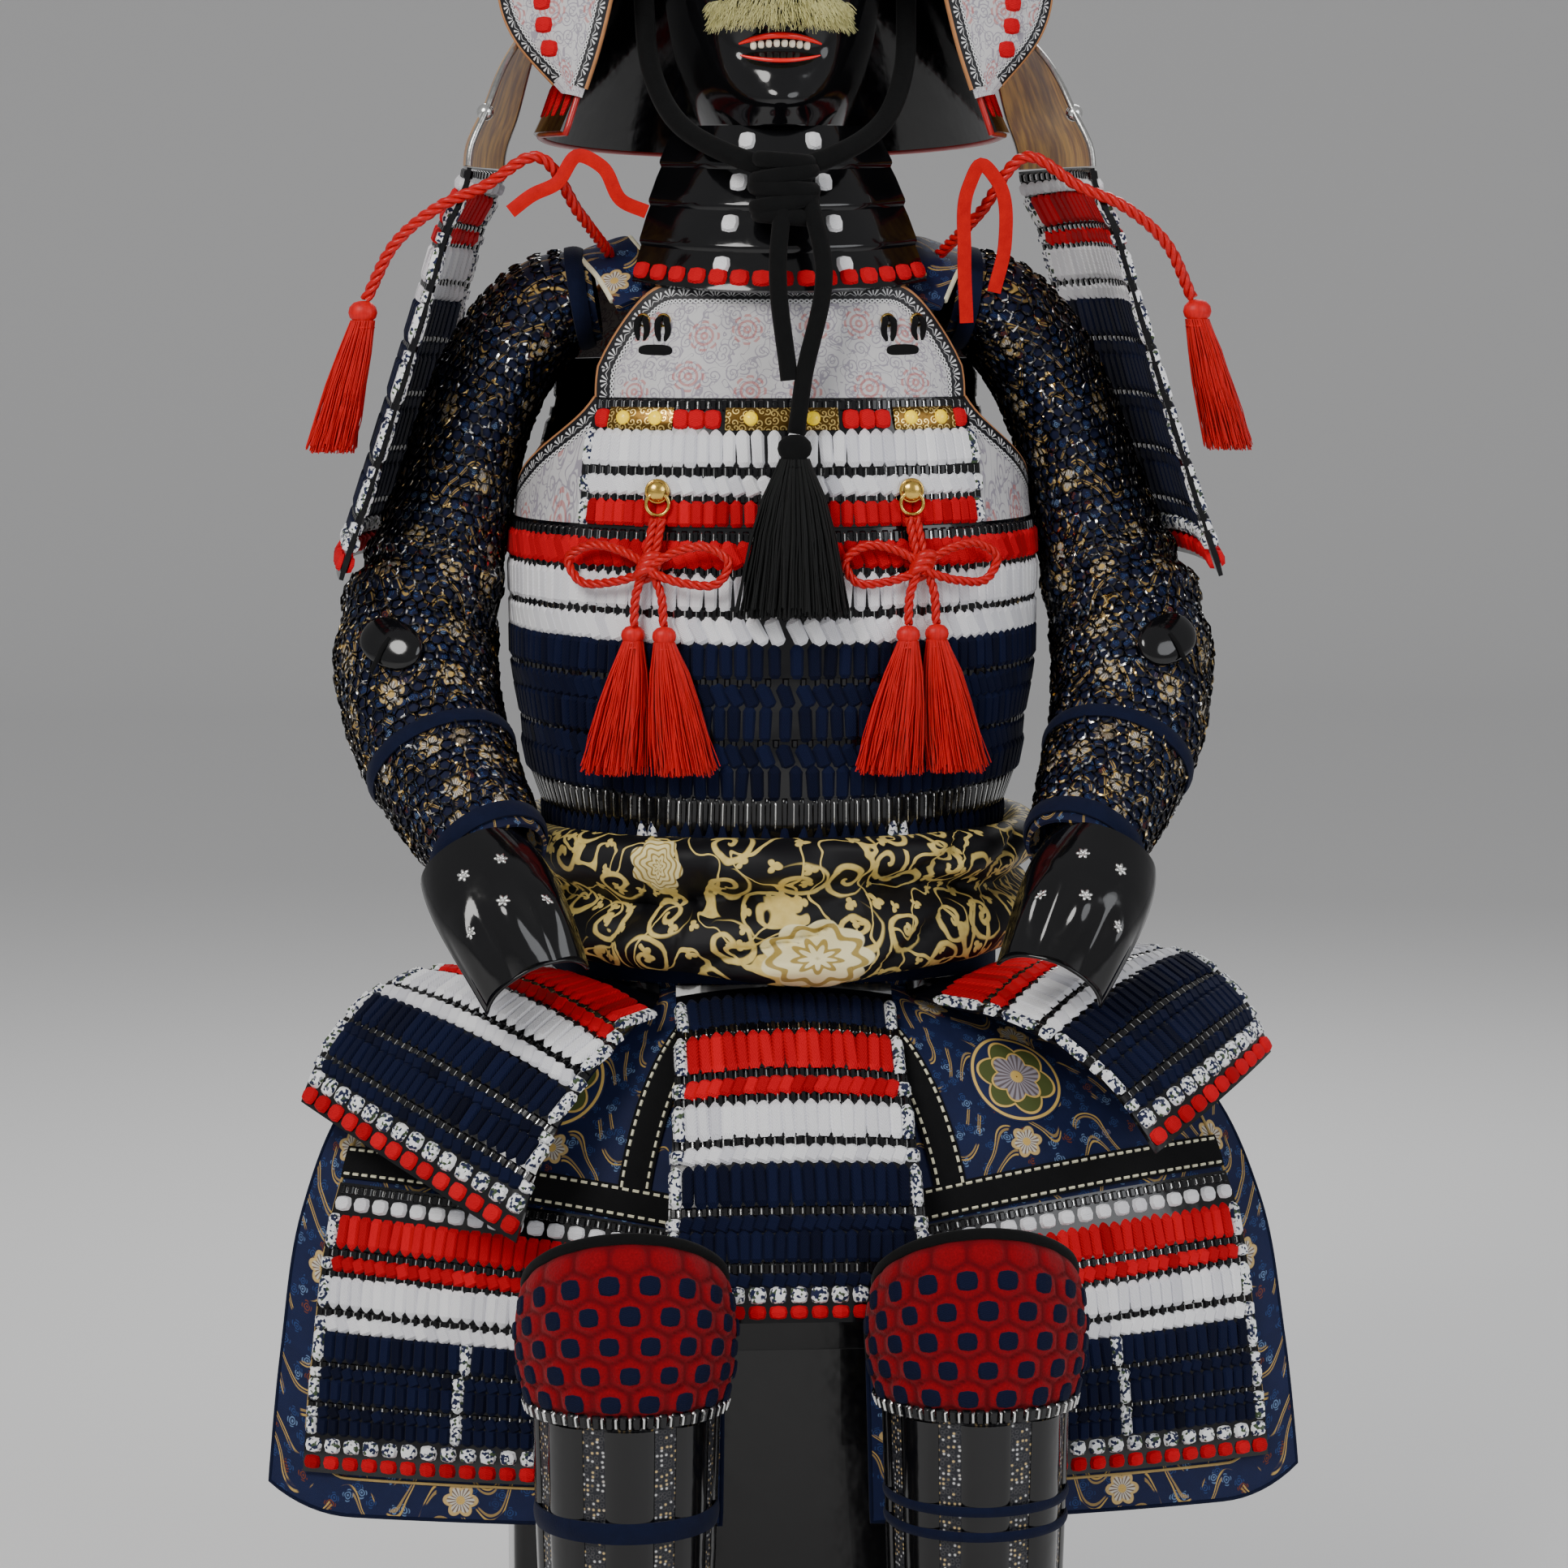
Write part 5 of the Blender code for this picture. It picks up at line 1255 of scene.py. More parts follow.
@dataclass
class Laid:
    """Points on which unit shapes are laid, gathered row by row."""

    places: list
    faces: list
    across: list
    sizes: list
    kinds: list
    dyes: list
    shades: list

    @classmethod
    def empty(cls) -> "Laid":
        """No points yet."""
        return cls([], [], [], [], [], [], [])

    def add(self, places: Array, face: Array, across: Array, size: Sequence[float], kind: int = 0,
            dye: Array | int = 0, shade: Array | float = 0.5) -> None:
        """Adds a row of points.

        Args:
            places: the points.
            face: the way that each shape faces.
            across: the way of each shape's width.
            size: width, length and height, one for all or one for each.
            kind: the unit shape.
            dye: what it is made of, one for all or one for each.
            shade: how light its thread is, from 0 to 1.
        """
        count = len(places)
        self.places.append(places)
        self.faces.append(np.broadcast_to(face, (count, 3)))
        self.across.append(np.broadcast_to(across, (count, 3)))
        self.sizes.append(np.broadcast_to(np.asarray(size, float), (count, 3)))
        self.kinds.append(np.full(count, kind))
        self.dyes.append(np.broadcast_to(dye, (count,)))
        self.shades.append(np.broadcast_to(shade, (count,)))

    def object(self) -> bpy.types.Object:
        """The points as an object of loose vertices with their values.

        Returns:
            The piece.
        """
        mesh = bpy.data.meshes.new("laid")
        mesh.from_pydata(np.concatenate(self.places).tolist(), [], [])
        values = (("face", "FLOAT_VECTOR", "vector", self.faces),
                  ("across", "FLOAT_VECTOR", "vector", self.across),
                  ("size", "FLOAT_VECTOR", "vector", self.sizes), ("kind", "INT", "value", self.kinds),
                  ("dye", "INT", "value", self.dyes), ("shade", "FLOAT", "value", self.shades))
        for name, kind, field, rows in values:
            data = np.concatenate(rows)
            attribute = mesh.attributes.new(name, kind, "POINT")
            attribute.data.foreach_set(field, data.astype(np.int32 if kind == "INT" else np.float32).ravel())
        made = bpy.data.objects.new("laid", mesh)
        bpy.context.scene.collection.objects.link(made)
        return made


def lines_object(lines: Sequence[Array], thick: Sequence[Array]) -> bpy.types.Object:
    """An object of loose edges along lines, with a share of the full thickness at each point.

    Args:
        lines: the points of each line.
        thick: the share of the full thickness at each point.

    Returns:
        The piece.
    """
    mesh = bpy.data.meshes.new("lines")
    edges, start = [], 0
    for line in lines:
        edges += [(start + i, start + i + 1) for i in range(len(line) - 1)]
        start += len(line)
    mesh.from_pydata(np.concatenate(lines).tolist(), edges, [])
    attribute = mesh.attributes.new("thick", "FLOAT", "POINT")
    attribute.data.foreach_set("value", np.concatenate(thick).astype(np.float32))
    made = bpy.data.objects.new("lines", mesh)
    bpy.context.scene.collection.objects.link(made)
    return made


def unit_cord() -> bpy.types.Object:
    """A flat braid one unit wide, long and high, with a pointed top that tucks in.

    Returns:
        The piece.
    """
    across, down = (-1.0, -0.52, 0.52, 1.0), (0.0, 0.07, 0.19, 0.88, 1.0)
    points, uvs = [], []
    for v in down:
        taper = min(1.0, 0.16 + 0.84 * (v / 0.17) ** 0.70) if v < 0.17 else 1.0
        taper *= 1.0 - 0.42 * max(0.0, (v - 0.86) / 0.14) ** 2
        lift = min(1.0, (v / 0.20) ** 0.6) * (1.0 - 0.75 * max(0.0, (v - 0.84) / 0.16) ** 2)
        for u in across:
            crown = math.sqrt(max(0.0, 1 - abs(u) ** 2.6))
            points.append((0.5 * u * taper, 0.5 - v, (0.06 + 0.94 * crown) * lift - 0.30 * (1 - crown)))
            uvs.append((u * taper, v))
    return mesh_object("unit_cord", np.array(points), grid_quads(5, 4), None, np.array(uvs))


def unit_head() -> bpy.types.Object:
    """A lame's rounded head, one unit wide, long and high.

    Returns:
        The piece.
    """
    turns, down = np.linspace(0, math.pi, 4), (0.0, 0.14, 0.86, 1.0)
    reach = (0.35, 1.0, 1.0, 0.35)
    points = [(-0.5 * math.cos(t) * (0.7 + 0.3 * r), 0.5 - v, math.sin(t) * r) for v,
              r in zip(down, reach) for t in turns]
    faces = grid_quads(4, 4) + [tuple(range(3, -1, -1)), tuple(range(12, 16))]
    return mesh_object("unit_head", np.array(points), faces, None, np.array(points)[:, :2])


def unit_cushion() -> bpy.types.Object:
    """A puffed square, one unit wide, long and high, for a crossed knot of lacing.

    Returns:
        The piece.
    """
    shares = np.array((-1.0, -0.80, 0.0, 0.80, 1.0))
    points = []
    for y in shares:
        for x in shares:
            reach = max(abs(x), abs(y))
            round_off = reach / max((abs(x) ** 3 + abs(y) ** 3) ** (1 / 3), 1e-6) if reach else 1.0
            points.append((0.5 * x * round_off, 0.5 * y * round_off, max(0.0, 1 - reach ** 3) ** 0.5))
    made = mesh_object("unit_cushion", np.array(points), grid_quads(5, 5, turned=True), None,
                       np.array(points)[:, :2])
    return made


def unit_link() -> bpy.types.Object:
    """A link of mail, one unit across, of few faces."""
    turns = np.linspace(0, 2 * math.pi, 5, endpoint=False)
    points = np.stack([np.cos(turns) * 0.43, np.sin(turns) * 0.43, np.zeros(5)], axis=1)
    return tube_object("unit_link", points, 0.085, None, 3, ring=True)


class Workshop:
    """The unit shapes and trees that every sub-assembly uses."""

    def __init__(self) -> None:
        """Makes the shapes and the trees once."""
        self.cord = unit_cord()
        self.head = unit_head()
        self.cushion = unit_cushion()
        self.link = unit_link()
        self.lacing = lacing_tree()
        self.threads = sweep_tree()
        self.mail = mail_tree()

    def lay(self, name: str, laid: Laid, finishes: dict, jitter: float = 0.04,
            seed: int = SEED) -> bpy.types.Object:
        """Lays the stitches on their points.

        Args:
            name: the piece's name.
            laid: the points.
            finishes: the material of each dye.
            jitter: how much sizes vary.
            seed: the order of that variation.

        Returns:
            The piece.
        """
        values = {"Cord": self.cord, "Head": self.head, "Cushion": self.cushion,
                  "Size jitter": jitter, "Seed": seed}
        values.update({dye.name.title(): finishes[dye] for dye in Dye})
        made = self.lacing.run(name, laid.object(), values)
        used = {int(d) for row in laid.dyes for d in np.unique(row)}
        keep_used_materials(made, used)
        return made

    def thread(self, name: str, lines: Sequence[Array], radius: float, finish: bpy.types.Material,
               sides: int = 3, taper: Callable | None = None) -> bpy.types.Object:
        """Draws lines out into threads.

        Args:
            name: the piece's name.
            lines: the points of each thread.
            radius: the thread's radius.
            finish: its material.
            sides: how many faces go round it.
            taper: gives the share of the thickness from the share of the length.

        Returns:
            The piece.
        """
        shape = taper or (lambda share: np.ones_like(share))
        thick = [shape(np.linspace(0, 1, len(line))) for line in lines]
        values = {"Radius": radius, "Sides": sides, "Finish": finish}
        return self.threads.run(name, lines_object(lines, thick), values)

    def chain(self, name: str, laid: Laid, finish: bpy.types.Material, lean: float) -> bpy.types.Object:
        """Lays links of mail on points."""
        return self.mail.run(name, laid.object(),
                             {"Link": self.link, "Finish": finish, "Lean": lean, "Seed": SEED})

    def clear(self) -> None:
        """Takes the unit shapes away."""
        for shape in (self.cord, self.head, self.cushion, self.link):
            bpy.data.objects.remove(shape)


def keep_used_materials(made: bpy.types.Object, used: set[int]) -> None:
    """Drops the material slots that no face uses.

    Args:
        made: the object.
        used: the numbers of the materials that are kept.
    """
    mesh = made.data
    index = np.zeros(len(mesh.polygons), np.int32)
    mesh.polygons.foreach_get("material_index", index)
    for slot in range(len(mesh.materials) - 1, -1, -1):
        if not (index == slot).any():
            mesh.materials.pop(index=slot)
            index[index > slot] -= 1
    mesh.polygons.foreach_set("material_index", index)
    mesh.update()


# Finishes

Colour = tuple[float, float, float]


class Shader:
    """A Principled material under construction, with short ways to add its nodes."""

    def __init__(self, name: str, roughness: float = 0.5, metallic: float = 0.0, **sockets: float) -> None:
        """Starts the material.

        Args:
            name: the material's name.
            roughness: even roughness, where nothing is linked.
            metallic: 1 for bare metal.
            sockets: plain values for other inputs, by name with _ for a space.
        """
        self.material = bpy.data.materials.new(name)
        self.material.use_nodes = True
        self.tree = self.material.node_tree
        self.shader = self.tree.nodes["Principled BSDF"]
        self.shader.inputs["Roughness"].default_value = roughness
        self.shader.inputs["Metallic"].default_value = metallic
        for key, value in sockets.items():
            self.shader.inputs[key.replace("_", " ")].default_value = value

    def node(self, kind: str, values: dict | None = None, **settings: object) -> bpy.types.Node:
        """Adds a node, with a value or a link for each input named.

        Args:
            kind: the node's type.
            values: a value or a link for each input, by name or number.
            settings: the node's own properties.

        Returns:
            The node.
        """
        made = self.tree.nodes.new(kind)
        for key, value in settings.items():
            setattr(made, key, value)
        for key, value in (values or {}).items():
            self.feed(value, made.inputs[key])
        return made

    def feed(self, value: object, target: Socket) -> None:
        """Links a socket, or sets a number, a colour or a vector.

        Args:
            value: a value or a link.
            target: the input that takes it.
        """
        if isinstance(value, bpy.types.NodeSocket):
            self.tree.links.new(value, target)
        elif isinstance(value, tuple) and len(value) == 3 and target.type == "RGBA":
            target.default_value = (*value, 1.0)
        else:
            target.default_value = value

    def math(self, operation: str, a: object, b: object = 0.0, c: object = 0.0) -> Socket:
        """One sum on one to three numbers."""
        made = self.node("ShaderNodeMath", {0: a, 1: b}, operation=operation)
        if operation in ("SMOOTH_MIN", "MULTIPLY_ADD", "WRAP", "PINGPONG"):
            self.feed(c, made.inputs[2])
        return made.outputs[0]

    def band(self, value: Socket, middle: float, half: float, soft: float) -> Socket:
        """1 where a value lies within half of the middle, falling to 0 over soft."""
        away = self.math("ABSOLUTE", self.math("SUBTRACT", value, middle))
        return self.step(away, half + soft, half)

    def step(self, value: Socket, low: float, high: float) -> Socket:
        """0 at low, 1 at high, smooth between; low may be the greater."""
        made = self.node("ShaderNodeMapRange", {"Value": value, "From Min": low, "From Max": high},
                         interpolation_type="SMOOTHSTEP")
        return made.outputs[0]

    def mix(self, share: object, a: object, b: object) -> Socket:
        """One colour laid over another.

        Args:
            share: how far along, from 0 to 1.
            a: the colour below.
            b: the colour laid over it.

        Returns:
            The socket to link from.
        """
        made = self.node("ShaderNodeMix", data_type="RGBA")
        self.feed(share, made.inputs["Factor"])
        self.feed(a, made.inputs[6])
        self.feed(b, made.inputs[7])
        return made.outputs[2]

    def uv(self) -> tuple[Socket, Socket, Socket]:
        """The piece's own map in metres: the vector and its two parts."""
        vector = self.node("ShaderNodeUVMap", uv_map=UV_NAME).outputs[0]
        parts = self.node("ShaderNodeSeparateXYZ", {0: vector})
        return vector, parts.outputs[0], parts.outputs[1]

    def place(self) -> Socket:
        """The place in the object, in metres."""
        return self.node("ShaderNodeTexCoord").outputs["Object"]

    def attribute(self, name: str) -> Socket:
        """A number kept on the piece."""
        return self.node("ShaderNodeAttribute", attribute_name=name).outputs["Fac"]

    def noise(self, vector: Socket, size: float, detail: float = 2.0, distortion: float = 0.0) -> Socket:
        """Soft uneven values with features of that size."""
        return self.node("ShaderNodeTexNoise", {"Vector": vector, "Scale": 1 / size, "Detail": detail,
                                                "Distortion": distortion}).outputs["Fac"]

    def warped(self, vector: Socket, size: float, amount: float) -> Socket:
        """The vector pushed about by soft noise.

        Args:
            vector: the place to read.
            size: the size of one mark in metres.
            amount: how far it is pushed, in metres.

        Returns:
            The socket to link from.
        """
        cloud = self.node("ShaderNodeTexNoise", {"Vector": vector, "Scale": 1 / size, "Detail": 1.0})
        centred = self.node("ShaderNodeVectorMath", {0: cloud.outputs["Color"], 1: (0.5, 0.5, 0.5)},
                            operation="SUBTRACT")
        scaled = self.node("ShaderNodeVectorMath", {0: centred.outputs[0], "Scale": amount},
                           operation="SCALE")
        return self.node("ShaderNodeVectorMath", {0: vector, 1: scaled.outputs[0]},
                         operation="ADD").outputs[0]

    def cells(self, vector: Socket, size: float, randomness: float) -> dict[str, Socket]:
        """Scattered motif cells: distance and angle from the middle of each, and its own chance.

        Args:
            vector: the place to read.
            size: the size of one mark in metres.
            randomness: how unevenly the cells lie, from 0 to 1.

        Returns:
            A socket for each reading, by its name.
        """
        found = self.node("ShaderNodeTexVoronoi",
                          {"Vector": vector, "Scale": 1 / size, "Randomness": randomness},
                          voronoi_dimensions="2D")
        local = self.node("ShaderNodeVectorMath", {0: vector, 1: found.outputs["Position"]},
                          operation="SUBTRACT")
        parts = self.node("ShaderNodeSeparateXYZ", {0: local.outputs[0]})
        radius = self.math("MULTIPLY", found.outputs["Distance"], size)
        chance = self.node("ShaderNodeSeparateXYZ", {0: found.outputs["Color"]})
        return {"radius": radius, "angle": self.math("ARCTAN2", parts.outputs[1], parts.outputs[0]),
                "x": parts.outputs[0], "y": parts.outputs[1], "chance": chance.outputs[0],
                "other": chance.outputs[1]}

    def petals(self, cell: dict[str, Socket], count: int, radius: float, depth: float = 0.35,
               soft: float = 0.0004) -> Socket:
        """A flower with that many petals in the middle of each cell."""
        wave = self.math("ABSOLUTE", self.math("COSINE", self.math("MULTIPLY", cell["angle"], count / 2)))
        edge = self.math("MULTIPLY_ADD", wave, radius * depth, radius * (1 - depth))
        return self.step(self.math("SUBTRACT", cell["radius"], edge), soft, -soft)

    def spiral(self, cell: dict[str, Socket], pitch: float, reach: float, width: float = 0.35) -> Socket:
        """A curling tendril round the middle of each cell."""
        wound = self.math("ADD", self.math("MULTIPLY", cell["radius"], 2 * math.pi / pitch), cell["angle"])
        wound = self.math("ADD", wound, self.math("MULTIPLY", cell["chance"], 2 * math.pi))
        line = self.step(self.math("SINE", wound), 1 - 2 * width - 0.25, 1 - 2 * width + 0.25)
        return self.math("MULTIPLY", line, self.step(cell["radius"], reach, reach * 0.9))

    def weave(self, pitch: float) -> Socket:
        """Crossed threads of cloth along the map."""
        _, x, y = self.uv()
        warp = self.math("SINE", self.math("MULTIPLY", x, 2 * math.pi / pitch))
        weft = self.math("SINE", self.math("MULTIPLY", y, 2 * math.pi / pitch))
        return self.math("MULTIPLY", warp, weft)

    def bump(self, height: Socket, distance: float, strength: float = 1.0) -> None:
        """Raises the surface by a height, over any bump that is there.

        Args:
            height: the height of the relief, from 0 to 1.
            distance: the relief's full height in metres.
            strength: how much of it shows.
        """
        before = self.shader.inputs["Normal"].links
        made = self.node("ShaderNodeBump", {"Height": height, "Distance": distance, "Strength": strength})
        if before:
            self.tree.links.new(before[0].from_socket, made.inputs["Normal"])
        self.feed(made.outputs[0], self.shader.inputs["Normal"])

    def colour(self, value: object) -> None:
        """Sets or links the base colour."""
        self.feed(value, self.shader.inputs["Base Color"])

    def rough(self, value: Socket) -> None:
        """Links the roughness."""
        self.feed(value, self.shader.inputs["Roughness"])


@dataclass(frozen=True)
class Lacquer:
    """Polished lacquer with a faint unevenness and fine wear."""

    name: str
    colour: Colour = (0.0022, 0.0022, 0.0026)
    roughness: float = 0.09
    ripple: float = 0.0006

    def make(self) -> bpy.types.Material:
        """Builds the material.

        Returns:
            The material.
        """
        s = Shader(self.name, self.roughness, 0.0, Coat_Weight=0.35, Coat_Roughness=0.04,
                   Specular_IOR_Level=0.32)
        place = s.place()
        cloud = s.noise(place, 0.05, 2)
        s.colour(s.mix(cloud, self.colour, tuple(c * 2.4 for c in self.colour)))
        s.rough(s.math("MULTIPLY_ADD", s.noise(place, 0.006, 3), 0.14, self.roughness - 0.04))
        s.bump(s.noise(place, 0.022, 2), self.ripple)
        return s.material


@dataclass(frozen=True)
class Braid:
    """A flat silk braid, with its herringbone along the cord, a shade for each length and painted shade
    towards its edges.
    """

    name: str
    light: Colour
    dark: Colour
    sheen: float = 0.06

    def make(self) -> bpy.types.Material:
        """Builds the material.

        Returns:
            The material.
        """
        s = Shader(self.name, 0.80, 0.0, Sheen_Weight=self.sheen, Sheen_Roughness=0.45,
                   Specular_IOR_Level=0.12)
        _, x, y = s.uv()
        lean = s.math("MULTIPLY", s.math("ABSOLUTE", x), 0.34)
        ply = s.math("SINE", s.math("MULTIPLY", s.math("ADD", y, lean), 2 * math.pi * 11))
        # Painted shade: the braid darkens towards both edges, where it curves down between its neighbours.
        edge = s.step(s.math("ABSOLUTE", x), 0.62, 0.98)
        tone = s.math("MULTIPLY_ADD", ply, 0.12, s.attribute("shade"))
        tone = s.math("SUBTRACT", tone, s.math("MULTIPLY", edge, 0.42))
        s.colour(s.mix(s.step(tone, -0.2, 1.0), self.dark, self.light))
        s.bump(ply, 0.00022, 0.6)
        s.bump(s.noise(s.place(), 0.0007, 2), 0.0003, 0.5)
        return s.material


@dataclass(frozen=True)
class SpeckledBraid:
    """White braid with speckles of navy and green, as on the edges of the panels."""

    name: str
    speck: float = 0.0021

    def make(self) -> bpy.types.Material:
        """Builds the material.

        Returns:
            The material.
        """
        s = Shader(self.name, 0.8, 0.0, Sheen_Weight=0.2, Specular_IOR_Level=0.2)
        place = s.place()
        cell = s.node("ShaderNodeTexVoronoi",
                      {"Vector": s.warped(place, 0.004, 0.0015), "Scale": 1 / self.speck})
        parts = s.node("ShaderNodeSeparateXYZ", {0: cell.outputs["Color"]})
        dark = s.step(parts.outputs[0], 0.56, 0.62)
        hue = s.mix(s.step(parts.outputs[1], 0.70, 0.74), (0.012, 0.018, 0.060), (0.055, 0.085, 0.040))
        s.colour(s.mix(dark, (0.88, 0.89, 0.90), hue))
        s.bump(cell.outputs["Distance"], 0.0006, 0.5)
        return s.material


@dataclass(frozen=True)
class Cloth:
    """Plain woven or felted cloth of one colour."""

    name: str
    colour: Colour
    pitch: float = 0.0011
    roughness: float = 0.85

    def make(self) -> bpy.types.Material:
        """Builds the material.

        Returns:
            The material.
        """
        s = Shader(self.name, self.roughness, 0.0, Sheen_Weight=0.05, Sheen_Roughness=0.5,
                   Specular_IOR_Level=0.12)
        place = s.place()
        tone = s.noise(place, 0.008, 3)
        s.colour(s.mix(tone, tuple(c * 0.72 for c in self.colour),
                       tuple(min(1.0, c * 1.22) for c in self.colour)))
        s.bump(s.noise(place, self.pitch, 2), 0.0005, 0.6)
        return s.material


@dataclass(frozen=True)
class Quilted:
    """Brushed red cloth, with painted shade along the sunken seams of its quilting."""

    name: str
    colour: Colour = (0.27, 0.0030, 0.0085)
    # painted shade: the darker red laid in the sunken seams
    seam: Colour = (0.125, 0.0014, 0.0046)

    def make(self) -> bpy.types.Material:
        """Builds the material.

        Returns:
            The material.
        """
        s = Shader(self.name, 0.92, 0.0, Sheen_Weight=0.08, Sheen_Roughness=0.5, Specular_IOR_Level=0.10)
        place = s.place()
        fleck = s.noise(place, 0.0016, 3)
        red = s.mix(fleck, tuple(c * 0.55 for c in self.colour), tuple(c * 1.25 for c in self.colour))
        # Painted shade: the seam red fills the seams where the cell value, which also sinks them, falls to
        # 0.
        s.colour(s.mix(s.step(s.attribute("cell"), 0.15, 0.85), self.seam, red))
        s.bump(fleck, 0.0009, 0.8)
        return s.material


@dataclass(frozen=True)
class Rosette:
    """An embroidered round flower: gold outlines, pale petals and a ring of leaves."""

    name: str
    radius: float = 0.034

    def make(self) -> bpy.types.Material:
        """Builds the material.

        Returns:
            The material.
        """
        s = Shader(self.name, 0.6, 0.0, Specular_IOR_Level=0.25)
        _, x, y = s.uv()
        away = s.math("SQRT", s.math("ADD", s.math("MULTIPLY", x, x), s.math("MULTIPLY", y, y)))
        share = s.math("DIVIDE", away, self.radius)
        angle = s.math("ARCTAN2", y, x)
        six = s.math("ABSOLUTE", s.math("COSINE", s.math("MULTIPLY", angle, 3.0)))
        wide = s.math("MULTIPLY_ADD", six, 0.16, 0.40)
        twelve = s.math("ABSOLUTE", s.math("SINE", s.math("MULTIPLY", angle, 3.0)))
        leaf = s.math("MULTIPLY_ADD", twelve, 0.20, 0.62)
        colour = s.mix(s.step(share, 1.0, 0.985), (0.0042, 0.0078, 0.036), (0.012, 0.020, 0.075))
        inside_leaf = s.step(s.math("SUBTRACT", share, leaf), 0.01, -0.01)
        colour = s.mix(inside_leaf, colour, (0.085, 0.105, 0.030))
        inside_petal = s.step(s.math("SUBTRACT", share, wide), 0.01, -0.01)
        rays = s.step(s.math("SINE", s.math("MULTIPLY", angle, 24)), -0.2, 0.6)
        colour = s.mix(inside_petal, colour, s.mix(rays, (0.36, 0.33, 0.38), (0.15, 0.12, 0.13)))
        lines = s.band(s.math("SUBTRACT", share, leaf), 0.0, 0.022, 0.012)
        lines = s.math("MAXIMUM", lines, s.band(s.math("SUBTRACT", share, wide), 0.0, 0.018, 0.012))
        lines = s.math("MAXIMUM", lines, s.band(share, 0.93, 0.026, 0.012))
        lines = s.math("MAXIMUM", lines, s.step(share, 0.15, 0.12))
        s.colour(s.mix(lines, colour, (0.75, 0.50, 0.14)))
        s.bump(lines, 0.0006, 0.7)
        return s.material


@dataclass(frozen=True)
class IronMail:
    """Blackened iron links, with a few that glint gold or silver."""

    name: str
    colour: Colour = (0.050, 0.048, 0.048)

    def make(self) -> bpy.types.Material:
        """Builds the material.

        Returns:
            The material.
        """
        s = Shader(self.name, 0.26, 1.0)
        place = s.place()
        bright = s.step(s.noise(place, 0.0060, 1), 0.60, 0.66)
        hue = s.mix(s.step(s.noise(place, 0.030, 1), 0.46, 0.54), (0.80, 0.58, 0.24), (0.80, 0.80, 0.78))
        s.colour(s.mix(bright, self.colour, hue))
        return s.material


@dataclass(frozen=True)
class Metal:
    """Bare, gilt or silvered metal with worn lights."""

    name: str
    colour: Colour
    roughness: float = 0.25
    grain: float = 0.004

    def make(self) -> bpy.types.Material:
        """Builds the material.

        Returns:
            The material.
        """
        s = Shader(self.name, self.roughness, 1.0)
        place = s.place()
        tone = s.noise(place, self.grain, 3)
        s.colour(s.mix(tone, tuple(c * 0.62 for c in self.colour), self.colour))
        s.rough(s.math("MULTIPLY_ADD", tone, 0.22, self.roughness - 0.08))
        s.bump(s.noise(place, self.grain * 0.6, 2), 0.0004, 0.5)
        return s.material


@dataclass(frozen=True)
class Filigree:
    """Gilt plate pierced and chased with small scrolls."""

    name: str

    def make(self) -> bpy.types.Material:
        """Builds the material.

        Returns:
            The material.
        """
        s = Shader(self.name, 0.28, 1.0)
        vector, _, _ = s.uv()
        cell = s.cells(vector, 0.0058, 0.6)
        line = s.spiral(cell, 0.0024, 0.0035)
        s.colour(s.mix(line, (0.16, 0.085, 0.02), (0.98, 0.72, 0.24)))
        s.bump(line, 0.0009)
        return s.material


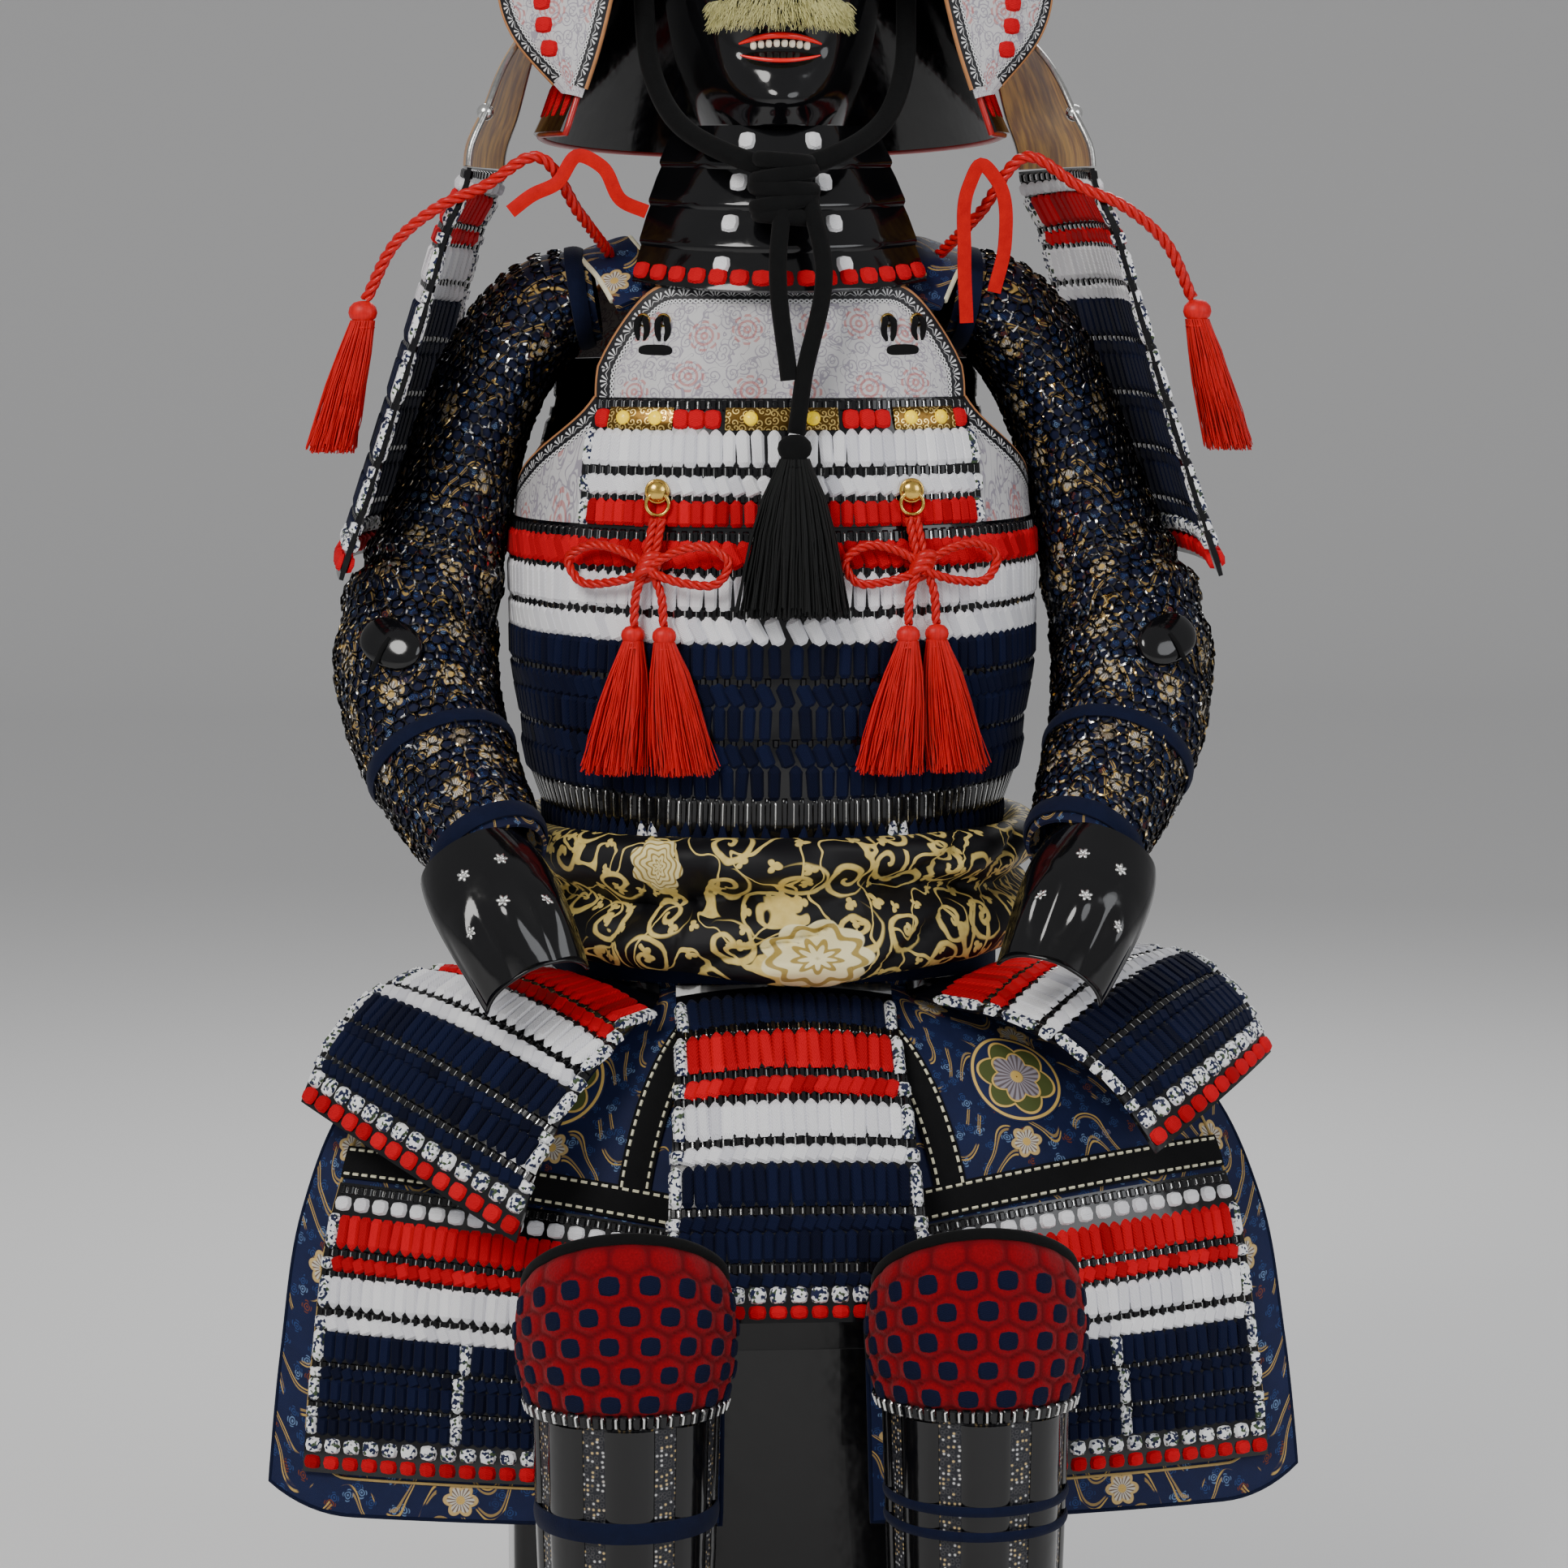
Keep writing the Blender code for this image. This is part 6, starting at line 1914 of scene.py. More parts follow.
@dataclass(frozen=True)
class NavyBrocade:
    """Navy silk with winding gold lines, pale blue leaves and white and gold flowers."""

    name: str
    ground: Colour = (0.0042, 0.0078, 0.036)
    scale: float = 1.0

    def make(self) -> bpy.types.Material:
        """Builds the material.

        Returns:
            The material.
        """
        s = Shader(self.name, 0.60, 0.0, Sheen_Weight=0.04, Specular_IOR_Level=0.20)
        vector, _, _ = s.uv()
        k = self.scale
        bent = s.warped(vector, 0.055 * k, 0.030 * k)
        colour = s.mix(s.noise(vector, 0.02, 3), self.ground, tuple(c * 1.9 for c in self.ground))
        leaf = s.cells(s.warped(vector, 0.010 * k, 0.004 * k), 0.0115 * k, 1.0)
        leaves = s.math("MULTIPLY", s.petals(leaf, 4, 0.0046 * k, 0.55), s.step(leaf["chance"], 0.30, 0.34))
        veins = s.step(s.math("SINE", s.math("MULTIPLY", leaf["radius"], 2 * math.pi / (0.0017 * k))), -0.5,
                       0.3)
        leaves = s.math("MULTIPLY", leaves, veins)
        hue = s.mix(s.step(leaf["other"], 0.60, 0.66), (0.018, 0.045, 0.155), (0.12, 0.20, 0.36))
        hue = s.mix(s.step(leaf["other"], 0.88, 0.92), hue, (0.16, 0.035, 0.014))
        colour = s.mix(leaves, colour, hue)
        parts = s.node("ShaderNodeSeparateXYZ", {0: bent})
        wave = s.math("MULTIPLY", s.math("SINE",
                                         s.math("MULTIPLY", parts.outputs[0], 2 * math.pi / (0.070 * k))),
                      0.020 * k)
        rise = s.math("ADD", parts.outputs[1], wave)
        stripe = s.math("PINGPONG", rise, 0.022 * k)
        arc = s.band(stripe, 0.011 * k, 0.0006 * k, 0.0004 * k)
        second = s.band(stripe, 0.0141 * k, 0.0008 * k, 0.0003 * k)
        lines = s.math("MAXIMUM", arc, s.math("MULTIPLY", second, 0.6))
        broken = s.step(s.noise(vector, 0.030 * k, 1), 0.47, 0.50)
        lines = s.math("MULTIPLY", lines, broken)
        colour = s.mix(lines, colour, (0.52, 0.34, 0.10))
        flower = s.cells(vector, 0.052 * k, 0.75)
        chosen = s.step(flower["chance"], 0.30, 0.32)
        bloom = s.math("MULTIPLY", s.petals(flower, 6, 0.0125 * k, 0.28), chosen)
        inner = s.math("MULTIPLY", s.petals(flower, 6, 0.0098 * k, 0.34), chosen)
        heart = s.math("MULTIPLY", s.step(flower["radius"], 0.0034 * k, 0.0028 * k), chosen)
        rays = s.step(s.math("SINE", s.math("MULTIPLY", flower["angle"], 18)), 0.1, 0.5)
        bloom_hue = s.mix(rays, (0.62, 0.58, 0.50), (0.20, 0.14, 0.10))
        colour = s.mix(bloom, colour, (0.60, 0.42, 0.17))
        colour = s.mix(inner, colour, bloom_hue)
        colour = s.mix(heart, colour, (0.65, 0.43, 0.13))
        s.colour(colour)
        raised = s.math("ADD", s.math("MAXIMUM", lines, bloom), s.math("MULTIPLY", leaves, 0.6))
        s.bump(raised, 0.0005, 0.7)
        s.bump(s.weave(0.0012), 0.00012, 0.5)
        return s.material


@dataclass(frozen=True)
class ScrollBrocade:
    """Black satin figured with gold curls and leaves."""

    name: str
    cell: float = 0.038
    flower: tuple = (0.020, 0.617, 0.043, 0.026)

    def make(self) -> bpy.types.Material:
        """Builds the material.

        Returns:
            The material.
        """
        s = Shader(self.name, 0.42, 0.0, Specular_IOR_Level=0.25)
        vector, _, _ = s.uv()
        bent = s.warped(vector, 0.020, 0.008)
        curl = s.cells(bent, self.cell, 0.65)
        line = s.spiral(curl, 0.0112, self.cell * 0.46, 0.24)
        small = s.cells(s.warped(vector, 0.012, 0.006), self.cell * 0.42, 0.9)
        bud = s.math("MULTIPLY", s.petals(small, 3, 0.0042, 0.6), s.step(small["chance"], 0.45, 0.48))
        vein = s.band(s.noise(bent, 0.036, 1, 0.6), 0.5, 0.014, 0.006)
        gold = s.math("MAXIMUM", s.math("MAXIMUM", line, bud), vein)
        flower = s.cells(vector, self.cell * 2.6, 0.55)
        chosen = s.step(flower["chance"], 0.55, 0.57)
        bloom = s.math("MULTIPLY", s.petals(flower, 7, 0.021, 0.22), chosen)
        rays = s.step(s.math("SINE", s.math("ADD", s.math("MULTIPLY", flower["radius"], 1500), s.math(
            "MULTIPLY", s.math("SINE", s.math("MULTIPLY", flower["angle"], 7)), 2.0))), -0.7, -0.3)
        bright = s.mix(s.noise(vector, 0.004, 2), (0.62, 0.42, 0.085), (0.88, 0.72, 0.26))
        colour = s.mix(gold, (0.0048, 0.0046, 0.0060), bright)
        colour = s.mix(bloom, colour, s.mix(rays, (0.40, 0.28, 0.07), (0.88, 0.76, 0.38)))
        large, inner = self.peony(s)
        colour = s.mix(large, colour, s.mix(inner, (0.42, 0.30, 0.08), (0.92, 0.82, 0.46)))
        s.colour(colour)
        raised = s.math("MAXIMUM", s.math("MAXIMUM", gold, bloom), s.math("MULTIPLY", large, inner))
        s.rough(s.math("MULTIPLY_ADD", raised, -0.08, 0.50))
        s.bump(raised, 0.0005, 0.7)
        s.bump(s.weave(0.0010), 0.00010, 0.5)
        return s.material

    def peony(self, s: Shader) -> tuple[Socket, Socket]:
        """One large open flower low on the front roll, and the lighter parts of its petals.

        Args:
            s: the material that it is drawn in.

        Returns:
            The flower's area, and the lighter parts in it.
        """
        parts = s.node("ShaderNodeSeparateXYZ", {0: s.place()})
        x = s.math("DIVIDE", s.math("SUBTRACT", parts.outputs[0], self.flower[0]), self.flower[2])
        z = s.math("DIVIDE", s.math("SUBTRACT", parts.outputs[2], self.flower[1]), self.flower[3])
        away = s.math("SQRT", s.math("ADD", s.math("MULTIPLY", x, x), s.math("MULTIPLY", z, z)))
        angle = s.math("ARCTAN2", z, x)
        lobes = s.math("ABSOLUTE", s.math("COSINE", s.math("MULTIPLY", angle, 4.5)))
        edge = s.math("MULTIPLY_ADD", lobes, 0.16, 0.82)
        front = s.step(parts.outputs[1], 0.05, 0.0)
        inside = s.math("MULTIPLY", s.step(s.math("SUBTRACT", away, edge), 0.02, -0.02), front)
        wound = s.math("ADD", s.math("MULTIPLY", away, 15.0), s.math("MULTIPLY", s.math(
            "SINE", s.math("MULTIPLY", angle, 9)), 1.3))
        return inside, s.step(s.math("SINE", wound), -0.75, -0.35)


@dataclass(frozen=True)
class PrintedLeather:
    """Pale grey leather printed with fine grey curls and faint red medallions."""

    name: str

    def make(self) -> bpy.types.Material:
        """Builds the material.

        Returns:
            The material.
        """
        s = Shader(self.name, 0.55, 0.0, Specular_IOR_Level=0.35)
        vector, _, _ = s.uv()
        colour = s.mix(s.noise(vector, 0.03, 3), (0.52, 0.51, 0.52), (0.66, 0.65, 0.655))
        curl = s.cells(s.warped(vector, 0.010, 0.004), 0.0125, 0.8)
        line = s.math("MAXIMUM", s.spiral(curl, 0.0030, 0.0062, 0.20),
                      s.band(s.noise(vector, 0.011, 1, 1.0), 0.5, 0.016, 0.008))
        colour = s.mix(s.math("MULTIPLY", line, 0.72), colour, (0.23, 0.20, 0.27))
        medal = s.cells(vector, 0.040, 0.30)
        star = s.petals(medal, 8, 0.0125, 0.35)
        rings = s.band(s.math("PINGPONG", medal["radius"], 0.0021), 0.0021, 0.0008, 0.0003)
        colour = s.mix(s.math("MULTIPLY", s.math("MULTIPLY", star, rings), 0.60), colour, (0.50, 0.10, 0.08))
        s.colour(colour)
        s.bump(s.noise(vector, 0.0016, 3), 0.0003, 0.4)
        return s.material


@dataclass(frozen=True)
class FanBorder:
    """Black leather edging printed with white fans and a chain of small links."""

    name: str
    pitch: float = 0.0115
    width: float = 0.015

    def make(self) -> bpy.types.Material:
        """Builds the material.

        Returns:
            The material.
        """
        s = Shader(self.name, 0.5, 0.0, Specular_IOR_Level=0.35)
        _, along, into = s.uv()
        here = s.math("WRAP", along, self.pitch / 2, -self.pitch / 2)
        lift = s.math("SUBTRACT", into, 0.0105)
        radius = s.math("SQRT", s.math("ADD", s.math("MULTIPLY", here, here),
                                       s.math("MULTIPLY", lift, lift)))
        angle = s.math("ARCTAN2", here, s.math("MULTIPLY", lift, -1.0))
        rays = s.step(s.math("COSINE", s.math("MULTIPLY", angle, 11)), 0.05, 0.45)
        fan = s.math("MULTIPLY", s.band(radius, 0.0046, 0.0026, 0.0003), rays)
        fan = s.math("MULTIPLY", fan, s.step(s.math("ABSOLUTE", angle), 1.15, 1.05))
        link = s.math("WRAP", along, 0.0020, -0.0020)
        chain = s.math("SUBTRACT", into, 0.0130)
        oval = s.math("SQRT", s.math("ADD", s.math("MULTIPLY", s.math("MULTIPLY", link, link), 0.55),
                                     s.math("MULTIPLY", chain, chain)))
        links = s.band(oval, 0.0011, 0.00035, 0.0002)
        s.colour(s.mix(s.math("MAXIMUM", fan, links), (0.010, 0.010, 0.013), (0.72, 0.72, 0.73)))
        return s.material


@dataclass(frozen=True)
class GoldFacing:
    """Tan leather rubbed with gold, streaked along its length."""

    name: str

    def make(self) -> bpy.types.Material:
        """Builds the material.

        Returns:
            The material.
        """
        s = Shader(self.name, 0.34, 0.35, Coat_Weight=0.25, Coat_Roughness=0.2)
        place = s.place()
        streak = s.noise(s.node("ShaderNodeMapping", {"Vector": place, "Scale": (1, 1, 0.22)}).outputs[0],
                         0.010, 4)
        s.colour(s.mix(s.step(streak, 0.30, 0.72), (0.36, 0.125, 0.012), (0.95, 0.50, 0.07)))
        s.bump(streak, 0.0008, 0.5)
        return s.material


@dataclass(frozen=True)
class Wood:
    """Plain planed wood."""

    name: str

    def make(self) -> bpy.types.Material:
        """Builds the material.

        Returns:
            The material.
        """
        s = Shader(self.name, 0.5)
        grain = s.node("ShaderNodeMapping", {"Vector": s.place(), "Scale": (1, 1, 0.08)}).outputs[0]
        ring = s.noise(grain, 0.006, 4, 0.6)
        s.colour(s.mix(ring, (0.10, 0.052, 0.022), (0.26, 0.15, 0.07)))
        s.bump(ring, 0.0006, 0.5)
        return s.material


@dataclass(frozen=True)
class Thread:
    """Loose silk or cotton strands."""

    name: str
    colour: Colour
    roughness: float = 0.55
    sheen: float = 0.4

    def make(self) -> bpy.types.Material:
        """Builds the material.

        Returns:
            The material.
        """
        s = Shader(self.name, self.roughness, 0.0, Sheen_Weight=self.sheen, Specular_IOR_Level=0.3)
        streak = s.noise(s.node("ShaderNodeMapping", {"Vector": s.place(), "Scale": (1, 1, 0.1)}).outputs[0],
                         0.0016, 2)
        s.colour(s.mix(streak, tuple(c * 0.60 for c in self.colour),
                       tuple(min(1.0, c * 1.3) for c in self.colour)))
        return s.material


@dataclass(frozen=True)
class SilkPly:
    """One glossy ply of a silk cord, of fine threads laid along it."""

    name: str
    colour: Colour = (0.62, 0.0030, 0.0036)

    def make(self) -> bpy.types.Material:
        """Builds the material.

        Returns:
            The material.
        """
        s = Shader(self.name, 0.34, 0.0, Sheen_Weight=0.04, Specular_IOR_Level=0.38)
        place = s.place()
        streak = s.noise(place, 0.0011, 2)
        s.colour(s.mix(streak, tuple(c * 0.62 for c in self.colour),
                       tuple(min(1.0, c * 1.2) for c in self.colour)))
        s.bump(streak, 0.0003, 0.5)
        return s.material


@dataclass(frozen=True)
class ShinMail:
    """Dark cloth under fine mail, with glints of gold and silver."""

    name: str

    def make(self) -> bpy.types.Material:
        """Builds the material.

        Returns:
            The material.
        """
        s = Shader(self.name, 0.42, 0.0, Specular_IOR_Level=0.5)
        vector, _, _ = s.uv()
        link = s.cells(vector, 0.0034, 0.55)
        wire = s.band(link["radius"], 0.0012, 0.0003, 0.0002)
        glint = s.step(link["chance"], 0.48, 0.53)
        gold = s.mix(s.step(link["other"], 0.45, 0.55), (0.66, 0.47, 0.20), (0.62, 0.62, 0.62))
        colour = s.mix(wire, (0.0060, 0.0070, 0.013), (0.045, 0.045, 0.050))
        s.colour(s.mix(s.math("MULTIPLY", glint, s.step(link["radius"], 0.0011, 0.0007)), colour, gold))
        s.bump(wire, 0.0008)
        return s.material


class Finishes:
    """Every finish of the suit, made once and read by name."""

    def __init__(self) -> None:
        """Builds the materials."""
        self.lacquer = Lacquer("black_lacquer").make()
        self.lame = Lacquer("lame_lacquer", (0.0020, 0.0020, 0.0026), 0.14).make()
        self.box = Lacquer("box_lacquer", (0.0026, 0.0026, 0.0030), 0.16, 0.0008).make()
        self.navy = Braid("navy_braid", (0.0046, 0.0082, 0.036), (0.0010, 0.0018, 0.0085), 0.03).make()
        self.white = Braid("white_braid", (0.97, 0.97, 0.99), (0.66, 0.66, 0.72), 0.10).make()
        self.red = Braid("red_braid", (0.74, 0.0022, 0.0135), (0.30, 0.0006, 0.0045), 0.02).make()
        self.speckled = SpeckledBraid("speckled_braid").make()
        # silver metal for the real studs and ball, and for the painted highlights between lame heads
        self.silver = Metal("silver_studs_and_glints", (0.95, 0.95, 0.93), 0.20).make()
        self.gilt = Metal("gilt", (1.0, 0.66, 0.16), 0.20).make()
        self.filigree = Filigree("gilt_filigree").make()
        self.brocade = NavyBrocade("navy_brocade").make()
        self.sleeve_cloth = NavyBrocade("sleeve_brocade", (0.0034, 0.0058, 0.024), 0.8).make()
        self.scrolls = ScrollBrocade("scroll_brocade").make()
        self.leather = PrintedLeather("printed_leather").make()
        self.fans = FanBorder("fan_border").make()
        self.facing = GoldFacing("gold_facing").make()
        self.mail = IronMail("iron_mail").make()
        self.piping = Cloth("copper_piping", (0.50, 0.22, 0.09), 0.0012, 0.5).make()
        self.black_band = Cloth("black_band", (0.0050, 0.0050, 0.0056), 0.0010, 0.8).make()
        self.cream = Cloth("cream_stitching", (0.86, 0.80, 0.58), 0.0008).make()
        self.quilt = Quilted("red_quilt").make()
        self.rosette = Rosette("rosette").make()
        self.tie = Cloth("navy_tie", (0.0040, 0.0070, 0.027), 0.0012, 0.85).make()
        self.gold_cord = Cloth("gold_cord", (0.42, 0.29, 0.11), 0.0008, 0.6).make()
        self.ribbon = Cloth("red_ribbon", (0.56, 0.0026, 0.0036), 0.0009, 0.6).make()
        self.silk_ply = SilkPly("red_silk_ply").make()
        self.rim_silver = Metal("silver_rim", (0.62, 0.62, 0.60), 0.30).make()
        self.shin_mail = ShinMail("shin_mail").make()
        self.cotton = Cloth("black_cotton", (0.0048, 0.0050, 0.0052), 0.0016, 0.95).make()
        self.silk = Thread("red_silk", (0.66, 0.0034, 0.0040), 0.45, 0.05).make()
        self.cotton_strand = Thread("black_strand", (0.0050, 0.0056, 0.0056), 0.8, 0.03).make()
        self.plush = Thread("pale_plush", (0.95, 0.80, 0.34), 0.8, 0.3).make()
        self.lip = Lacquer("red_lip", (0.58, 0.004, 0.004), 0.2).make()
        self.rim = Lacquer("red_rim", (0.26, 0.010, 0.010), 0.3).make()
        self.ivory = Lacquer("ivory_teeth", (0.62, 0.58, 0.46), 0.25).make()
        self.yellow = Lacquer("yellow_bead", (0.90, 0.62, 0.01), 0.25).make()
        self.wood = Wood("stand_wood").make()

    def dyes(self) -> dict:
        """The material of each dye of the lacing."""
        return {Dye.NAVY: self.navy, Dye.WHITE: self.white, Dye.RED: self.red, Dye.PATTERN: self.speckled,
                Dye.LACQUER: self.lame, Dye.SILVER_GLINT: self.silver, Dye.GILT: self.gilt}


# Laced panels

@dataclass(frozen=True)
class Row:
    """One row of a laced panel: its kind, its dye and where it lies down the panel."""

    kind: Strip
    dye: Dye
    top: float
    bottom: float


def rows_of(*table: tuple) -> list[Row]:
    """Rows from a table of kind, dye, top and bottom share."""
    return [Row(*entry) for entry in table]


def stretched(share: float, rows: list[Row]) -> list[Row]:
    """The rows spread towards the top of the panel by a share of their distance from its foot."""
    return [Row(r.kind, r.dye, 1 - (1 + share) * (1 - r.top),
                1 - (1 + share) * (1 - r.bottom)) for r in rows]


# S lays silver strips between the lame heads of a row: painted highlights standing for their glints
N, W, R, P, S = Dye.NAVY, Dye.WHITE, Dye.RED, Dye.PATTERN, Dye.SILVER_GLINT
LONG, SLANT, HEADS, SQUARES = Strip.LONG, Strip.SLANT, Strip.HEADS, Strip.SQUARES

FRONT_TASSET_ROWS = stretched(0.10, rows_of(
    (LONG, N, 0.160, 0.268), (HEADS, S, 0.265, 0.300), (LONG, R, 0.292, 0.408), (HEADS, S, 0.404, 0.434),
    (SLANT, R, 0.430, 0.470), (HEADS, S, 0.468, 0.498), (LONG, W, 0.488, 0.580), (HEADS, S, 0.576, 0.606),
    (SLANT, W, 0.600, 0.636), (LONG, N, 0.640, 0.740), (HEADS, S, 0.738, 0.762), (SLANT, N, 0.760, 0.792),
    (LONG, N, 0.790, 0.862), (HEADS, S, 0.860, 0.890), (SLANT, N, 0.888, 0.914),
    (SQUARES, P, 0.916, 0.954), (SQUARES, R, 0.960, 0.990),
))
SIDE_TASSET_ROWS = rows_of(
    (LONG, R, 0.170, 0.330), (HEADS, S, 0.326, 0.354), (SLANT, R, 0.350, 0.394), (HEADS, S, 0.392, 0.416),
    (LONG, W, 0.408, 0.520), (HEADS, S, 0.516, 0.540), (SLANT, W, 0.536, 0.580), (LONG, N, 0.584, 0.690),
    (HEADS, S, 0.686, 0.712), (SLANT, N, 0.708, 0.740), (LONG, N, 0.738, 0.822), (HEADS, S, 0.820, 0.846),
    (SLANT, N, 0.842, 0.876), (SQUARES, P, 0.884, 0.934), (SQUARES, R, 0.944, 0.988),
)
THIGH_ROWS = rows_of(
    (HEADS, S, 0.008, 0.040), (SQUARES, W, 0.044, 0.096), (LONG, R, 0.106, 0.224), (HEADS, S, 0.220, 0.252),
    (SLANT, R, 0.250, 0.294), (HEADS, S, 0.292, 0.318), (LONG, W, 0.312, 0.428), (HEADS, S, 0.424, 0.456),
    (SLANT, W, 0.452, 0.502), (LONG, N, 0.504, 0.612), (HEADS, S, 0.610, 0.632), (SLANT, N, 0.630, 0.668),
    (LONG, N, 0.668, 0.752), (HEADS, S, 0.750, 0.770), (SLANT, N, 0.768, 0.804), (LONG, N, 0.804, 0.868),
    (SQUARES, P, 0.876, 0.928), (SQUARES, R, 0.938, 0.986),
)
SHOULDER_ROWS = rows_of(
    (HEADS, S, 0.006, 0.028), (SQUARES, W, 0.030, 0.062), (LONG, R, 0.070, 0.150), (HEADS, S, 0.148, 0.168),
    (SLANT, R, 0.166, 0.194), (HEADS, S, 0.192, 0.210), (LONG, W, 0.206, 0.290), (HEADS, S, 0.288, 0.308),
    (SLANT, W, 0.306, 0.336), (LONG, N, 0.338, 0.436), (HEADS, S, 0.434, 0.452), (SLANT, N, 0.450, 0.480),
    (LONG, N, 0.480, 0.576), (HEADS, S, 0.574, 0.592), (SLANT, N, 0.590, 0.620), (LONG, N, 0.620, 0.716),
    (HEADS, S, 0.714, 0.732), (SLANT, N, 0.730, 0.760), (LONG, N, 0.760, 0.850), (HEADS, S, 0.848, 0.866),
    (SLANT, N, 0.864, 0.892), (SQUARES, P, 0.900, 0.936), (SQUARES, R, 0.944, 0.984),
)
BACK_TASSET_ROWS = SIDE_TASSET_ROWS
TORSO_ROWS = rows_of(
    (HEADS, S, 0.010, 0.052), (SLANT, R, 0.046, 0.122), (HEADS, S, 0.120, 0.158), (LONG, W, 0.146, 0.262),
    (HEADS, S, 0.258, 0.296), (SLANT, W, 0.290, 0.366), (LONG, N, 0.368, 0.480), (HEADS, N, 0.478, 0.506),
    (SLANT, N, 0.502, 0.566), (LONG, N, 0.566, 0.680), (HEADS, N, 0.678, 0.704), (SLANT, N, 0.700, 0.762),
    (LONG, N, 0.762, 0.872), (HEADS, S, 0.868, 0.992),
)
CHEST_ROWS = rows_of(
    (HEADS, S, 0.012, 0.100), (LONG, W, 0.250, 0.532), (HEADS, S, 0.522, 0.618), (SLANT, W, 0.610, 0.740),
    (HEADS, S, 0.730, 0.815), (LONG, R, 0.795, 0.995),
)
BACK_ROWS = rows_of(
    (HEADS, S, 0.010, 0.070), (LONG, N, 0.060, 0.270), (HEADS, S, 0.262, 0.320), (SLANT, N, 0.314, 0.400),
    (LONG, W, 0.400, 0.600), (HEADS, S, 0.592, 0.650), (SLANT, W, 0.644, 0.740), (HEADS, S, 0.732, 0.790),
    (LONG, R, 0.780, 0.990),
)


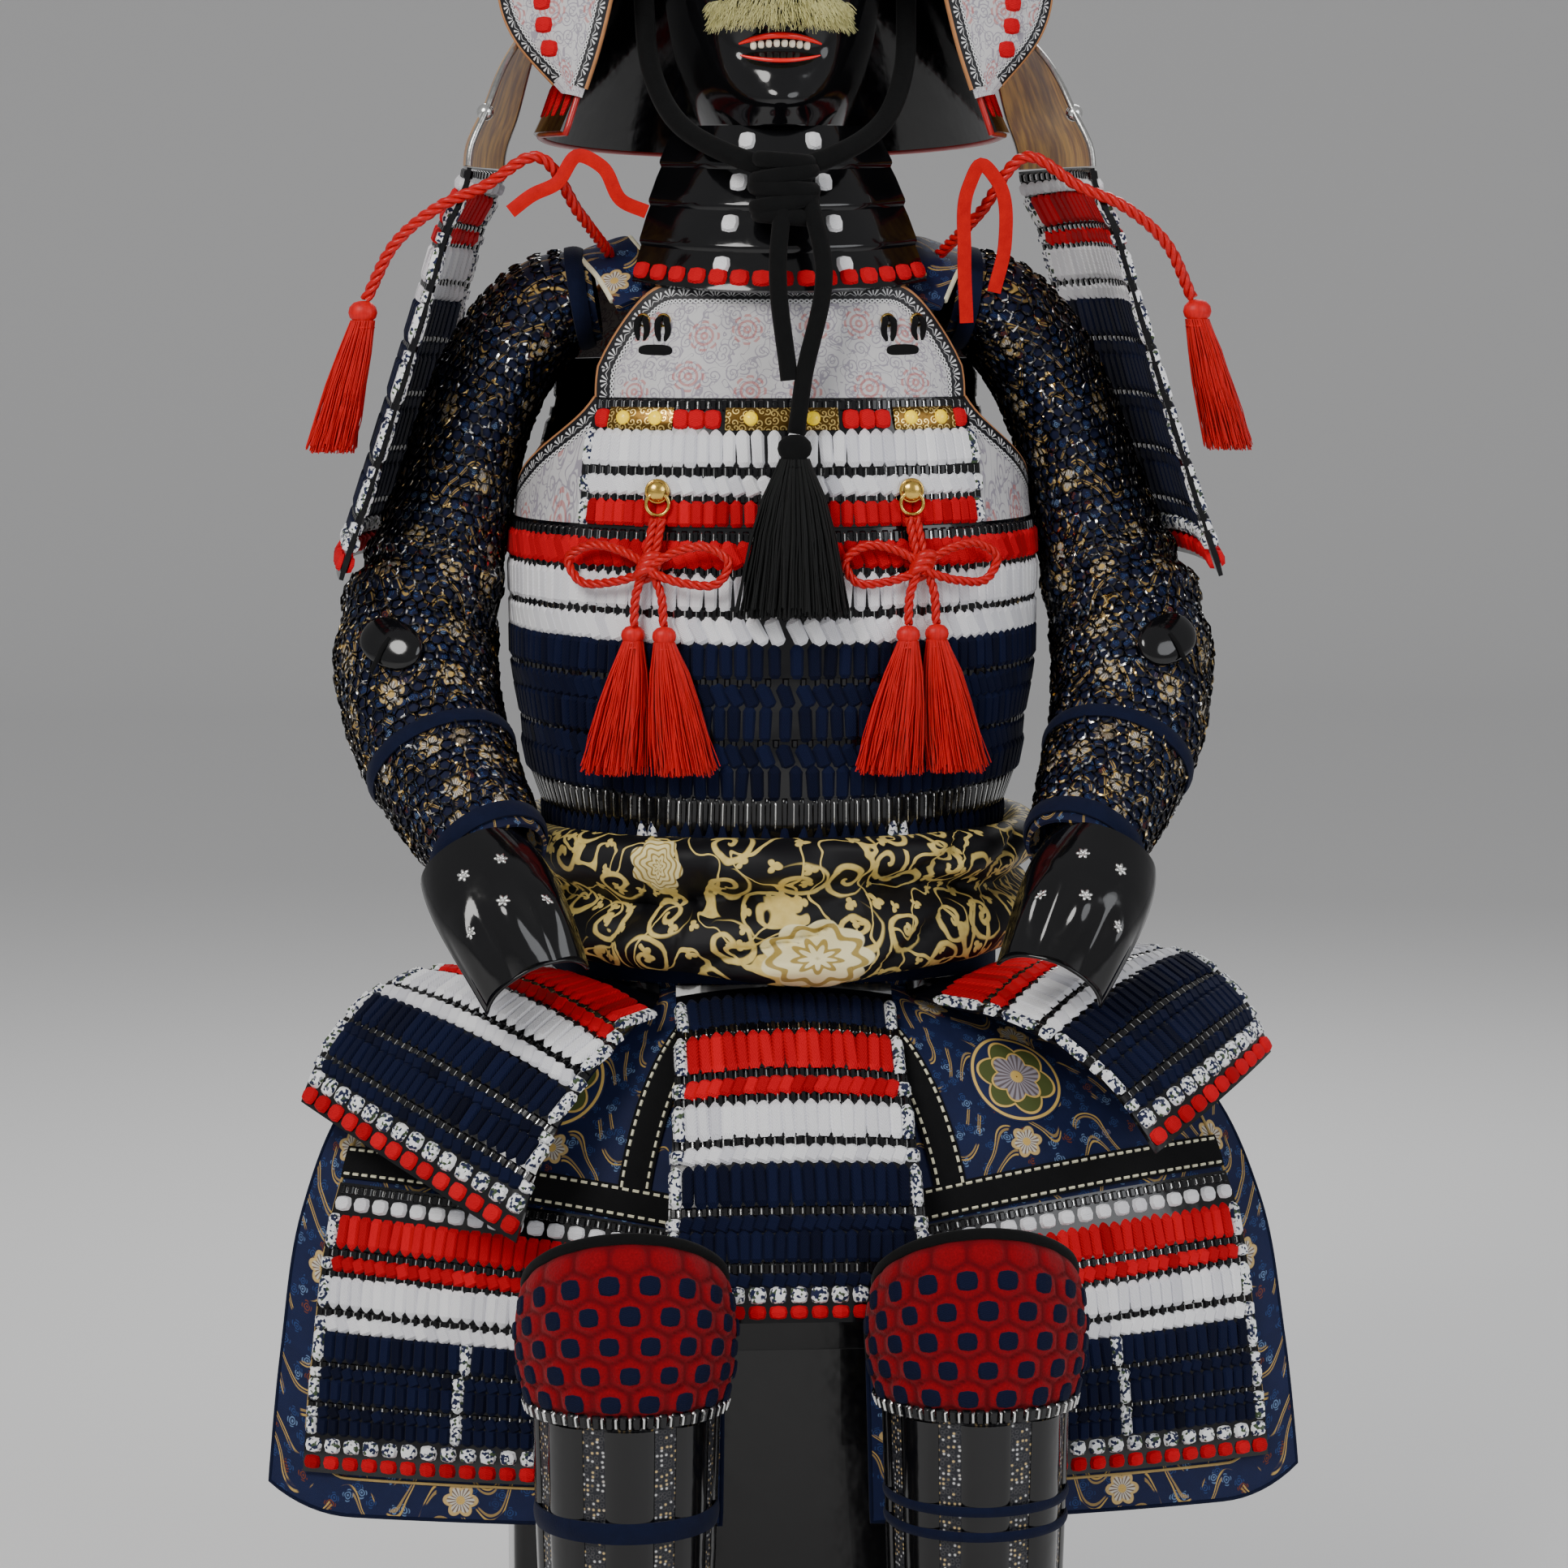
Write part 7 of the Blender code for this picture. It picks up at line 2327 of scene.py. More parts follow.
@dataclass
class LacedPanel:
    """Lacquered lames on a sheet, covered by rows of cords, heads and knots."""

    name: str
    sheet: Surface
    rows: list[Row]
    inner: float = 0.0
    pitch: float = 0.0086
    head_pitch: float = 0.0074
    square_pitch: float = 0.0152
    cord_height: float = 0.0030
    lean: float = 0.42
    edges: bool = True
    seed: int = SEED
    braids: tuple = ()

    def ground_out(self, v: Array) -> Array:
        """How far the lacquered lames stand off the sheet at each share down.

        Args:
            v: the place down.

        Returns:
            The distance at each share.
        """
        starts = [row.top for row in self.rows if row.kind == Strip.HEADS]
        stops = starts[1:] + [1.0]
        step = np.zeros_like(v)
        for start, stop in zip(starts, stops):
            inside = (v >= start) & (v < stop)
            step[inside] = (v[inside] - start) / max(stop - start, 1e-6)
        return self.inner + PLATE_WALL - 0.0008 + 0.0014 * step

    def ground(self, finishes: Finishes, columns: int = 33) -> bpy.types.Object:
        """The lames: one wall that steps out a little towards the foot of each.

        Args:
            finishes: the suit's materials.
            columns: how many columns.

        Returns:
            The piece.
        """
        cuts = [0.0, 1.0]
        for row in self.rows:
            if row.kind == Strip.HEADS:
                cuts += [row.top - 0.0015, row.top + 0.0015]
        vs = np.unique(np.clip(np.concatenate([np.linspace(0, 1, 25), cuts]), 0, 1))
        us = np.linspace(0, 1, columns + 1)[:-1] if self.sheet.closed else np.linspace(0, 1, columns)
        u, v = np.meshgrid(us, vs)
        outer = self.sheet.at(u, v, self.ground_out(v))
        inner = self.sheet.at(u, v, self.inner)
        return wall_object(f"{self.name}_lames", outer, inner, finishes.lame, self.sheet.closed)

    def lacing(self, shop: Workshop, finishes: Finishes, extra: Laid | None = None) -> bpy.types.Object:
        """The cords, heads and knots of every row, as one piece.

        Args:
            shop: the unit shapes and trees.
            finishes: the suit's materials.
            extra: points to lay besides the rows.

        Returns:
            The piece.
        """
        laid = extra or Laid.empty()
        chance = np.random.default_rng(self.seed)
        for row in self.rows:
            middle = (row.top + row.bottom) / 2
            width = self.sheet.width(middle)
            length = (row.bottom - row.top) * self.sheet.fall()
            pitch = {Strip.HEADS: self.head_pitch, Strip.SQUARES: self.square_pitch}.get(row.kind,
                                                                                         self.pitch)
            count = max(2, round(width / pitch))
            u = (np.arange(count) + 0.5) / count
            v = np.full(count, middle)
            spacing = width / count
            self.lay_row(laid, row, u, v, spacing, length, chance)
        return shop.lay(f"{self.name}_lacing", laid, finishes.dyes(), seed=self.seed)

    def lay_row(self, laid: Laid, row: Row, u: Array, v: Array, spacing: float, length: float,
                chance: np.random.Generator) -> None:
        """Lays one row.

        Args:
            laid: gathers the points.
            row: the row.
            u: the place across of each shape.
            v: the place down of each shape.
            spacing: from one shape to the next, in metres.
            length: the row's height, in metres.
            chance: draws the small differences.
        """
        count = len(u)
        out = self.ground_out(v)
        places = self.sheet.at(u, v, out)
        face = self.sheet.normal(u, v)
        step = 0.5 / max(count, 2)
        across = unit(self.sheet.at(u + step, v) - self.sheet.at(u - step, v))
        down = np.cross(across, face)
        shade = np.clip(0.55 + 0.22 * chance.standard_normal(count), 0, 1)
        dyes = np.full(count, int(row.dye))
        ends = (np.arange(count) == 0) | (np.arange(count) == count - 1)
        ends &= self.edges and not self.sheet.closed
        if row.kind == Strip.HEADS:
            size = (spacing * 0.66, length * 1.04, 0.0019)
            laid.add(places, face, across, size, Stitch.HEAD, Dye.LACQUER, shade)
            # Painted highlights: narrow silver strips between the lacquered heads stand for the glints of
            # light on them.
            between = self.sheet.at(np.clip(u + 0.5 / count, 0, 1), v, out - 0.0001)[:-1]
            if row.dye == Dye.SILVER_GLINT:
                glint = np.stack([spacing * chance.uniform(0.10, 0.26, count - 1),
                                  np.full(count - 1, length * 0.80),
                                  np.full(count - 1, 0.0015)], axis=1)
                laid.add(between, face[:-1], across[:-1], glint, Stitch.HEAD, Dye.SILVER_GLINT)
            return
        if row.kind == Strip.SQUARES:
            size = (spacing * 0.86, min(length * 1.08, spacing * 0.92), 0.0042)
            laid.add(places, face, across, size, Stitch.CUSHION, dyes, shade)
            return
        dyes[ends] = int(Dye.PATTERN)
        if row.dye == Dye.NAVY:
            for place in self.braids:
                dyes[int(np.argmin(np.abs(u - place)))] = int(Dye.PATTERN)
        if row.kind == Strip.LONG:
            turn = 0.035 * chance.standard_normal(count)
            tall = length * (1.06 + 0.02 * chance.standard_normal(count))
            wide = np.full(count, spacing * 1.22)
            high = np.full(count, self.cord_height)
        else:
            turn = np.full(count, self.lean) + 0.05 * chance.standard_normal(count)
            tall = np.full(count, length * 1.30)
            wide = np.full(count, spacing * 1.40)
            high = np.full(count, self.cord_height * 1.05)
            turn[ends] = 0.0
            tall[ends] = length * 1.02
        turned = across * np.cos(turn)[:, None] + down * np.sin(turn)[:, None]
        high = np.where(ends, high * 1.15, high)
        laid.add(places, face, turned, np.stack([wide, tall, high], axis=1), Stitch.CORD, dyes, shade)

    def build(self, shop: Workshop, finishes: Finishes, node: str, extra: Laid | None = None,
              columns: int = 33) -> None:
        """Makes both pieces and hangs them on the set.

        Args:
            shop: the unit shapes and trees.
            finishes: the materials.
            node: the solid that the lames stand for.
            extra: more points for the lacing.
            columns: how finely the lames are divided across.
        """
        finish_piece(self.ground(finishes, columns), [node])
        finish_piece(self.lacing(shop, finishes, extra))


def torso_band(top: Callable[[float], float], bottom: Callable[[float], float], start: float, stop: float,
               out: float = 0.0, closed: bool = False, columns: int = 121) -> Surface:
    """A sheet round the torso between two edges.

    Args:
        top: gives the upper edge's height from the angle.
        bottom: gives the lower edge's height.
        start: the angle of the first column, seen from the front at the left.
        stop: the angle of the last.
        out: how far the sheet lies off the body.
        closed: whether it goes all the way round.
        columns: grid points across.

    Returns:
        The sheet, u running to the viewer's right in front.
    """

    def place(u: float, v: float) -> Vector:
        """A point of the band."""
        degrees = start + (stop - start) * u
        high = top(degrees)
        return torso_point(degrees, high + (bottom(degrees) - high) * v, out)

    return Surface(place, columns, 31, closed)


@dataclass
class Plate:
    """A leather-faced plate with a printed edging and rolled piping along its free edge."""

    name: str
    sheet: Surface
    edge: Sequence[tuple[float, float]]
    wall: float = LEATHER_WALL
    border: float = EDGING_WIDTH
    piping: float = 0.0022

    def edge_points(self, inset: Array, out: float) -> Array:
        """Points inside the edge by an inset, on the sheet moved off by out.

        Args:
            inset: how far inside the edge, in metres.
            out: how far off the form, in metres.

        Returns:
            The points.
        """
        uv = np.array(self.edge)
        base = self.sheet.at(uv[:, 0], uv[:, 1], out)
        face = self.sheet.normal(uv[:, 0], uv[:, 1])
        inward = unit(np.cross(np.gradient(base, axis=0), face))
        return base + inward * np.asarray(inset)[..., None]

    def build(self, finishes: Finishes, node: str, slot: str, columns: int = 61, rows: int = 21) -> None:
        """Makes the faced wall, its edging and its piping.

        Args:
            finishes: the materials.
            node: the solid that the wall stands for.
            slot: not used.
            columns: grid points across.
            rows: grid points down.
        """
        u, v = np.meshgrid(np.linspace(0, 1, columns), np.linspace(0, 1, rows))
        made = wall_object(f"{self.name}_face", self.sheet.at(u, v, self.wall), self.sheet.at(u, v, 0.0),
                           finishes.leather)
        finish_piece(made, [node])
        insets = np.linspace(0.0, self.border, 7)
        lift = [self.wall + 0.0004 * math.sin(math.pi * min(1.0, k / 6 + 0.15)) + 0.0003 for k in range(7)]
        top = np.array([self.on_sheet(i, o) for i, o in zip(insets, lift)])
        low = np.array([self.on_sheet(i, self.wall - 0.0012) for i in insets])
        strip = wall_object(f"{self.name}_edging", top, low, finishes.fans)
        self.edge_map(strip, top)
        finish_piece(strip)
        line = self.edge_points(np.zeros(len(self.edge)), self.wall * 0.5)
        finish_piece(tube_object(f"{self.name}_piping", line, self.piping, finishes.piping, 8))

    def on_sheet(self, inset: float, out: float) -> Array:
        """The edge moved inwards and dropped back on the sheet at a height.

        Args:
            inset: how far inside the edge, in metres.
            out: how far off the form, in metres.

        Returns:
            The points.
        """
        flat = self.edge_points(np.full(len(self.edge), inset), 0.0)
        grid = self.sheet.points.reshape(-1, 3)
        faces = self.sheet.normals.reshape(-1, 3)
        found = []
        for p in flat:
            k = int(np.argmin(((grid - p) ** 2).sum(axis=1)))
            n = faces[k] / np.linalg.norm(faces[k])
            found.append(p - n * float(np.dot(p - grid[k], n)) + n * out)
        return np.array(found)

    @staticmethod
    def edge_map(strip: bpy.types.Object, rows: Array) -> None:
        """Maps the edging along and into the plate, in metres."""
        run = run_along(rows[0])
        into = np.linspace(0, EDGING_WIDTH, len(rows))
        uv = np.stack(np.meshgrid(run, into), axis=2).reshape(-1, 2)
        map_points(strip, np.concatenate([uv, uv]))


@dataclass
class Cuirass:
    """The body lames all round, the chest and back lames and the leather-faced plates."""

    torso_pitch: float = 0.0087
    bar_height: float = 0.0165
    bar_level: float = 0.170
    bar_stud: tuple = (0.0054, 0.0034)
    square: tuple = (0.0126, 0.0145, 0.0042)
    eyelet_radius: float = 0.0042
    slot_half: float = 0.0130

    def lames(self, shop: Workshop, finishes: Finishes) -> None:
        """Makes the three stacks of laced lames.

        Args:
            shop: the unit shapes and trees.
            finishes: the suit's materials.
        """
        body = torso_band(lambda a: dipped(a, TORSO_TOP, 0.003), lambda a: dipped(a, WAIST_TOP),
                          -180, 180, closed=True, columns=241)
        LacedPanel("torso", body, TORSO_ROWS, pitch=self.torso_pitch, lean=-CORD_SLANT).build(
            shop, finishes, "torso_lames", columns=129)
        chest = torso_band(lambda a: CHEST_TOP, lambda a: dipped(a, TORSO_TOP + GAP, 0.003),
                           -CHEST_SPREAD, CHEST_SPREAD)
        extra = Laid.empty()
        self.squares(extra, chest)
        LacedPanel("chest", chest, CHEST_ROWS, lean=-CORD_SLANT).build(shop, finishes, "chest_lames", extra,
                                                                       49)
        back = torso_band(lambda a: BACK_LAMES_TOP, lambda a: TORSO_TOP + GAP, BACK_FROM, 360 - BACK_FROM)
        LacedPanel("back", back, BACK_ROWS, lean=-CORD_SLANT).build(shop, finishes, "back_lames", columns=49)

    def squares(self, laid: Laid, chest: Surface) -> None:
        """The red squares between the gilt bars.

        Args:
            laid: the points that stitches are laid on.
            chest: the surface of the chest.
        """
        u = np.array([0.04, 0.275, 0.315, 0.355, 0.635, 0.675, 0.715, 0.96])
        v = np.full(len(u), self.bar_level)
        step = chest.at(u + 0.01, v) - chest.at(u - 0.01, v)
        laid.add(chest.at(u, v, 0.0045), chest.normal(u, v), unit(step), self.square,
                 Stitch.CUSHION, Dye.RED, 0.6)

    def bars(self, finishes: Finishes) -> None:
        """The pierced gilt bars across the top of the chest lames, each with two yellow studs.

        Args:
            finishes: the suit's materials.
        """
        chest = torso_band(lambda a: CHEST_TOP, lambda a: TORSO_TOP, -CHEST_SPREAD, CHEST_SPREAD)
        half = self.bar_height / 2 / (CHEST_TOP - TORSO_TOP)
        parts, studs = [], []
        for k, (low, high) in enumerate(((0.065, 0.255), (0.385, 0.605), (0.745, 0.935))):
            us = np.linspace(low, high, 13)
            vs = np.linspace(self.bar_level - half, self.bar_level + half, 7)
            u, v = np.meshgrid(us, vs)
            swell = np.sin(np.linspace(0, math.pi, 7))[:, None] ** 0.5
            made = wall_object(f"chest_bar_{k}", chest.at(u, v, 0.0050 + 0.0014 * swell),
                               chest.at(u, v, 0.0038),
                               finishes.filigree)
            parts.append(made)
            for share in (0.25, 0.75):
                at = low + (high - low) * share
                centre = chest.at(at, self.bar_level, 0.0066)
                n = chest.normal(at, self.bar_level)
                across = unit(np.cross((0, 0, 1), n))
                wide, high_stud = self.bar_stud
                axes = np.array([across * wide, np.cross(n, across) * wide, n * high_stud])
                studs.append(dome_object(f"bar_stud_{k}", centre, axes, finishes.yellow, rings=8,
                                         segments=14))
        finish_piece(joined("chest_bars", parts))
        finish_piece(joined("chest_bar_studs", studs))

    def plates(self, finishes: Finishes) -> None:
        """The chest plate, the two side plates and the back plate.

        Args:
            finishes: the suit's materials.
        """
        front = torso_band(collar_edge, lambda a: CHEST_TOP + GAP, -CHEST_SPREAD, CHEST_SPREAD)
        edge = [(0.0, v) for v in np.linspace(1, 0.04, 8)]
        edge += [(u, 0.0) for u in np.linspace(0.0, 1.0, 61)]
        edge += [(1.0, v) for v in np.linspace(0.04, 1, 8)]
        Plate("chest_plate", front, edge).build(finishes, "chest_plate", "printed_leather")
        for side, name in SIDES:
            start, stop = CHEST_SPREAD + 0.4, BACK_FROM - 0.6
            if side < 0:
                start, stop = -stop, -start
            flank = torso_band(armhole_edge, lambda a: dipped(a, TORSO_TOP + GAP, 0.003), start, stop)
            line = [(u, 0.0) for u in np.linspace(0, 1, 41)]
            Plate(f"side_plate_{name}", flank, line).build(
                finishes, f"side_plate_{name}", "printed_leather", rows=13)
        back = torso_band(back_edge, lambda a: BACK_LAMES_TOP + GAP, BACK_FROM, 360 - BACK_FROM)
        line = [(u, 0.0) for u in np.linspace(0, 1, 61)]
        Plate("back_plate", back, line).build(finishes, "back_plate", "printed_leather", rows=13)

    def eyelets(self, finishes: Finishes) -> None:
        """The cord ends and dark oval slots on the chest plate.

        Args:
            finishes: the suit's materials.
        """
        parts = []
        for x in (-0.100, -0.0855, 0.0765, 0.0985):
            centre = np.array((x, torso_surface(x, 1.072, LEATHER_WALL), 1.072))
            n = self.outward(x)
            across = unit(np.cross((0, 0, 1), n))
            up = np.cross(n, across)
            ring = [centre + n * 0.0006 + (across * math.cos(t) + up * math.sin(t)) * self.eyelet_radius
                    for t in np.linspace(0, 2 * math.pi, 16, endpoint=False)]
            parts.append(tube_object("eyelet", np.array(ring), 0.0013, finishes.gilt, 6, ring=True))
            for way in (-1, 1):
                line = [centre - n * 0.001 + across * way * 0.0016 + up * 0.0015,
                        centre + n * 0.0034 + across * way * 0.0030 + up * 0.0002,
                        centre + n * 0.0026 + across * way * 0.0038 - up * 0.0085,
                        centre + n * 0.0022 + across * way * 0.0020 - up * 0.0150]
                parts.append(tube_object("cord_end", even_path(line, 0.002), 0.0024, finishes.black_band, 8))
        for x in (-0.092, 0.0875):
            centre = np.array((x, torso_surface(x, 1.050, LEATHER_WALL), 1.0505))
            n = self.outward(x)
            across = unit(np.cross((0, 0, 1), n))
            axes = np.array([across * self.slot_half, np.cross(n, across) * 0.0043, n * 0.0012])
            parts.append(dome_object("slot", centre, axes, finishes.black_band, 0.7, 8, 20))
        finish_piece(joined("chest_eyelets", parts))

    @staticmethod
    def outward(x: float) -> Array:
        """The way that the chest faces at a place across."""
        slope = (torso_surface(x + 0.004, 1.06) - torso_surface(x - 0.004, 1.06)) / 0.008
        return unit(np.array((slope, -1.0, 0.0)))

    def build(self, shop: Workshop, finishes: Finishes) -> None:
        """Makes the whole cuirass."""
        self.lames(shop, finishes)
        self.plates(finishes)
        self.bars(finishes)
        self.eyelets(finishes)


@dataclass
class ShoulderStrap:
    """A padded brocade strap over the shoulder, with yellow cord along both edges."""

    side: int
    name: str
    width: float = 0.040
    thick: float = 0.008
    cord: float = 0.0022
    tilt: float = 0.34

    def section(self) -> Array:
        """Rings of points round the strap, and rows along it.

        Returns:
            The rows of points.
        """
        line = Spline(STRAP)
        points = np.array([line.at(t) for t in np.linspace(0, 1, 41)])
        points[:, 0] *= self.side
        facing = np.array((self.tilt * self.side, 0.0, 1.0))
        ahead = unit(np.gradient(points, axis=0))
        across = unit(np.cross(ahead, facing))
        face = unit(np.cross(across, ahead))
        turns = np.linspace(0, 2 * math.pi, 28, endpoint=False)
        rows = []
        for p, a, f in zip(points, across, face):
            ring = []
            for t in turns:
                c, s = math.cos(t), math.sin(t)
                ring.append(p + a * math.copysign(abs(c) ** 0.45, c) * self.width / 2
                            + f * math.copysign(abs(s) ** 0.85, s) * self.thick / 2)
            rows.append(ring)
        return np.array(rows)

    def build(self, finishes: Finishes) -> None:
        """Makes the strap as padded cloth, and its edge cords.

        Args:
            finishes: the suit's materials.
        """
        rows = self.section()
        count, round_ = rows.shape[:2]
        faces = capped(count, round_)
        uv = np.stack(np.meshgrid(run_along(rows[0]), run_along(rows[:, 0])), axis=2).reshape(-1, 2)
        made = mesh_object(f"shoulder_strap_{self.name}_pad", rows.reshape(-1, 3), faces, finishes.brocade,
                           uv)
        face_out(made)
        finish_piece(made, [f"shoulder_strap_{self.name}"])
        edges = [tube_object("edge", rows[2:-2, k] + (0, 0, 0.0004), self.cord, finishes.cream, 8)
                 for k in (0, round_ // 2)]
        finish_piece(joined(f"shoulder_strap_{self.name}_edges", edges))


SASH_CREASES = (
    # degrees from the front, slant in degrees a metre up, depth, half width in degrees
    (-30.0, 190.0, 0.0100, 2.3),
    (-17.0, 150.0, 0.0080, 2.0),
    (12.0, 620.0, 0.0130, 3.4),
    (37.0, 520.0, 0.0075, 2.8),
)


@dataclass
class Waist:
    """The navy cords below the cuirass, with four braided ones in front, and the rolled sash."""

    pitch: float = 0.0084
    braids: tuple = (-0.092, -0.083, 0.068, 0.077)
    sash_length: float = 1.25
    roll_gap: tuple = (0.0190, 0.0080)

    def level(self, degrees: float, share: float) -> Vector:
        """The outside of the belt's wall from its top down."""
        line = Spline([(z, out, 0.0) for z, out, _ in WAIST], lambda row: Vector((0, 0, row[0])))
        z, out, _ = line.at(share)
        dip = FRONT_DIP * max(0.0, 1 - share * 2.4)
        return torso_point(degrees, dipped(degrees, z, dip), out)

    def build(self, shop: Workshop, finishes: Finishes) -> None:
        """Makes the belt wall, its cords and the sash.

        Args:
            shop: the unit shapes and trees.
            finishes: the suit's materials.
        """
        sheet = Surface(lambda u, v: self.level(-180 + 360 * u, v), 181, 31, True)
        u, v = np.meshgrid(np.linspace(0, 1, 97)[:-1], np.linspace(0, 1, 25))
        wall = wall_object("waist_belt", sheet.at(u, v, -0.0006), sheet.at(u, v, -0.0030), finishes.tie,
                           True)
        finish_piece(wall, ["waist_lacing"])
        laid = Laid.empty()
        chance = np.random.default_rng(SEED)
        count = round(sheet.width(0.2) / self.pitch)
        across = (np.arange(count) + 0.5) / count
        dyes = np.full(count, int(Dye.NAVY))
        width = sheet.width(0.2)
        for x in self.braids:
            dyes[int(np.argmin(np.abs((across - 0.5) * width - x)))] = int(Dye.PATTERN)
        centre = np.full(count, 0.23)
        step = unit(sheet.at(across + 0.002, centre) - sheet.at(across - 0.002, centre))
        size = (width / count * 1.02, 0.062, 0.0030)
        laid.add(sheet.at(across, centre, -0.0004), sheet.normal(across, centre), step, size, Stitch.CORD,
                 dyes,
                 np.clip(0.5 + 0.2 * chance.standard_normal(count), 0, 1))
        finish_piece(shop.lay("waist_cords", laid, finishes.dyes()))
        self.sash(finishes)

    def sash(self, finishes: Finishes) -> None:
        """The padded sash: two rolls of brocade, creased where they twist at the front.

        Args:
            finishes: the suit's materials.
        """
        turns, ring = 240, 48
        section = np.array(SASH + (SASH[0],))
        line = Spline([(out, 0.0, z) for out, z in section])
        profile = np.array([line.at(t) for t in np.linspace(0, 1, ring + 1)[:-1]])
        rows = []
        for i in range(turns):
            degrees = 180 + 360 * i / turns
            turn = (degrees + 180) % 360 - 180
            near = math.exp(-((turn - 4) / 34) ** 2)
            sway = 0.011 * math.exp(-(turn / 70) ** 2)
            groove = SASH_MIDDLE + 0.003 + sway * math.sin(math.radians(turn * 3.2 + 40))
            row = []
            for k, (out, _, z) in enumerate(profile):
                roll = 1 if z > SASH_MIDDLE else -1
                slope = (z - SASH_MIDDLE) * 34
                wave = math.sin(math.radians(turn) * 9.0 * roll + slope * 3.0 + 0.7 * math.sin(turn * 0.21))
                ridge = math.sin(math.radians(turn) * 23.0 + slope * 5.5 * roll + 1.3)
                amount = max(0.0, (out - 0.012) / 0.035)
                cut = self.roll_gap[0] * math.exp(-((z - groove) / self.roll_gap[1]) ** 2)
                for at, slant, depth, wide in SASH_CREASES:
                    cut += depth * math.exp(-((turn - at - slant * (z - SASH_MIDDLE)) / wide) ** 2)
                fold = amount * ((0.0012 + 0.0024 * near) * wave + (0.0005 + 0.0012 * near) * ridge)
                row.append(tuple(sash_point(degrees, out + fold - cut * amount, z)))
            rows.append(row)
        grid = np.array(rows)
        faces = []
        for i in range(turns):
            j = (i + 1) % turns
            for k in range(ring):
                m = (k + 1) % ring
                faces.append((i * ring + k, j * ring + k, j * ring + m, i * ring + m))
        run = np.arange(turns) / turns * self.sash_length
        uv = np.stack(np.meshgrid(run_along(grid[0]), run), axis=2)[:, :, ::-1].reshape(-1, 2)
        made = mesh_object("sash_rolls", grid.reshape(-1, 3), faces, finishes.scrolls, uv, 80.0)
        face_out(made)
        finish_piece(made, ["sash"])


@dataclass
class Tassets:
    """The seven laced skirt panels."""

    def build(self, shop: Workshop, finishes: Finishes) -> None:
        """Makes every panel.

        Args:
            shop: the unit shapes and trees.
            finishes: the suit's materials.
        """
        front = panel_surface(TASSETS["tasset_front"])
        LacedPanel("tasset_front", front, FRONT_TASSET_ROWS, lean=CORD_SLANT).build(shop, finishes,
                                                                                    "tasset_front")
        for side, name in SIDES:
            near = panel_surface(TASSETS[f"tasset_front_{name}"], side)
            LacedPanel(f"tasset_front_{name}", near, SIDE_TASSET_ROWS, lean=CORD_SLANT * side,
                       seed=SEED + side).build(shop, finishes, f"tasset_front_{name}")
            for place in ("tasset_hip", "tasset_back"):
                sheet = panel_surface(TASSETS[place], side)
                LacedPanel(f"{place}_{name}", sheet, BACK_TASSET_ROWS, lean=CORD_SLANT * side,
                           seed=SEED + 3 * side).build(
                    shop, finishes, f"{place}_{name}")


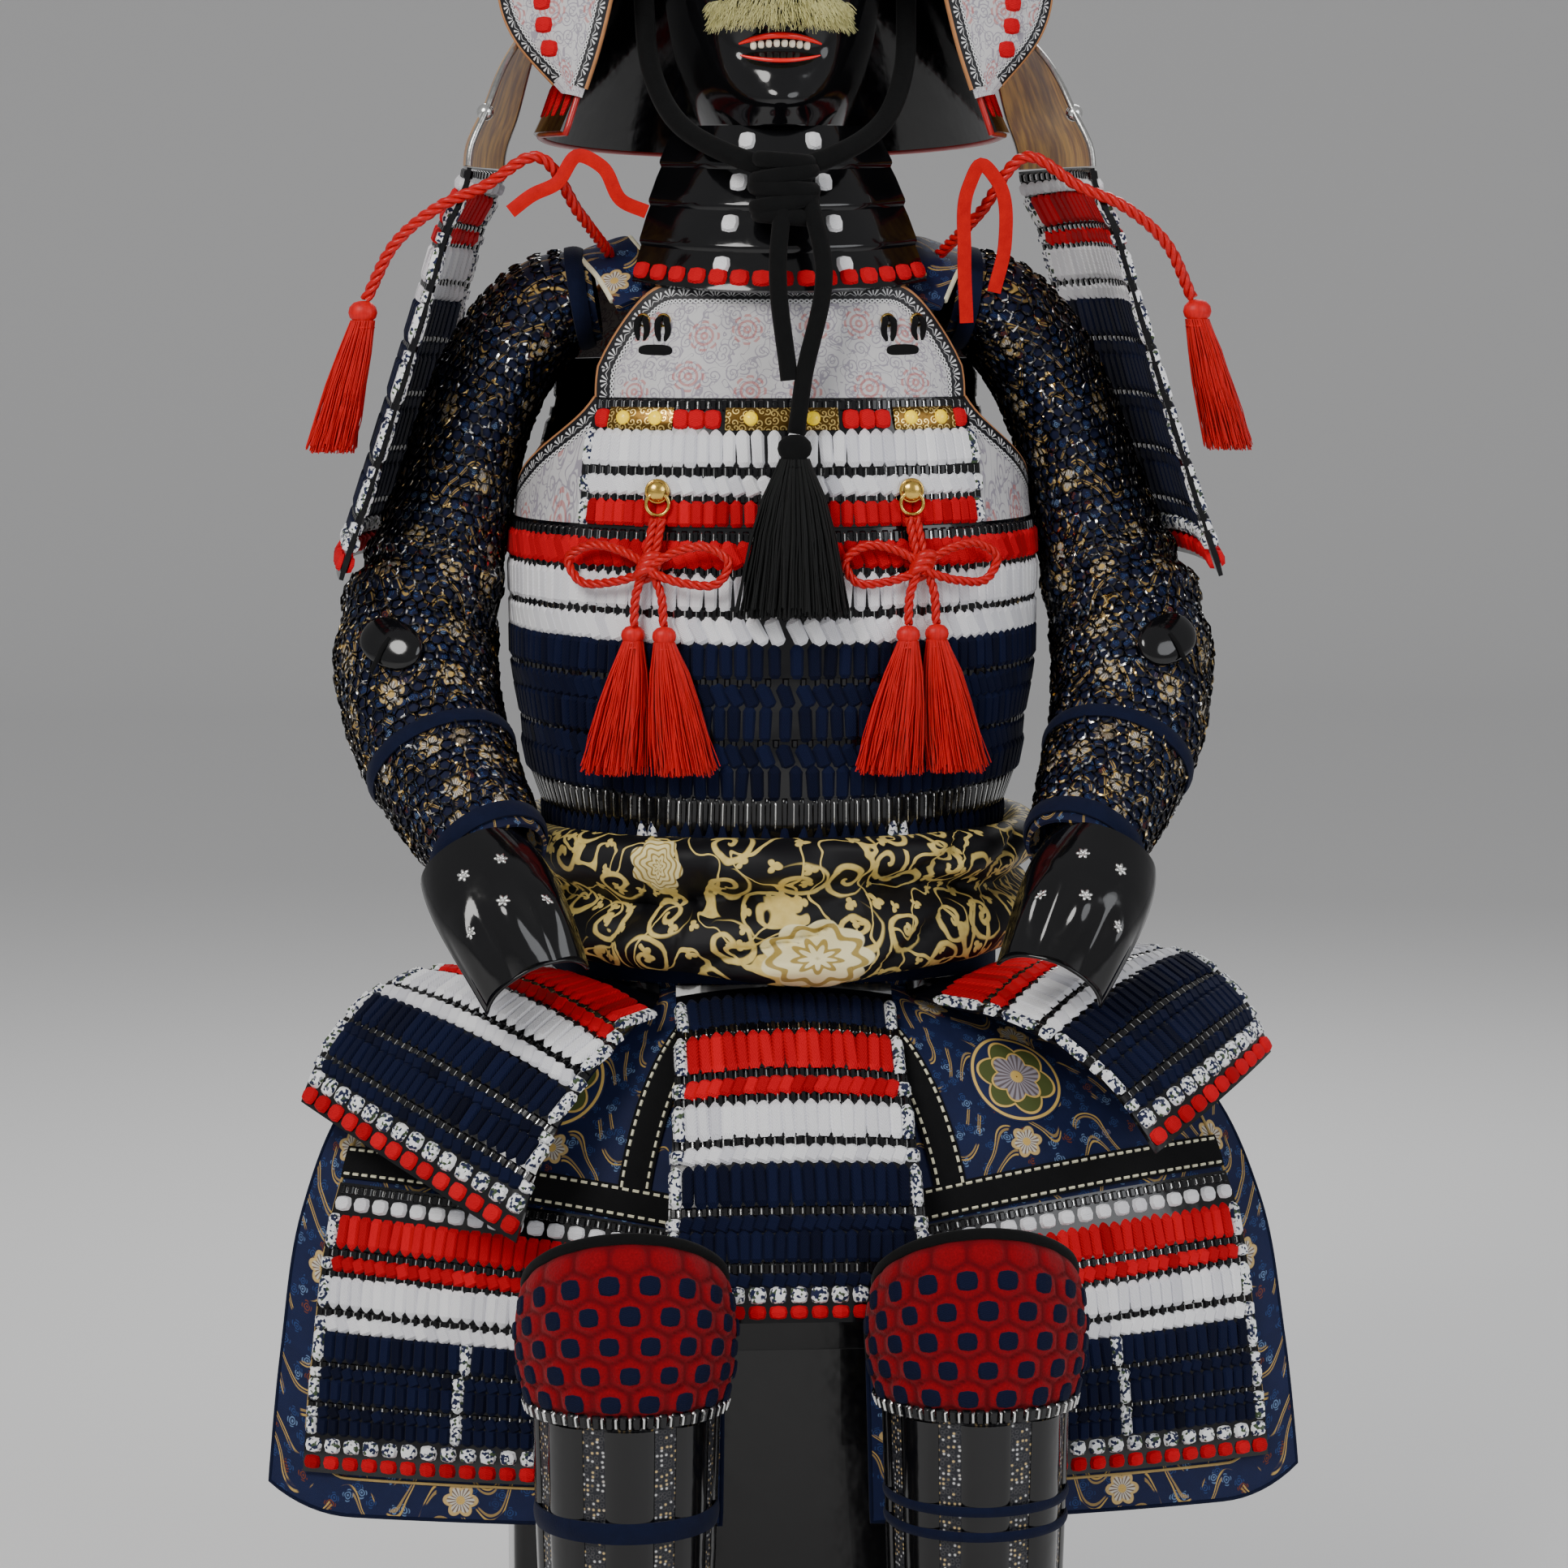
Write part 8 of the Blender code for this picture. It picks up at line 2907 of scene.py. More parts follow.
@dataclass
class ThighGuard:
    """A brocade apron with its border and leather bands, and the laced lames on its lower half."""

    side: int
    name: str
    border: float = 0.026
    band: float = 0.024
    creases: tuple = ((0.22, 0.0022, 0.055), (0.47, 0.0016, 0.040), (0.78, 0.0024, 0.060))
    medallion_radius: float = 0.034
    medallion_place: tuple = (0.47, 0.30)
    stitch: float = 0.0011
    seam_share: float = 0.76

    def corner(self, u: Array, v: Array) -> Array:
        """How far down a share of the fall lies, less at the rounded outer corner."""
        past = np.maximum(0.0, (u - CORNER_FROM) / (1 - CORNER_FROM))
        return v * (1 - CORNER_CUT * past ** 2)

    def lift(self, u: Array, v: Array) -> Array:
        """Soft uneven troughs and ridges of the hanging cloth above the lames.

        Args:
            u: the place across.
            v: the place down.

        Returns:
            The height of the cloth at each place.
        """
        high = np.zeros_like(u)
        for k, (at, depth, width) in enumerate(self.creases):
            lean = at + 0.10 * (v - 0.3) * (1 if k % 2 else -1)
            high += depth * np.exp(-((u - lean) / width) ** 2) * np.sin(math.pi
                                                                        * np.clip(v / 0.5, 0, 1)) ** 2
        return high

    def build(self, shop: Workshop, finishes: Finishes) -> None:
        """Makes the apron, its trimmings and the lames.

        Args:
            shop: the unit shapes and trees.
            finishes: the suit's materials.
        """
        sheet = panel_surface(THIGH_APRON, self.side, 61, 81)
        u, v = np.meshgrid(np.linspace(0, 1, 57), np.linspace(0, 1, 67))
        fall = self.corner(u, v)
        crease = self.lift(u, v)
        outer = sheet.at(u, fall, CLOTH_WALL + crease)
        apron = wall_object(f"thigh_apron_{self.name}_cloth", outer, sheet.at(u, fall, crease),
                            finishes.brocade)
        finish_piece(apron, [f"thigh_apron_{self.name}"])
        flat = (round(sheet.width(0.6), 3), round(sheet.fall(), 3))
        self.edging(sheet, finishes)
        self.bands(sheet, finishes)
        self.lames(sheet, shop, finishes)

    @staticmethod
    def area(grid: Array) -> float:
        """The area of one face of a grid."""
        a = np.cross(grid[1:, :-1] - grid[:-1, :-1], grid[:-1, 1:] - grid[:-1, :-1])
        return float(np.linalg.norm(a, axis=2).sum())

    def edging(self, sheet: Surface, finishes: Finishes) -> None:
        """A gold cord a little inside the sides and foot, and a hem cord along the edge.

        Args:
            sheet: the surface that it lies on.
            finishes: the suit's materials.
        """
        width, fall = sheet.width(0.7), sheet.fall()
        wide, tall = self.border / width, self.border / fall
        path = [(wide, v) for v in np.linspace(0.30, 1 - tall - 0.03, 24)]
        path += [(wide + (t ** 2) * 0.03, 1 - tall - 0.03 * (1 - t) ** 2) for t in np.linspace(0, 1, 6)]
        path += [(u, 1 - tall) for u in np.linspace(wide + 0.05, 1 - wide - 0.10, 24)]
        path += [(1 - wide - 0.10 * (1 - t), 1 - tall - 0.06 * t ** 2) for t in np.linspace(0.1, 1, 8)]
        path += [(1 - wide, v) for v in np.linspace(1 - tall - 0.08, 0.30, 24)]
        u, v = np.array(path).T
        v = self.corner(u, v)
        line = sheet.at(u, v, CLOTH_WALL + 0.0004 + self.lift(u, v))
        finish_piece(tube_object(f"thigh_border_{self.name}", line, 0.0011, finishes.gold_cord, 6))
        rim = [(0.0, v) for v in np.linspace(0.22, 1, 40)] + [(u, 1.0) for u in np.linspace(0.02, 1, 40)]
        rim += [(1.0, v) for v in np.linspace(0.98, 0.22, 40)]
        u, v = np.array(rim).T
        line = sheet.at(u, self.corner(u, v), CLOTH_WALL * 0.5)
        finish_piece(tube_object(f"thigh_hem_{self.name}", line, 0.0019, finishes.tie, 8))

    def bands(self, sheet: Surface, finishes: Finishes) -> None:
        """The black leather bands stitched with cream thread, and their round medallion.

        Args:
            sheet: the surface that it lies on.
            finishes: the suit's materials.
        """
        inner, outer, top, _ = LAME_FIELD
        routes = [[(0.215, v) for v in np.linspace(0.13, 0.455, 14)],
                  [(u, 0.468) for u in np.linspace(inner - 0.02, outer + 0.01, 40)]]
        parts, seams = [], []
        for k, route in enumerate(routes):
            u, v = np.array(route).T
            line = sheet.at(u, v)
            face = sheet.normal(u, v)
            across = unit(np.cross(np.gradient(line, axis=0), face))
            lift = CLOTH_WALL + self.lift(u, v) + 0.0003
            outer_rows, inner_rows = [], []
            for t in np.linspace(-1, 1, 9):
                edge = line + across * (t * self.band / 2)
                crown = 0.0014 + 0.0008 * (1 - t ** 4) + 0.0002 * k
                outer_rows.append(edge + face * (lift + crown)[:, None])
                inner_rows.append(edge + face * lift[:, None])
            parts.append(wall_object("band", np.array(outer_rows), np.array(inner_rows),
                                     finishes.black_band))
            for t in (-self.seam_share, self.seam_share):
                run = line + across * (t * self.band / 2) + face * (lift + 0.0023)[:, None]
                seams += self.dashes(run)
        finish_piece(joined(f"thigh_bands_{self.name}", parts))
        stitches = [tube_object("stitch", s, self.stitch, finishes.cream, 5) for s in seams]
        finish_piece(joined(f"thigh_stitching_{self.name}", stitches))
        self.medallion(sheet, finishes)

    def medallion(self, sheet: Surface, finishes: Finishes) -> None:
        """An embroidered rosette on the cloth: a round raised patch with its own map from its middle.

        Args:
            sheet: the surface that it lies on.
            finishes: the suit's materials.
        """
        u0, v0 = self.medallion_place
        width, fall = sheet.width(v0), sheet.fall()
        turns = np.linspace(0, 2 * math.pi, 49)[:-1]
        shares = np.linspace(0.02, 1.0, 9)
        reach = shares[:, None] * self.medallion_radius
        x, y = reach * np.cos(turns)[None], reach * np.sin(turns)[None]
        u, v = u0 + x / width, v0 + y / fall
        lift = CLOTH_WALL + self.lift(u, v) + 0.0004 + 0.0012 * (1 - shares[:, None] ** 6)
        outer, inner = sheet.at(u, v, lift), sheet.at(u, v, CLOTH_WALL + self.lift(u, v) + 0.0002)
        made = wall_object(f"thigh_medallion_{self.name}", outer, inner, finishes.rosette, True)
        flat = np.stack([x, y], axis=2).reshape(-1, 2)
        map_points(made, np.concatenate([flat, flat]))
        finish_piece(made)

    @staticmethod
    def dashes(line: Array, length: float = 0.0046, gap: float = 0.0030) -> list[Array]:
        """Short stitches along a line.

        Args:
            line: the points along the seam.
            length: the length in metres.
            gap: the space between stitches.

        Returns:
            Two points or more for each stitch.
        """
        run = run_along(line)
        found, at = [], gap
        while at + length < run[-1]:
            places = np.linspace(at, at + length, 3)
            found.append(np.stack([np.interp(places, run, line[:, k]) for k in range(3)], axis=1))
            at += length + gap
        return found

    def lames(self, sheet: Surface, shop: Workshop, finishes: Finishes) -> None:
        """The laced lames, with the extra patterned braid that runs down their navy rows.

        Args:
            sheet: the surface that it lies on.
            shop: the unit shapes and trees.
            finishes: the suit's materials.
        """
        inner, outer, top, bottom = LAME_FIELD
        field = Surface(lambda u, v: Vector(sheet.at(inner + (outer - inner) * u, top + (bottom - top) * v)),
                        33, 61, flip=self.side < 0)
        panel = LacedPanel(f"thigh_lames_{self.name}", field, THIGH_ROWS, CLOTH_WALL + 3 * GAP,
                           lean=CORD_SLANT * self.side, seed=SEED + 5 * self.side, braids=(0.55,))
        panel.build(shop, finishes, f"thigh_lames_{self.name}")


SHIN_TIES = {
    # height and width of each tie: one broad one on the left leg, two narrow ones on the right
    -1: ((0.246, 0.0150), (0.070, 0.010)),
    1: ((0.257, 0.0070), (0.239, 0.0070), (0.070, 0.010)),
}


@dataclass
class LegGuards:
    """A shin guard of lacquered splints with mail between them, and its quilted knee guard."""

    side: int
    name: str
    reach: float = 118.0
    patch: float = 0.0145
    cell: float = 0.0235
    knee_radius: float = 0.064
    knee_height: float = 0.128
    quilt_depth: float = 0.0034
    splint: tuple = (0.34, 0.0034)

    def shin_at(self, degrees: float, z: float, out: float) -> Vector:
        """A point of the shin guard's bare shape."""
        heights = [row[0] for row in reversed(SHIN_TABLE)]
        half_width = float(np.interp(z, heights, [row[1] for row in reversed(SHIN_TABLE)]))
        half_depth = float(np.interp(z, heights, [row[2] for row in reversed(SHIN_TABLE)]))
        return leg_point(self.side, degrees, z, half_width, half_depth, out)

    def shift(self) -> Array:
        """How far the seated solid lies from its bare shape."""
        bare = np.array([self.shin_at(a, z, CLOTH_WALL) for a in np.linspace(-self.reach, self.reach, 41)
                         for z in (0.0, 0.322)])
        low, _ = solid_box(f"shin_guard_{self.name}")
        return np.array((0.0, low[1] - bare[:, 1].min() + 0.0035, 0.0))

    def shin(self, shift: Array, finishes: Finishes) -> None:
        """The cloth wall, its splints and the ties round it.

        Args:
            shift: the move that lays the piece on its solid.
            finishes: the suit's materials.
        """
        angles = np.linspace(-self.reach, self.reach, 61)
        heights = np.linspace(SHIN_TOP, 0.0, 31)
        outer = np.array([[self.shin_at(a, z, CLOTH_WALL) for a in angles] for z in heights]) + shift
        inner = np.array([[self.shin_at(a, z, 0.0) for a in angles] for z in heights]) + shift
        wall = wall_object(f"shin_guard_{self.name}_cloth", outer, inner, finishes.shin_mail)
        finish_piece(wall, [f"shin_guard_{self.name}"])
        parts = []
        step = 2 * self.reach / SPLINTS
        for k in range(SPLINTS):
            middle = -self.reach + step * (k + 0.5)
            half = step * self.splint[0]
            places = np.linspace(-1, 1, 11)
            zs = np.linspace(SHIN_TOP - 0.004, 0.006, 22)
            top = np.array([[self.shin_at(middle + half * t, z, CLOTH_WALL + 0.0006
                                           + self.splint[1] * (1 - t * t) ** 0.5) for t in places]
                            for z in zs]) + shift
            low = np.array([[self.shin_at(middle + half * t, z, CLOTH_WALL - 0.0006) for t in places]
                            for z in zs]) + shift
            parts.append(wall_object("splint", top, low, finishes.lacquer))
        finish_piece(joined(f"shin_splints_{self.name}", parts))
        ties = []
        for z, tall in SHIN_TIES[self.side]:
            outer = np.array([[self.shin_at(a, z + tall * (0.5 - s),
                                            CLOTH_WALL + 0.0040 + 0.0012 * math.sin(math.pi * s))
                               for a in angles] for s in np.linspace(0, 1, 7)]) + shift
            inner = np.array([[self.shin_at(a, z + tall * (0.5 - s), CLOTH_WALL + 0.0026) for a in angles]
                              for s in np.linspace(0, 1, 7)]) + shift
            ties.append(wall_object("tie", outer, inner, finishes.tie))
        finish_piece(joined(f"shin_ties_{self.name}", ties))

    def knee(self, shift: Array, shop: Workshop, finishes: Finishes) -> None:
        """The red quilt with its relief of hexagons, navy squares, dark binding and laced foot.

        Args:
            shift: the move that lays the piece on its solid.
            shop: the unit shapes and trees.
            finishes: the suit's materials.
        """
        columns, rows = 91, 61
        us, vs = np.linspace(-100, 100, columns), np.linspace(0, 1, rows)
        pitch, radius = self.cell, self.knee_radius
        outer, inner, cells = [], [], []
        for v in vs:
            out_row, in_row = [], []
            for a in us:
                x = math.radians(a) * radius
                y = v * self.knee_height
                edge = self.hexagon(x, y, pitch)
                rim = min(1.0, min(v, 1 - v) * 14, (100 - abs(a)) / 6)
                cells.append(edge * rim)
                out_row.append(knee_point(self.side, a, v, KNEE_WALL - self.quilt_depth * (1 - edge * rim)))
                in_row.append(knee_point(self.side, a, v, 0.0))
            outer.append(out_row)
            inner.append(in_row)
        outer, inner = np.array(outer) + shift, np.array(inner) + shift
        quilt = wall_object(f"knee_guard_{self.name}_quilt", outer, inner, finishes.quilt, smooth=80)
        # the cell value sinks the seams and also sets the painted shade in them
        shade = quilt.data.attributes.new("cell", "FLOAT", "POINT")
        every = np.ones(len(quilt.data.vertices))
        every[:len(cells)] = cells
        shade.data.foreach_set("value", every)
        finish_piece(quilt, [f"knee_guard_{self.name}"])
        sheet = Surface(lambda u, v: knee_point(self.side, -100 + 200 * u, v) + Vector(shift), 61, 41)
        laid = Laid.empty()
        reach = math.radians(100) * radius
        for j in range(-1, 8):
            y = (j + 0.5) * pitch * HEXAGON_ROW
            offset = 0.5 if j % 2 else 0.0
            for i in range(-6, 7):
                x = (i + offset) * pitch
                u, v = 0.5 + x / (2 * reach), y / self.knee_height
                if not (0.05 < u < 0.95 and 0.09 < v < 0.90):
                    continue
                u, v = np.array([u]), np.array([v])
                step = unit(sheet.at(u + 0.01, v) - sheet.at(u - 0.01, v))
                laid.add(sheet.at(u, v, KNEE_WALL - 0.0001), sheet.normal(u, v), step,
                         (self.patch, self.patch * 0.94, 0.0022), Stitch.CUSHION, Dye.NAVY, 0.55)
        count = 26
        u = (np.arange(count) + 0.5) / count
        v = np.full(count, 0.975)
        step = unit(sheet.at(u + 0.01, v) - sheet.at(u - 0.01, v))
        laid.add(sheet.at(u, v, KNEE_WALL - 0.0006), sheet.normal(u, v), step, (0.0066, 0.0110, 0.0030),
                 Stitch.HEAD, Dye.LACQUER, 0.5)
        # Painted highlights: silver strips between the lacquered heads of the laced foot stand for glints of
        # light.
        laid.add(sheet.at(u + 0.5 / count, v, KNEE_WALL + 0.0004), sheet.normal(u, v), step,
                 (0.0028, 0.0092, 0.0024), Stitch.HEAD, Dye.SILVER_GLINT, 0.5)
        finish_piece(shop.lay(f"knee_patches_{self.name}", laid, finishes.dyes(), 0.06))
        route = [(0.0, v) for v in np.linspace(1, 0.05, 12)] + [(u, 0.0) for u in np.linspace(0, 1, 49)]
        route += [(1.0, v) for v in np.linspace(0.05, 1, 12)]
        u, v = np.array(route).T
        line = sheet.at(u, v, KNEE_WALL * 0.5)
        finish_piece(tube_object(f"knee_binding_{self.name}", line, 0.0040, finishes.cotton, 10))

    @staticmethod
    def hexagon(x: float, y: float, pitch: float) -> float:
        """1 inside a cell of the quilting, falling to 0 at its seams.

        Args:
            x: the place across.
            y: the place down.
            pitch: the space from one to the next.

        Returns:
            The share.
        """
        row = pitch * HEXAGON_ROW
        best = second = 9.0
        j0 = math.floor(y / row)
        for j in range(j0 - 1, j0 + 2):
            offset = 0.5 if j % 2 else 0.0
            cy = (j + 0.5) * row
            i0 = math.floor(x / pitch - offset)
            for i in range(i0 - 1, i0 + 3):
                d = math.hypot(x - (i + offset) * pitch, y - cy)
                if d < best:
                    best, second = d, best
                elif d < second:
                    second = d
        seam = (second - best) / 2
        return min(1.0, (seam / (pitch * 0.20))) ** 0.6

    def build(self, shop: Workshop, finishes: Finishes) -> None:
        """Makes the shin and the knee."""
        shift = self.shift()
        self.shin(shift, finishes)
        self.knee(shift, shop, finishes)


class BoxAndStand:
    """The lacquered chest below the set, and the plain stand inside it."""

    def build(self, finishes: Finishes) -> None:
        """Makes the chest with its lid line; the stand keeps its solid.

        Args:
            finishes: the suit's materials.
        """
        half = BOX_WIDTH / 2
        seam = BOX_HEIGHT - LID_HEIGHT
        levels = [(0.0, 0.006), (0.004, 0.0012), (0.010, 0.0), (seam - 0.0015, 0.0),
                  (seam - 0.0015, -LID_PROUD + 0.0008),
                  (seam, -LID_PROUD), (BOX_HEIGHT - 0.006, -LID_PROUD),
                  (BOX_HEIGHT - 0.0022, -LID_PROUD + 0.0012),
                  (BOX_HEIGHT, BOX_CUT / 2 - LID_PROUD)]
        rows = []
        for z, inset in levels:
            x, front, back = half - inset, BOX_FRONT + inset, BOX_BACK - inset
            ring = []
            for cx, cy, start in ((x, back, 0), (-x, back, 90), (-x, front, 180), (x, front, 270)):
                for t in np.linspace(0, 90, 6):
                    a = math.radians(start + t)
                    sx, sy = math.copysign(1, cx), (1 if cy == back else -1)
                    ring.append((cx - sx * BOX_CUT + math.cos(a) * BOX_CUT,
                                 cy - sy * BOX_CUT + math.sin(a) * BOX_CUT, z))
            rows.append(ring)
        grid = np.array(rows)
        count, columns = grid.shape[:2]
        made = mesh_object("box_chest", grid.reshape(-1, 3), capped(count, columns), finishes.box, None,
                           30.0)
        face_out(made)
        finish_piece(made, ["armour_box"])
        frame_stand = bpy.data.objects["stand"]
        for slot in frame_stand.material_slots:
            slot.material = finishes.wood


def twisted(line: Array, radius: float, plies: int = 3, turns_per_metre: float = 50.0, samples: int = 10,
            ring: bool = False) -> list[Array]:
    """The middle lines of the plies of a twisted cord.

    Args:
        line: points along the cord.
        radius: the cord's radius.
        plies: how many strands it is laid from.
        turns_per_metre: how tightly it is laid.
        samples: points for each turn.
        ring: whether the line closes on itself.

    Returns:
        One line for each ply.
    """
    run = run_along(line)
    count = max(8, round(run[-1] * turns_per_metre * samples))
    places = np.linspace(0, run[-1], count)
    points = np.stack([np.interp(places, run, line[:, k]) for k in range(3)], axis=1)
    across, depth = frames_along(points, (0.13, 0.9, 0.3))
    offset = radius * 0.54
    found = []
    for k in range(plies):
        a = 2 * math.pi * (places * turns_per_metre + k / plies)
        found.append(points + (across * np.cos(a)[:, None] + depth * np.sin(a)[:, None]) * offset)
    return found


@dataclass
class TwistedCord:
    """A red silk cord of three plies, each of them of finer threads."""

    name: str
    route: Sequence
    diameter: float

    def build(self, shop: Workshop, finishes: Finishes, shift: Array) -> tuple[bpy.types.Object, Array]:
        """Makes the plies along the route, moved to their seat.

        Args:
            shop: the thread tree.
            finishes: the materials.
            shift: how far the seated solid lies from the bare route.

        Returns:
            The piece and the line that it follows.
        """
        line = even_path(self.route, 0.0018) + shift
        plies = twisted(line, self.diameter / 2, turns_per_metre=0.36 / self.diameter)
        made = shop.thread(self.name, plies, self.diameter * 0.245, finishes.silk_ply, 6)
        return made, line


@dataclass
class Tassel:
    """A tassel: a bound head and many fine strands that hang and flare from it."""

    name: str
    top: Sequence[float]
    length: float
    head: float
    flare: float
    strands: int
    strand: float
    flatten: float = 1.0
    lean: tuple = (0.0, 0.0)
    seed: int = SEED

    def lines(self) -> list[Array]:
        """The path of every strand.

        Returns:
            The points of each strand.
        """
        chance = np.random.default_rng(self.seed)
        found = []
        foot = np.array(self.top) - (0, 0, 1.70 * self.head)
        shares = np.linspace(0, 1, 5)
        for k in range(self.strands):
            angle = chance.uniform(0, 2 * math.pi)
            r = math.sqrt(chance.uniform(0.0, 1.0))
            start = foot + np.array((math.cos(angle) * 0.82 * self.head * r,
                                     math.sin(angle) * 0.82 * self.head * r * max(self.flatten, 0.6), 0.004))
            reach = self.flare * r * chance.uniform(0.84, 1.02)
            way = np.array((math.cos(angle) * reach, math.sin(angle) * reach * self.flatten, 0.0))
            long = self.length * chance.uniform(0.93, 1.02)
            wave = chance.normal(0, 0.0011, (2, 2))
            line = []
            for t in shares:
                spread = min(1.0, 0.55 * t / 0.35) if t < 0.35 else 0.55 + 0.45 * (t - 0.35) / 0.65
                p = start * (1 - spread) + (foot + way) * spread
                p = p + np.array((self.lean[0] * t, self.lean[1] * t, 0.0))
                sway = math.sin(t * 7 + angle) * wave[0] + math.sin(t * 13 + 2 * angle) * wave[1] * 0.5
                p[2] = foot[2] + 0.004 * (1 - t) - long * t
                p[0] += sway[0] * t
                p[1] += sway[1] * t * self.flatten
                line.append(p)
            found.append(np.array(line))
        return found

    def bound_head(self, finish: bpy.types.Material) -> bpy.types.Object:
        """The round head, its neck and the thread wound about it.

        Args:
            finish: the material.

        Returns:
            The piece.
        """
        top = np.array(self.top)
        rings = ((0.22, 0.02), (0.62, -0.10), (0.92, -0.42), (1.00, -0.80), (0.90, -1.14), (0.70, -1.32),
                 (0.74, -1.40), (0.66, -1.48), (0.74, -1.56), (0.68, -1.64), (0.86, -1.84))
        turns = np.linspace(0, 2 * math.pi, 20, endpoint=False)
        depth = max(self.flatten, 0.7)
        grid = np.array([[top + (math.cos(t) * r * self.head, math.sin(t) * r * self.head * depth,
                                 z * self.head)
                          for t in turns] for r, z in rings])
        made = mesh_object(f"{self.name}_head", grid.reshape(-1, 3), capped(*grid.shape[:2]), finish, None,
                           50.0)
        face_out(made)
        return made

    def build(self, shop: Workshop, head: bpy.types.Material, strand: bpy.types.Material, slot: str,
              node: str) -> None:
        """Makes the head and the strands.

        Args:
            shop: the unit shapes and trees.
            head: the radius of the bound head.
            strand: the material of the strands.
            slot: not used.
            node: the solid that it is seated on.
        """
        made = shop.thread(f"{self.name}_strands", self.lines(), self.strand, strand, 3,
                           lambda t: 1.0 - 0.25 * t)
        finish_piece(made, [node])
        finish_piece(self.bound_head(head))


@dataclass(frozen=True)
class TasselSizes:
    """How long, wide and full a tassel is."""

    length: float
    head: float
    flare: float
    strand: float
    flatten: float
    strands: int

    def hang(self, name: str, node: str, lean: tuple, seed: int = SEED, hung: float = 1.0) -> Tassel:
        """A tassel hung where its seated solid has its head.

        Args:
            name: the piece's name.
            node: the solid that it is seated on.
            lean: how far the foot hangs to the side and to the front.
            seed: the order of the random draws.
            hung: the share of the lean by which the head stands back from the middle.

        Returns:
            The tassel.
        """
        low, high = solid_box(node)
        y = (low[1] + high[1]) / 2
        x = (low[0] + high[0]) / 2 - lean[0] * hung
        return Tassel(name, (x, y, high[2]), self.length, self.head, self.flare, self.strands, self.strand,
                      self.flatten, lean, seed)


CHIN_TASSEL = TasselSizes(0.108, 0.0125, 0.0440, 0.00100, 0.34, 640)
CHEST_TASSEL = TasselSizes(0.092, 0.0088, 0.0262, 0.00072, 0.5, 360)
SHOULDER_TASSEL = TasselSizes(0.090, 0.0105, 0.0192, 0.00060, 0.8, 360)


@dataclass
class ChinCord:
    """The thick cotton cord tied under the chin, with the ends that hang to its black tassel."""

    diameter: float = CHIN_CORD
    wraps: int = 5

    def build(self, shop: Workshop, finishes: Finishes) -> None:
        """Makes the cheek cords, the wound knot, the hanging ends and the tassel.

        Args:
            shop: the unit shapes and trees.
            finishes: the suit's materials.
        """
        low, _ = solid_box("chin_cord")
        shift = np.array((0.0, low[1] - (CHIN_FRONT - self.diameter * 0.40), 0.0))
        pieces = []
        for side, name in SIDES:
            line = even_path([(x * side, y, z) for x, y, z in CHEEK_ROUTE], 0.004) + shift
            made = tube_object(f"chin_cord_{name}", line, self.diameter / 2, finishes.cotton, 16)
            pieces.append((made, line))
        ends = []
        for k, route in enumerate(CHIN_ENDS):
            line = even_path(route, 0.004) + shift
            ends.append((tube_object(f"chin_end_{k}", line, self.diameter * 0.43, finishes.cotton, 16),
                         line))
        finish_piece(self.knot(finishes, shift))
        for k, (made, line) in enumerate(pieces):
            finish_piece(made, [] if k else ["chin_cord"])
        for made, line in ends:
            finish_piece(made)
        CHIN_TASSEL.hang("chin_tassel", "tassel_chin", (-0.001, -0.003)).build(
            shop, finishes.cotton, finishes.cotton_strand, "black_cord", "tassel_chin")

    def knot(self, finishes: Finishes, shift: Array) -> bpy.types.Object:
        """The knot under the chin: turns of cord wound side by side over a full core.

        Args:
            finishes: the suit's materials.
            shift: the move that lays the piece on its solid.

        Returns:
            The piece.
        """
        centre = np.array(CHIN_KNOT) + shift
        parts = [dome_object("core", centre, np.diag((0.021, 0.014, 0.024)), finishes.cotton, 0.8, 10, 20)]
        for k in range(self.wraps):
            z = 0.020 - 0.0098 * k
            wide = 0.0205 * math.sqrt(max(0.2, 1 - (z / 0.040) ** 2))
            turn = np.linspace(0, 2 * math.pi, 28, endpoint=False)
            ring = np.stack([np.cos(turn) * wide, np.sin(turn) * wide * 0.62,
                             z + np.cos(turn) * 0.0035 * (1 if k % 2 else -0.4)], axis=1) + centre
            parts.append(tube_object("wrap", ring, 0.0062, finishes.cotton, 12, ring=True))
        return joined("chin_knot", parts)


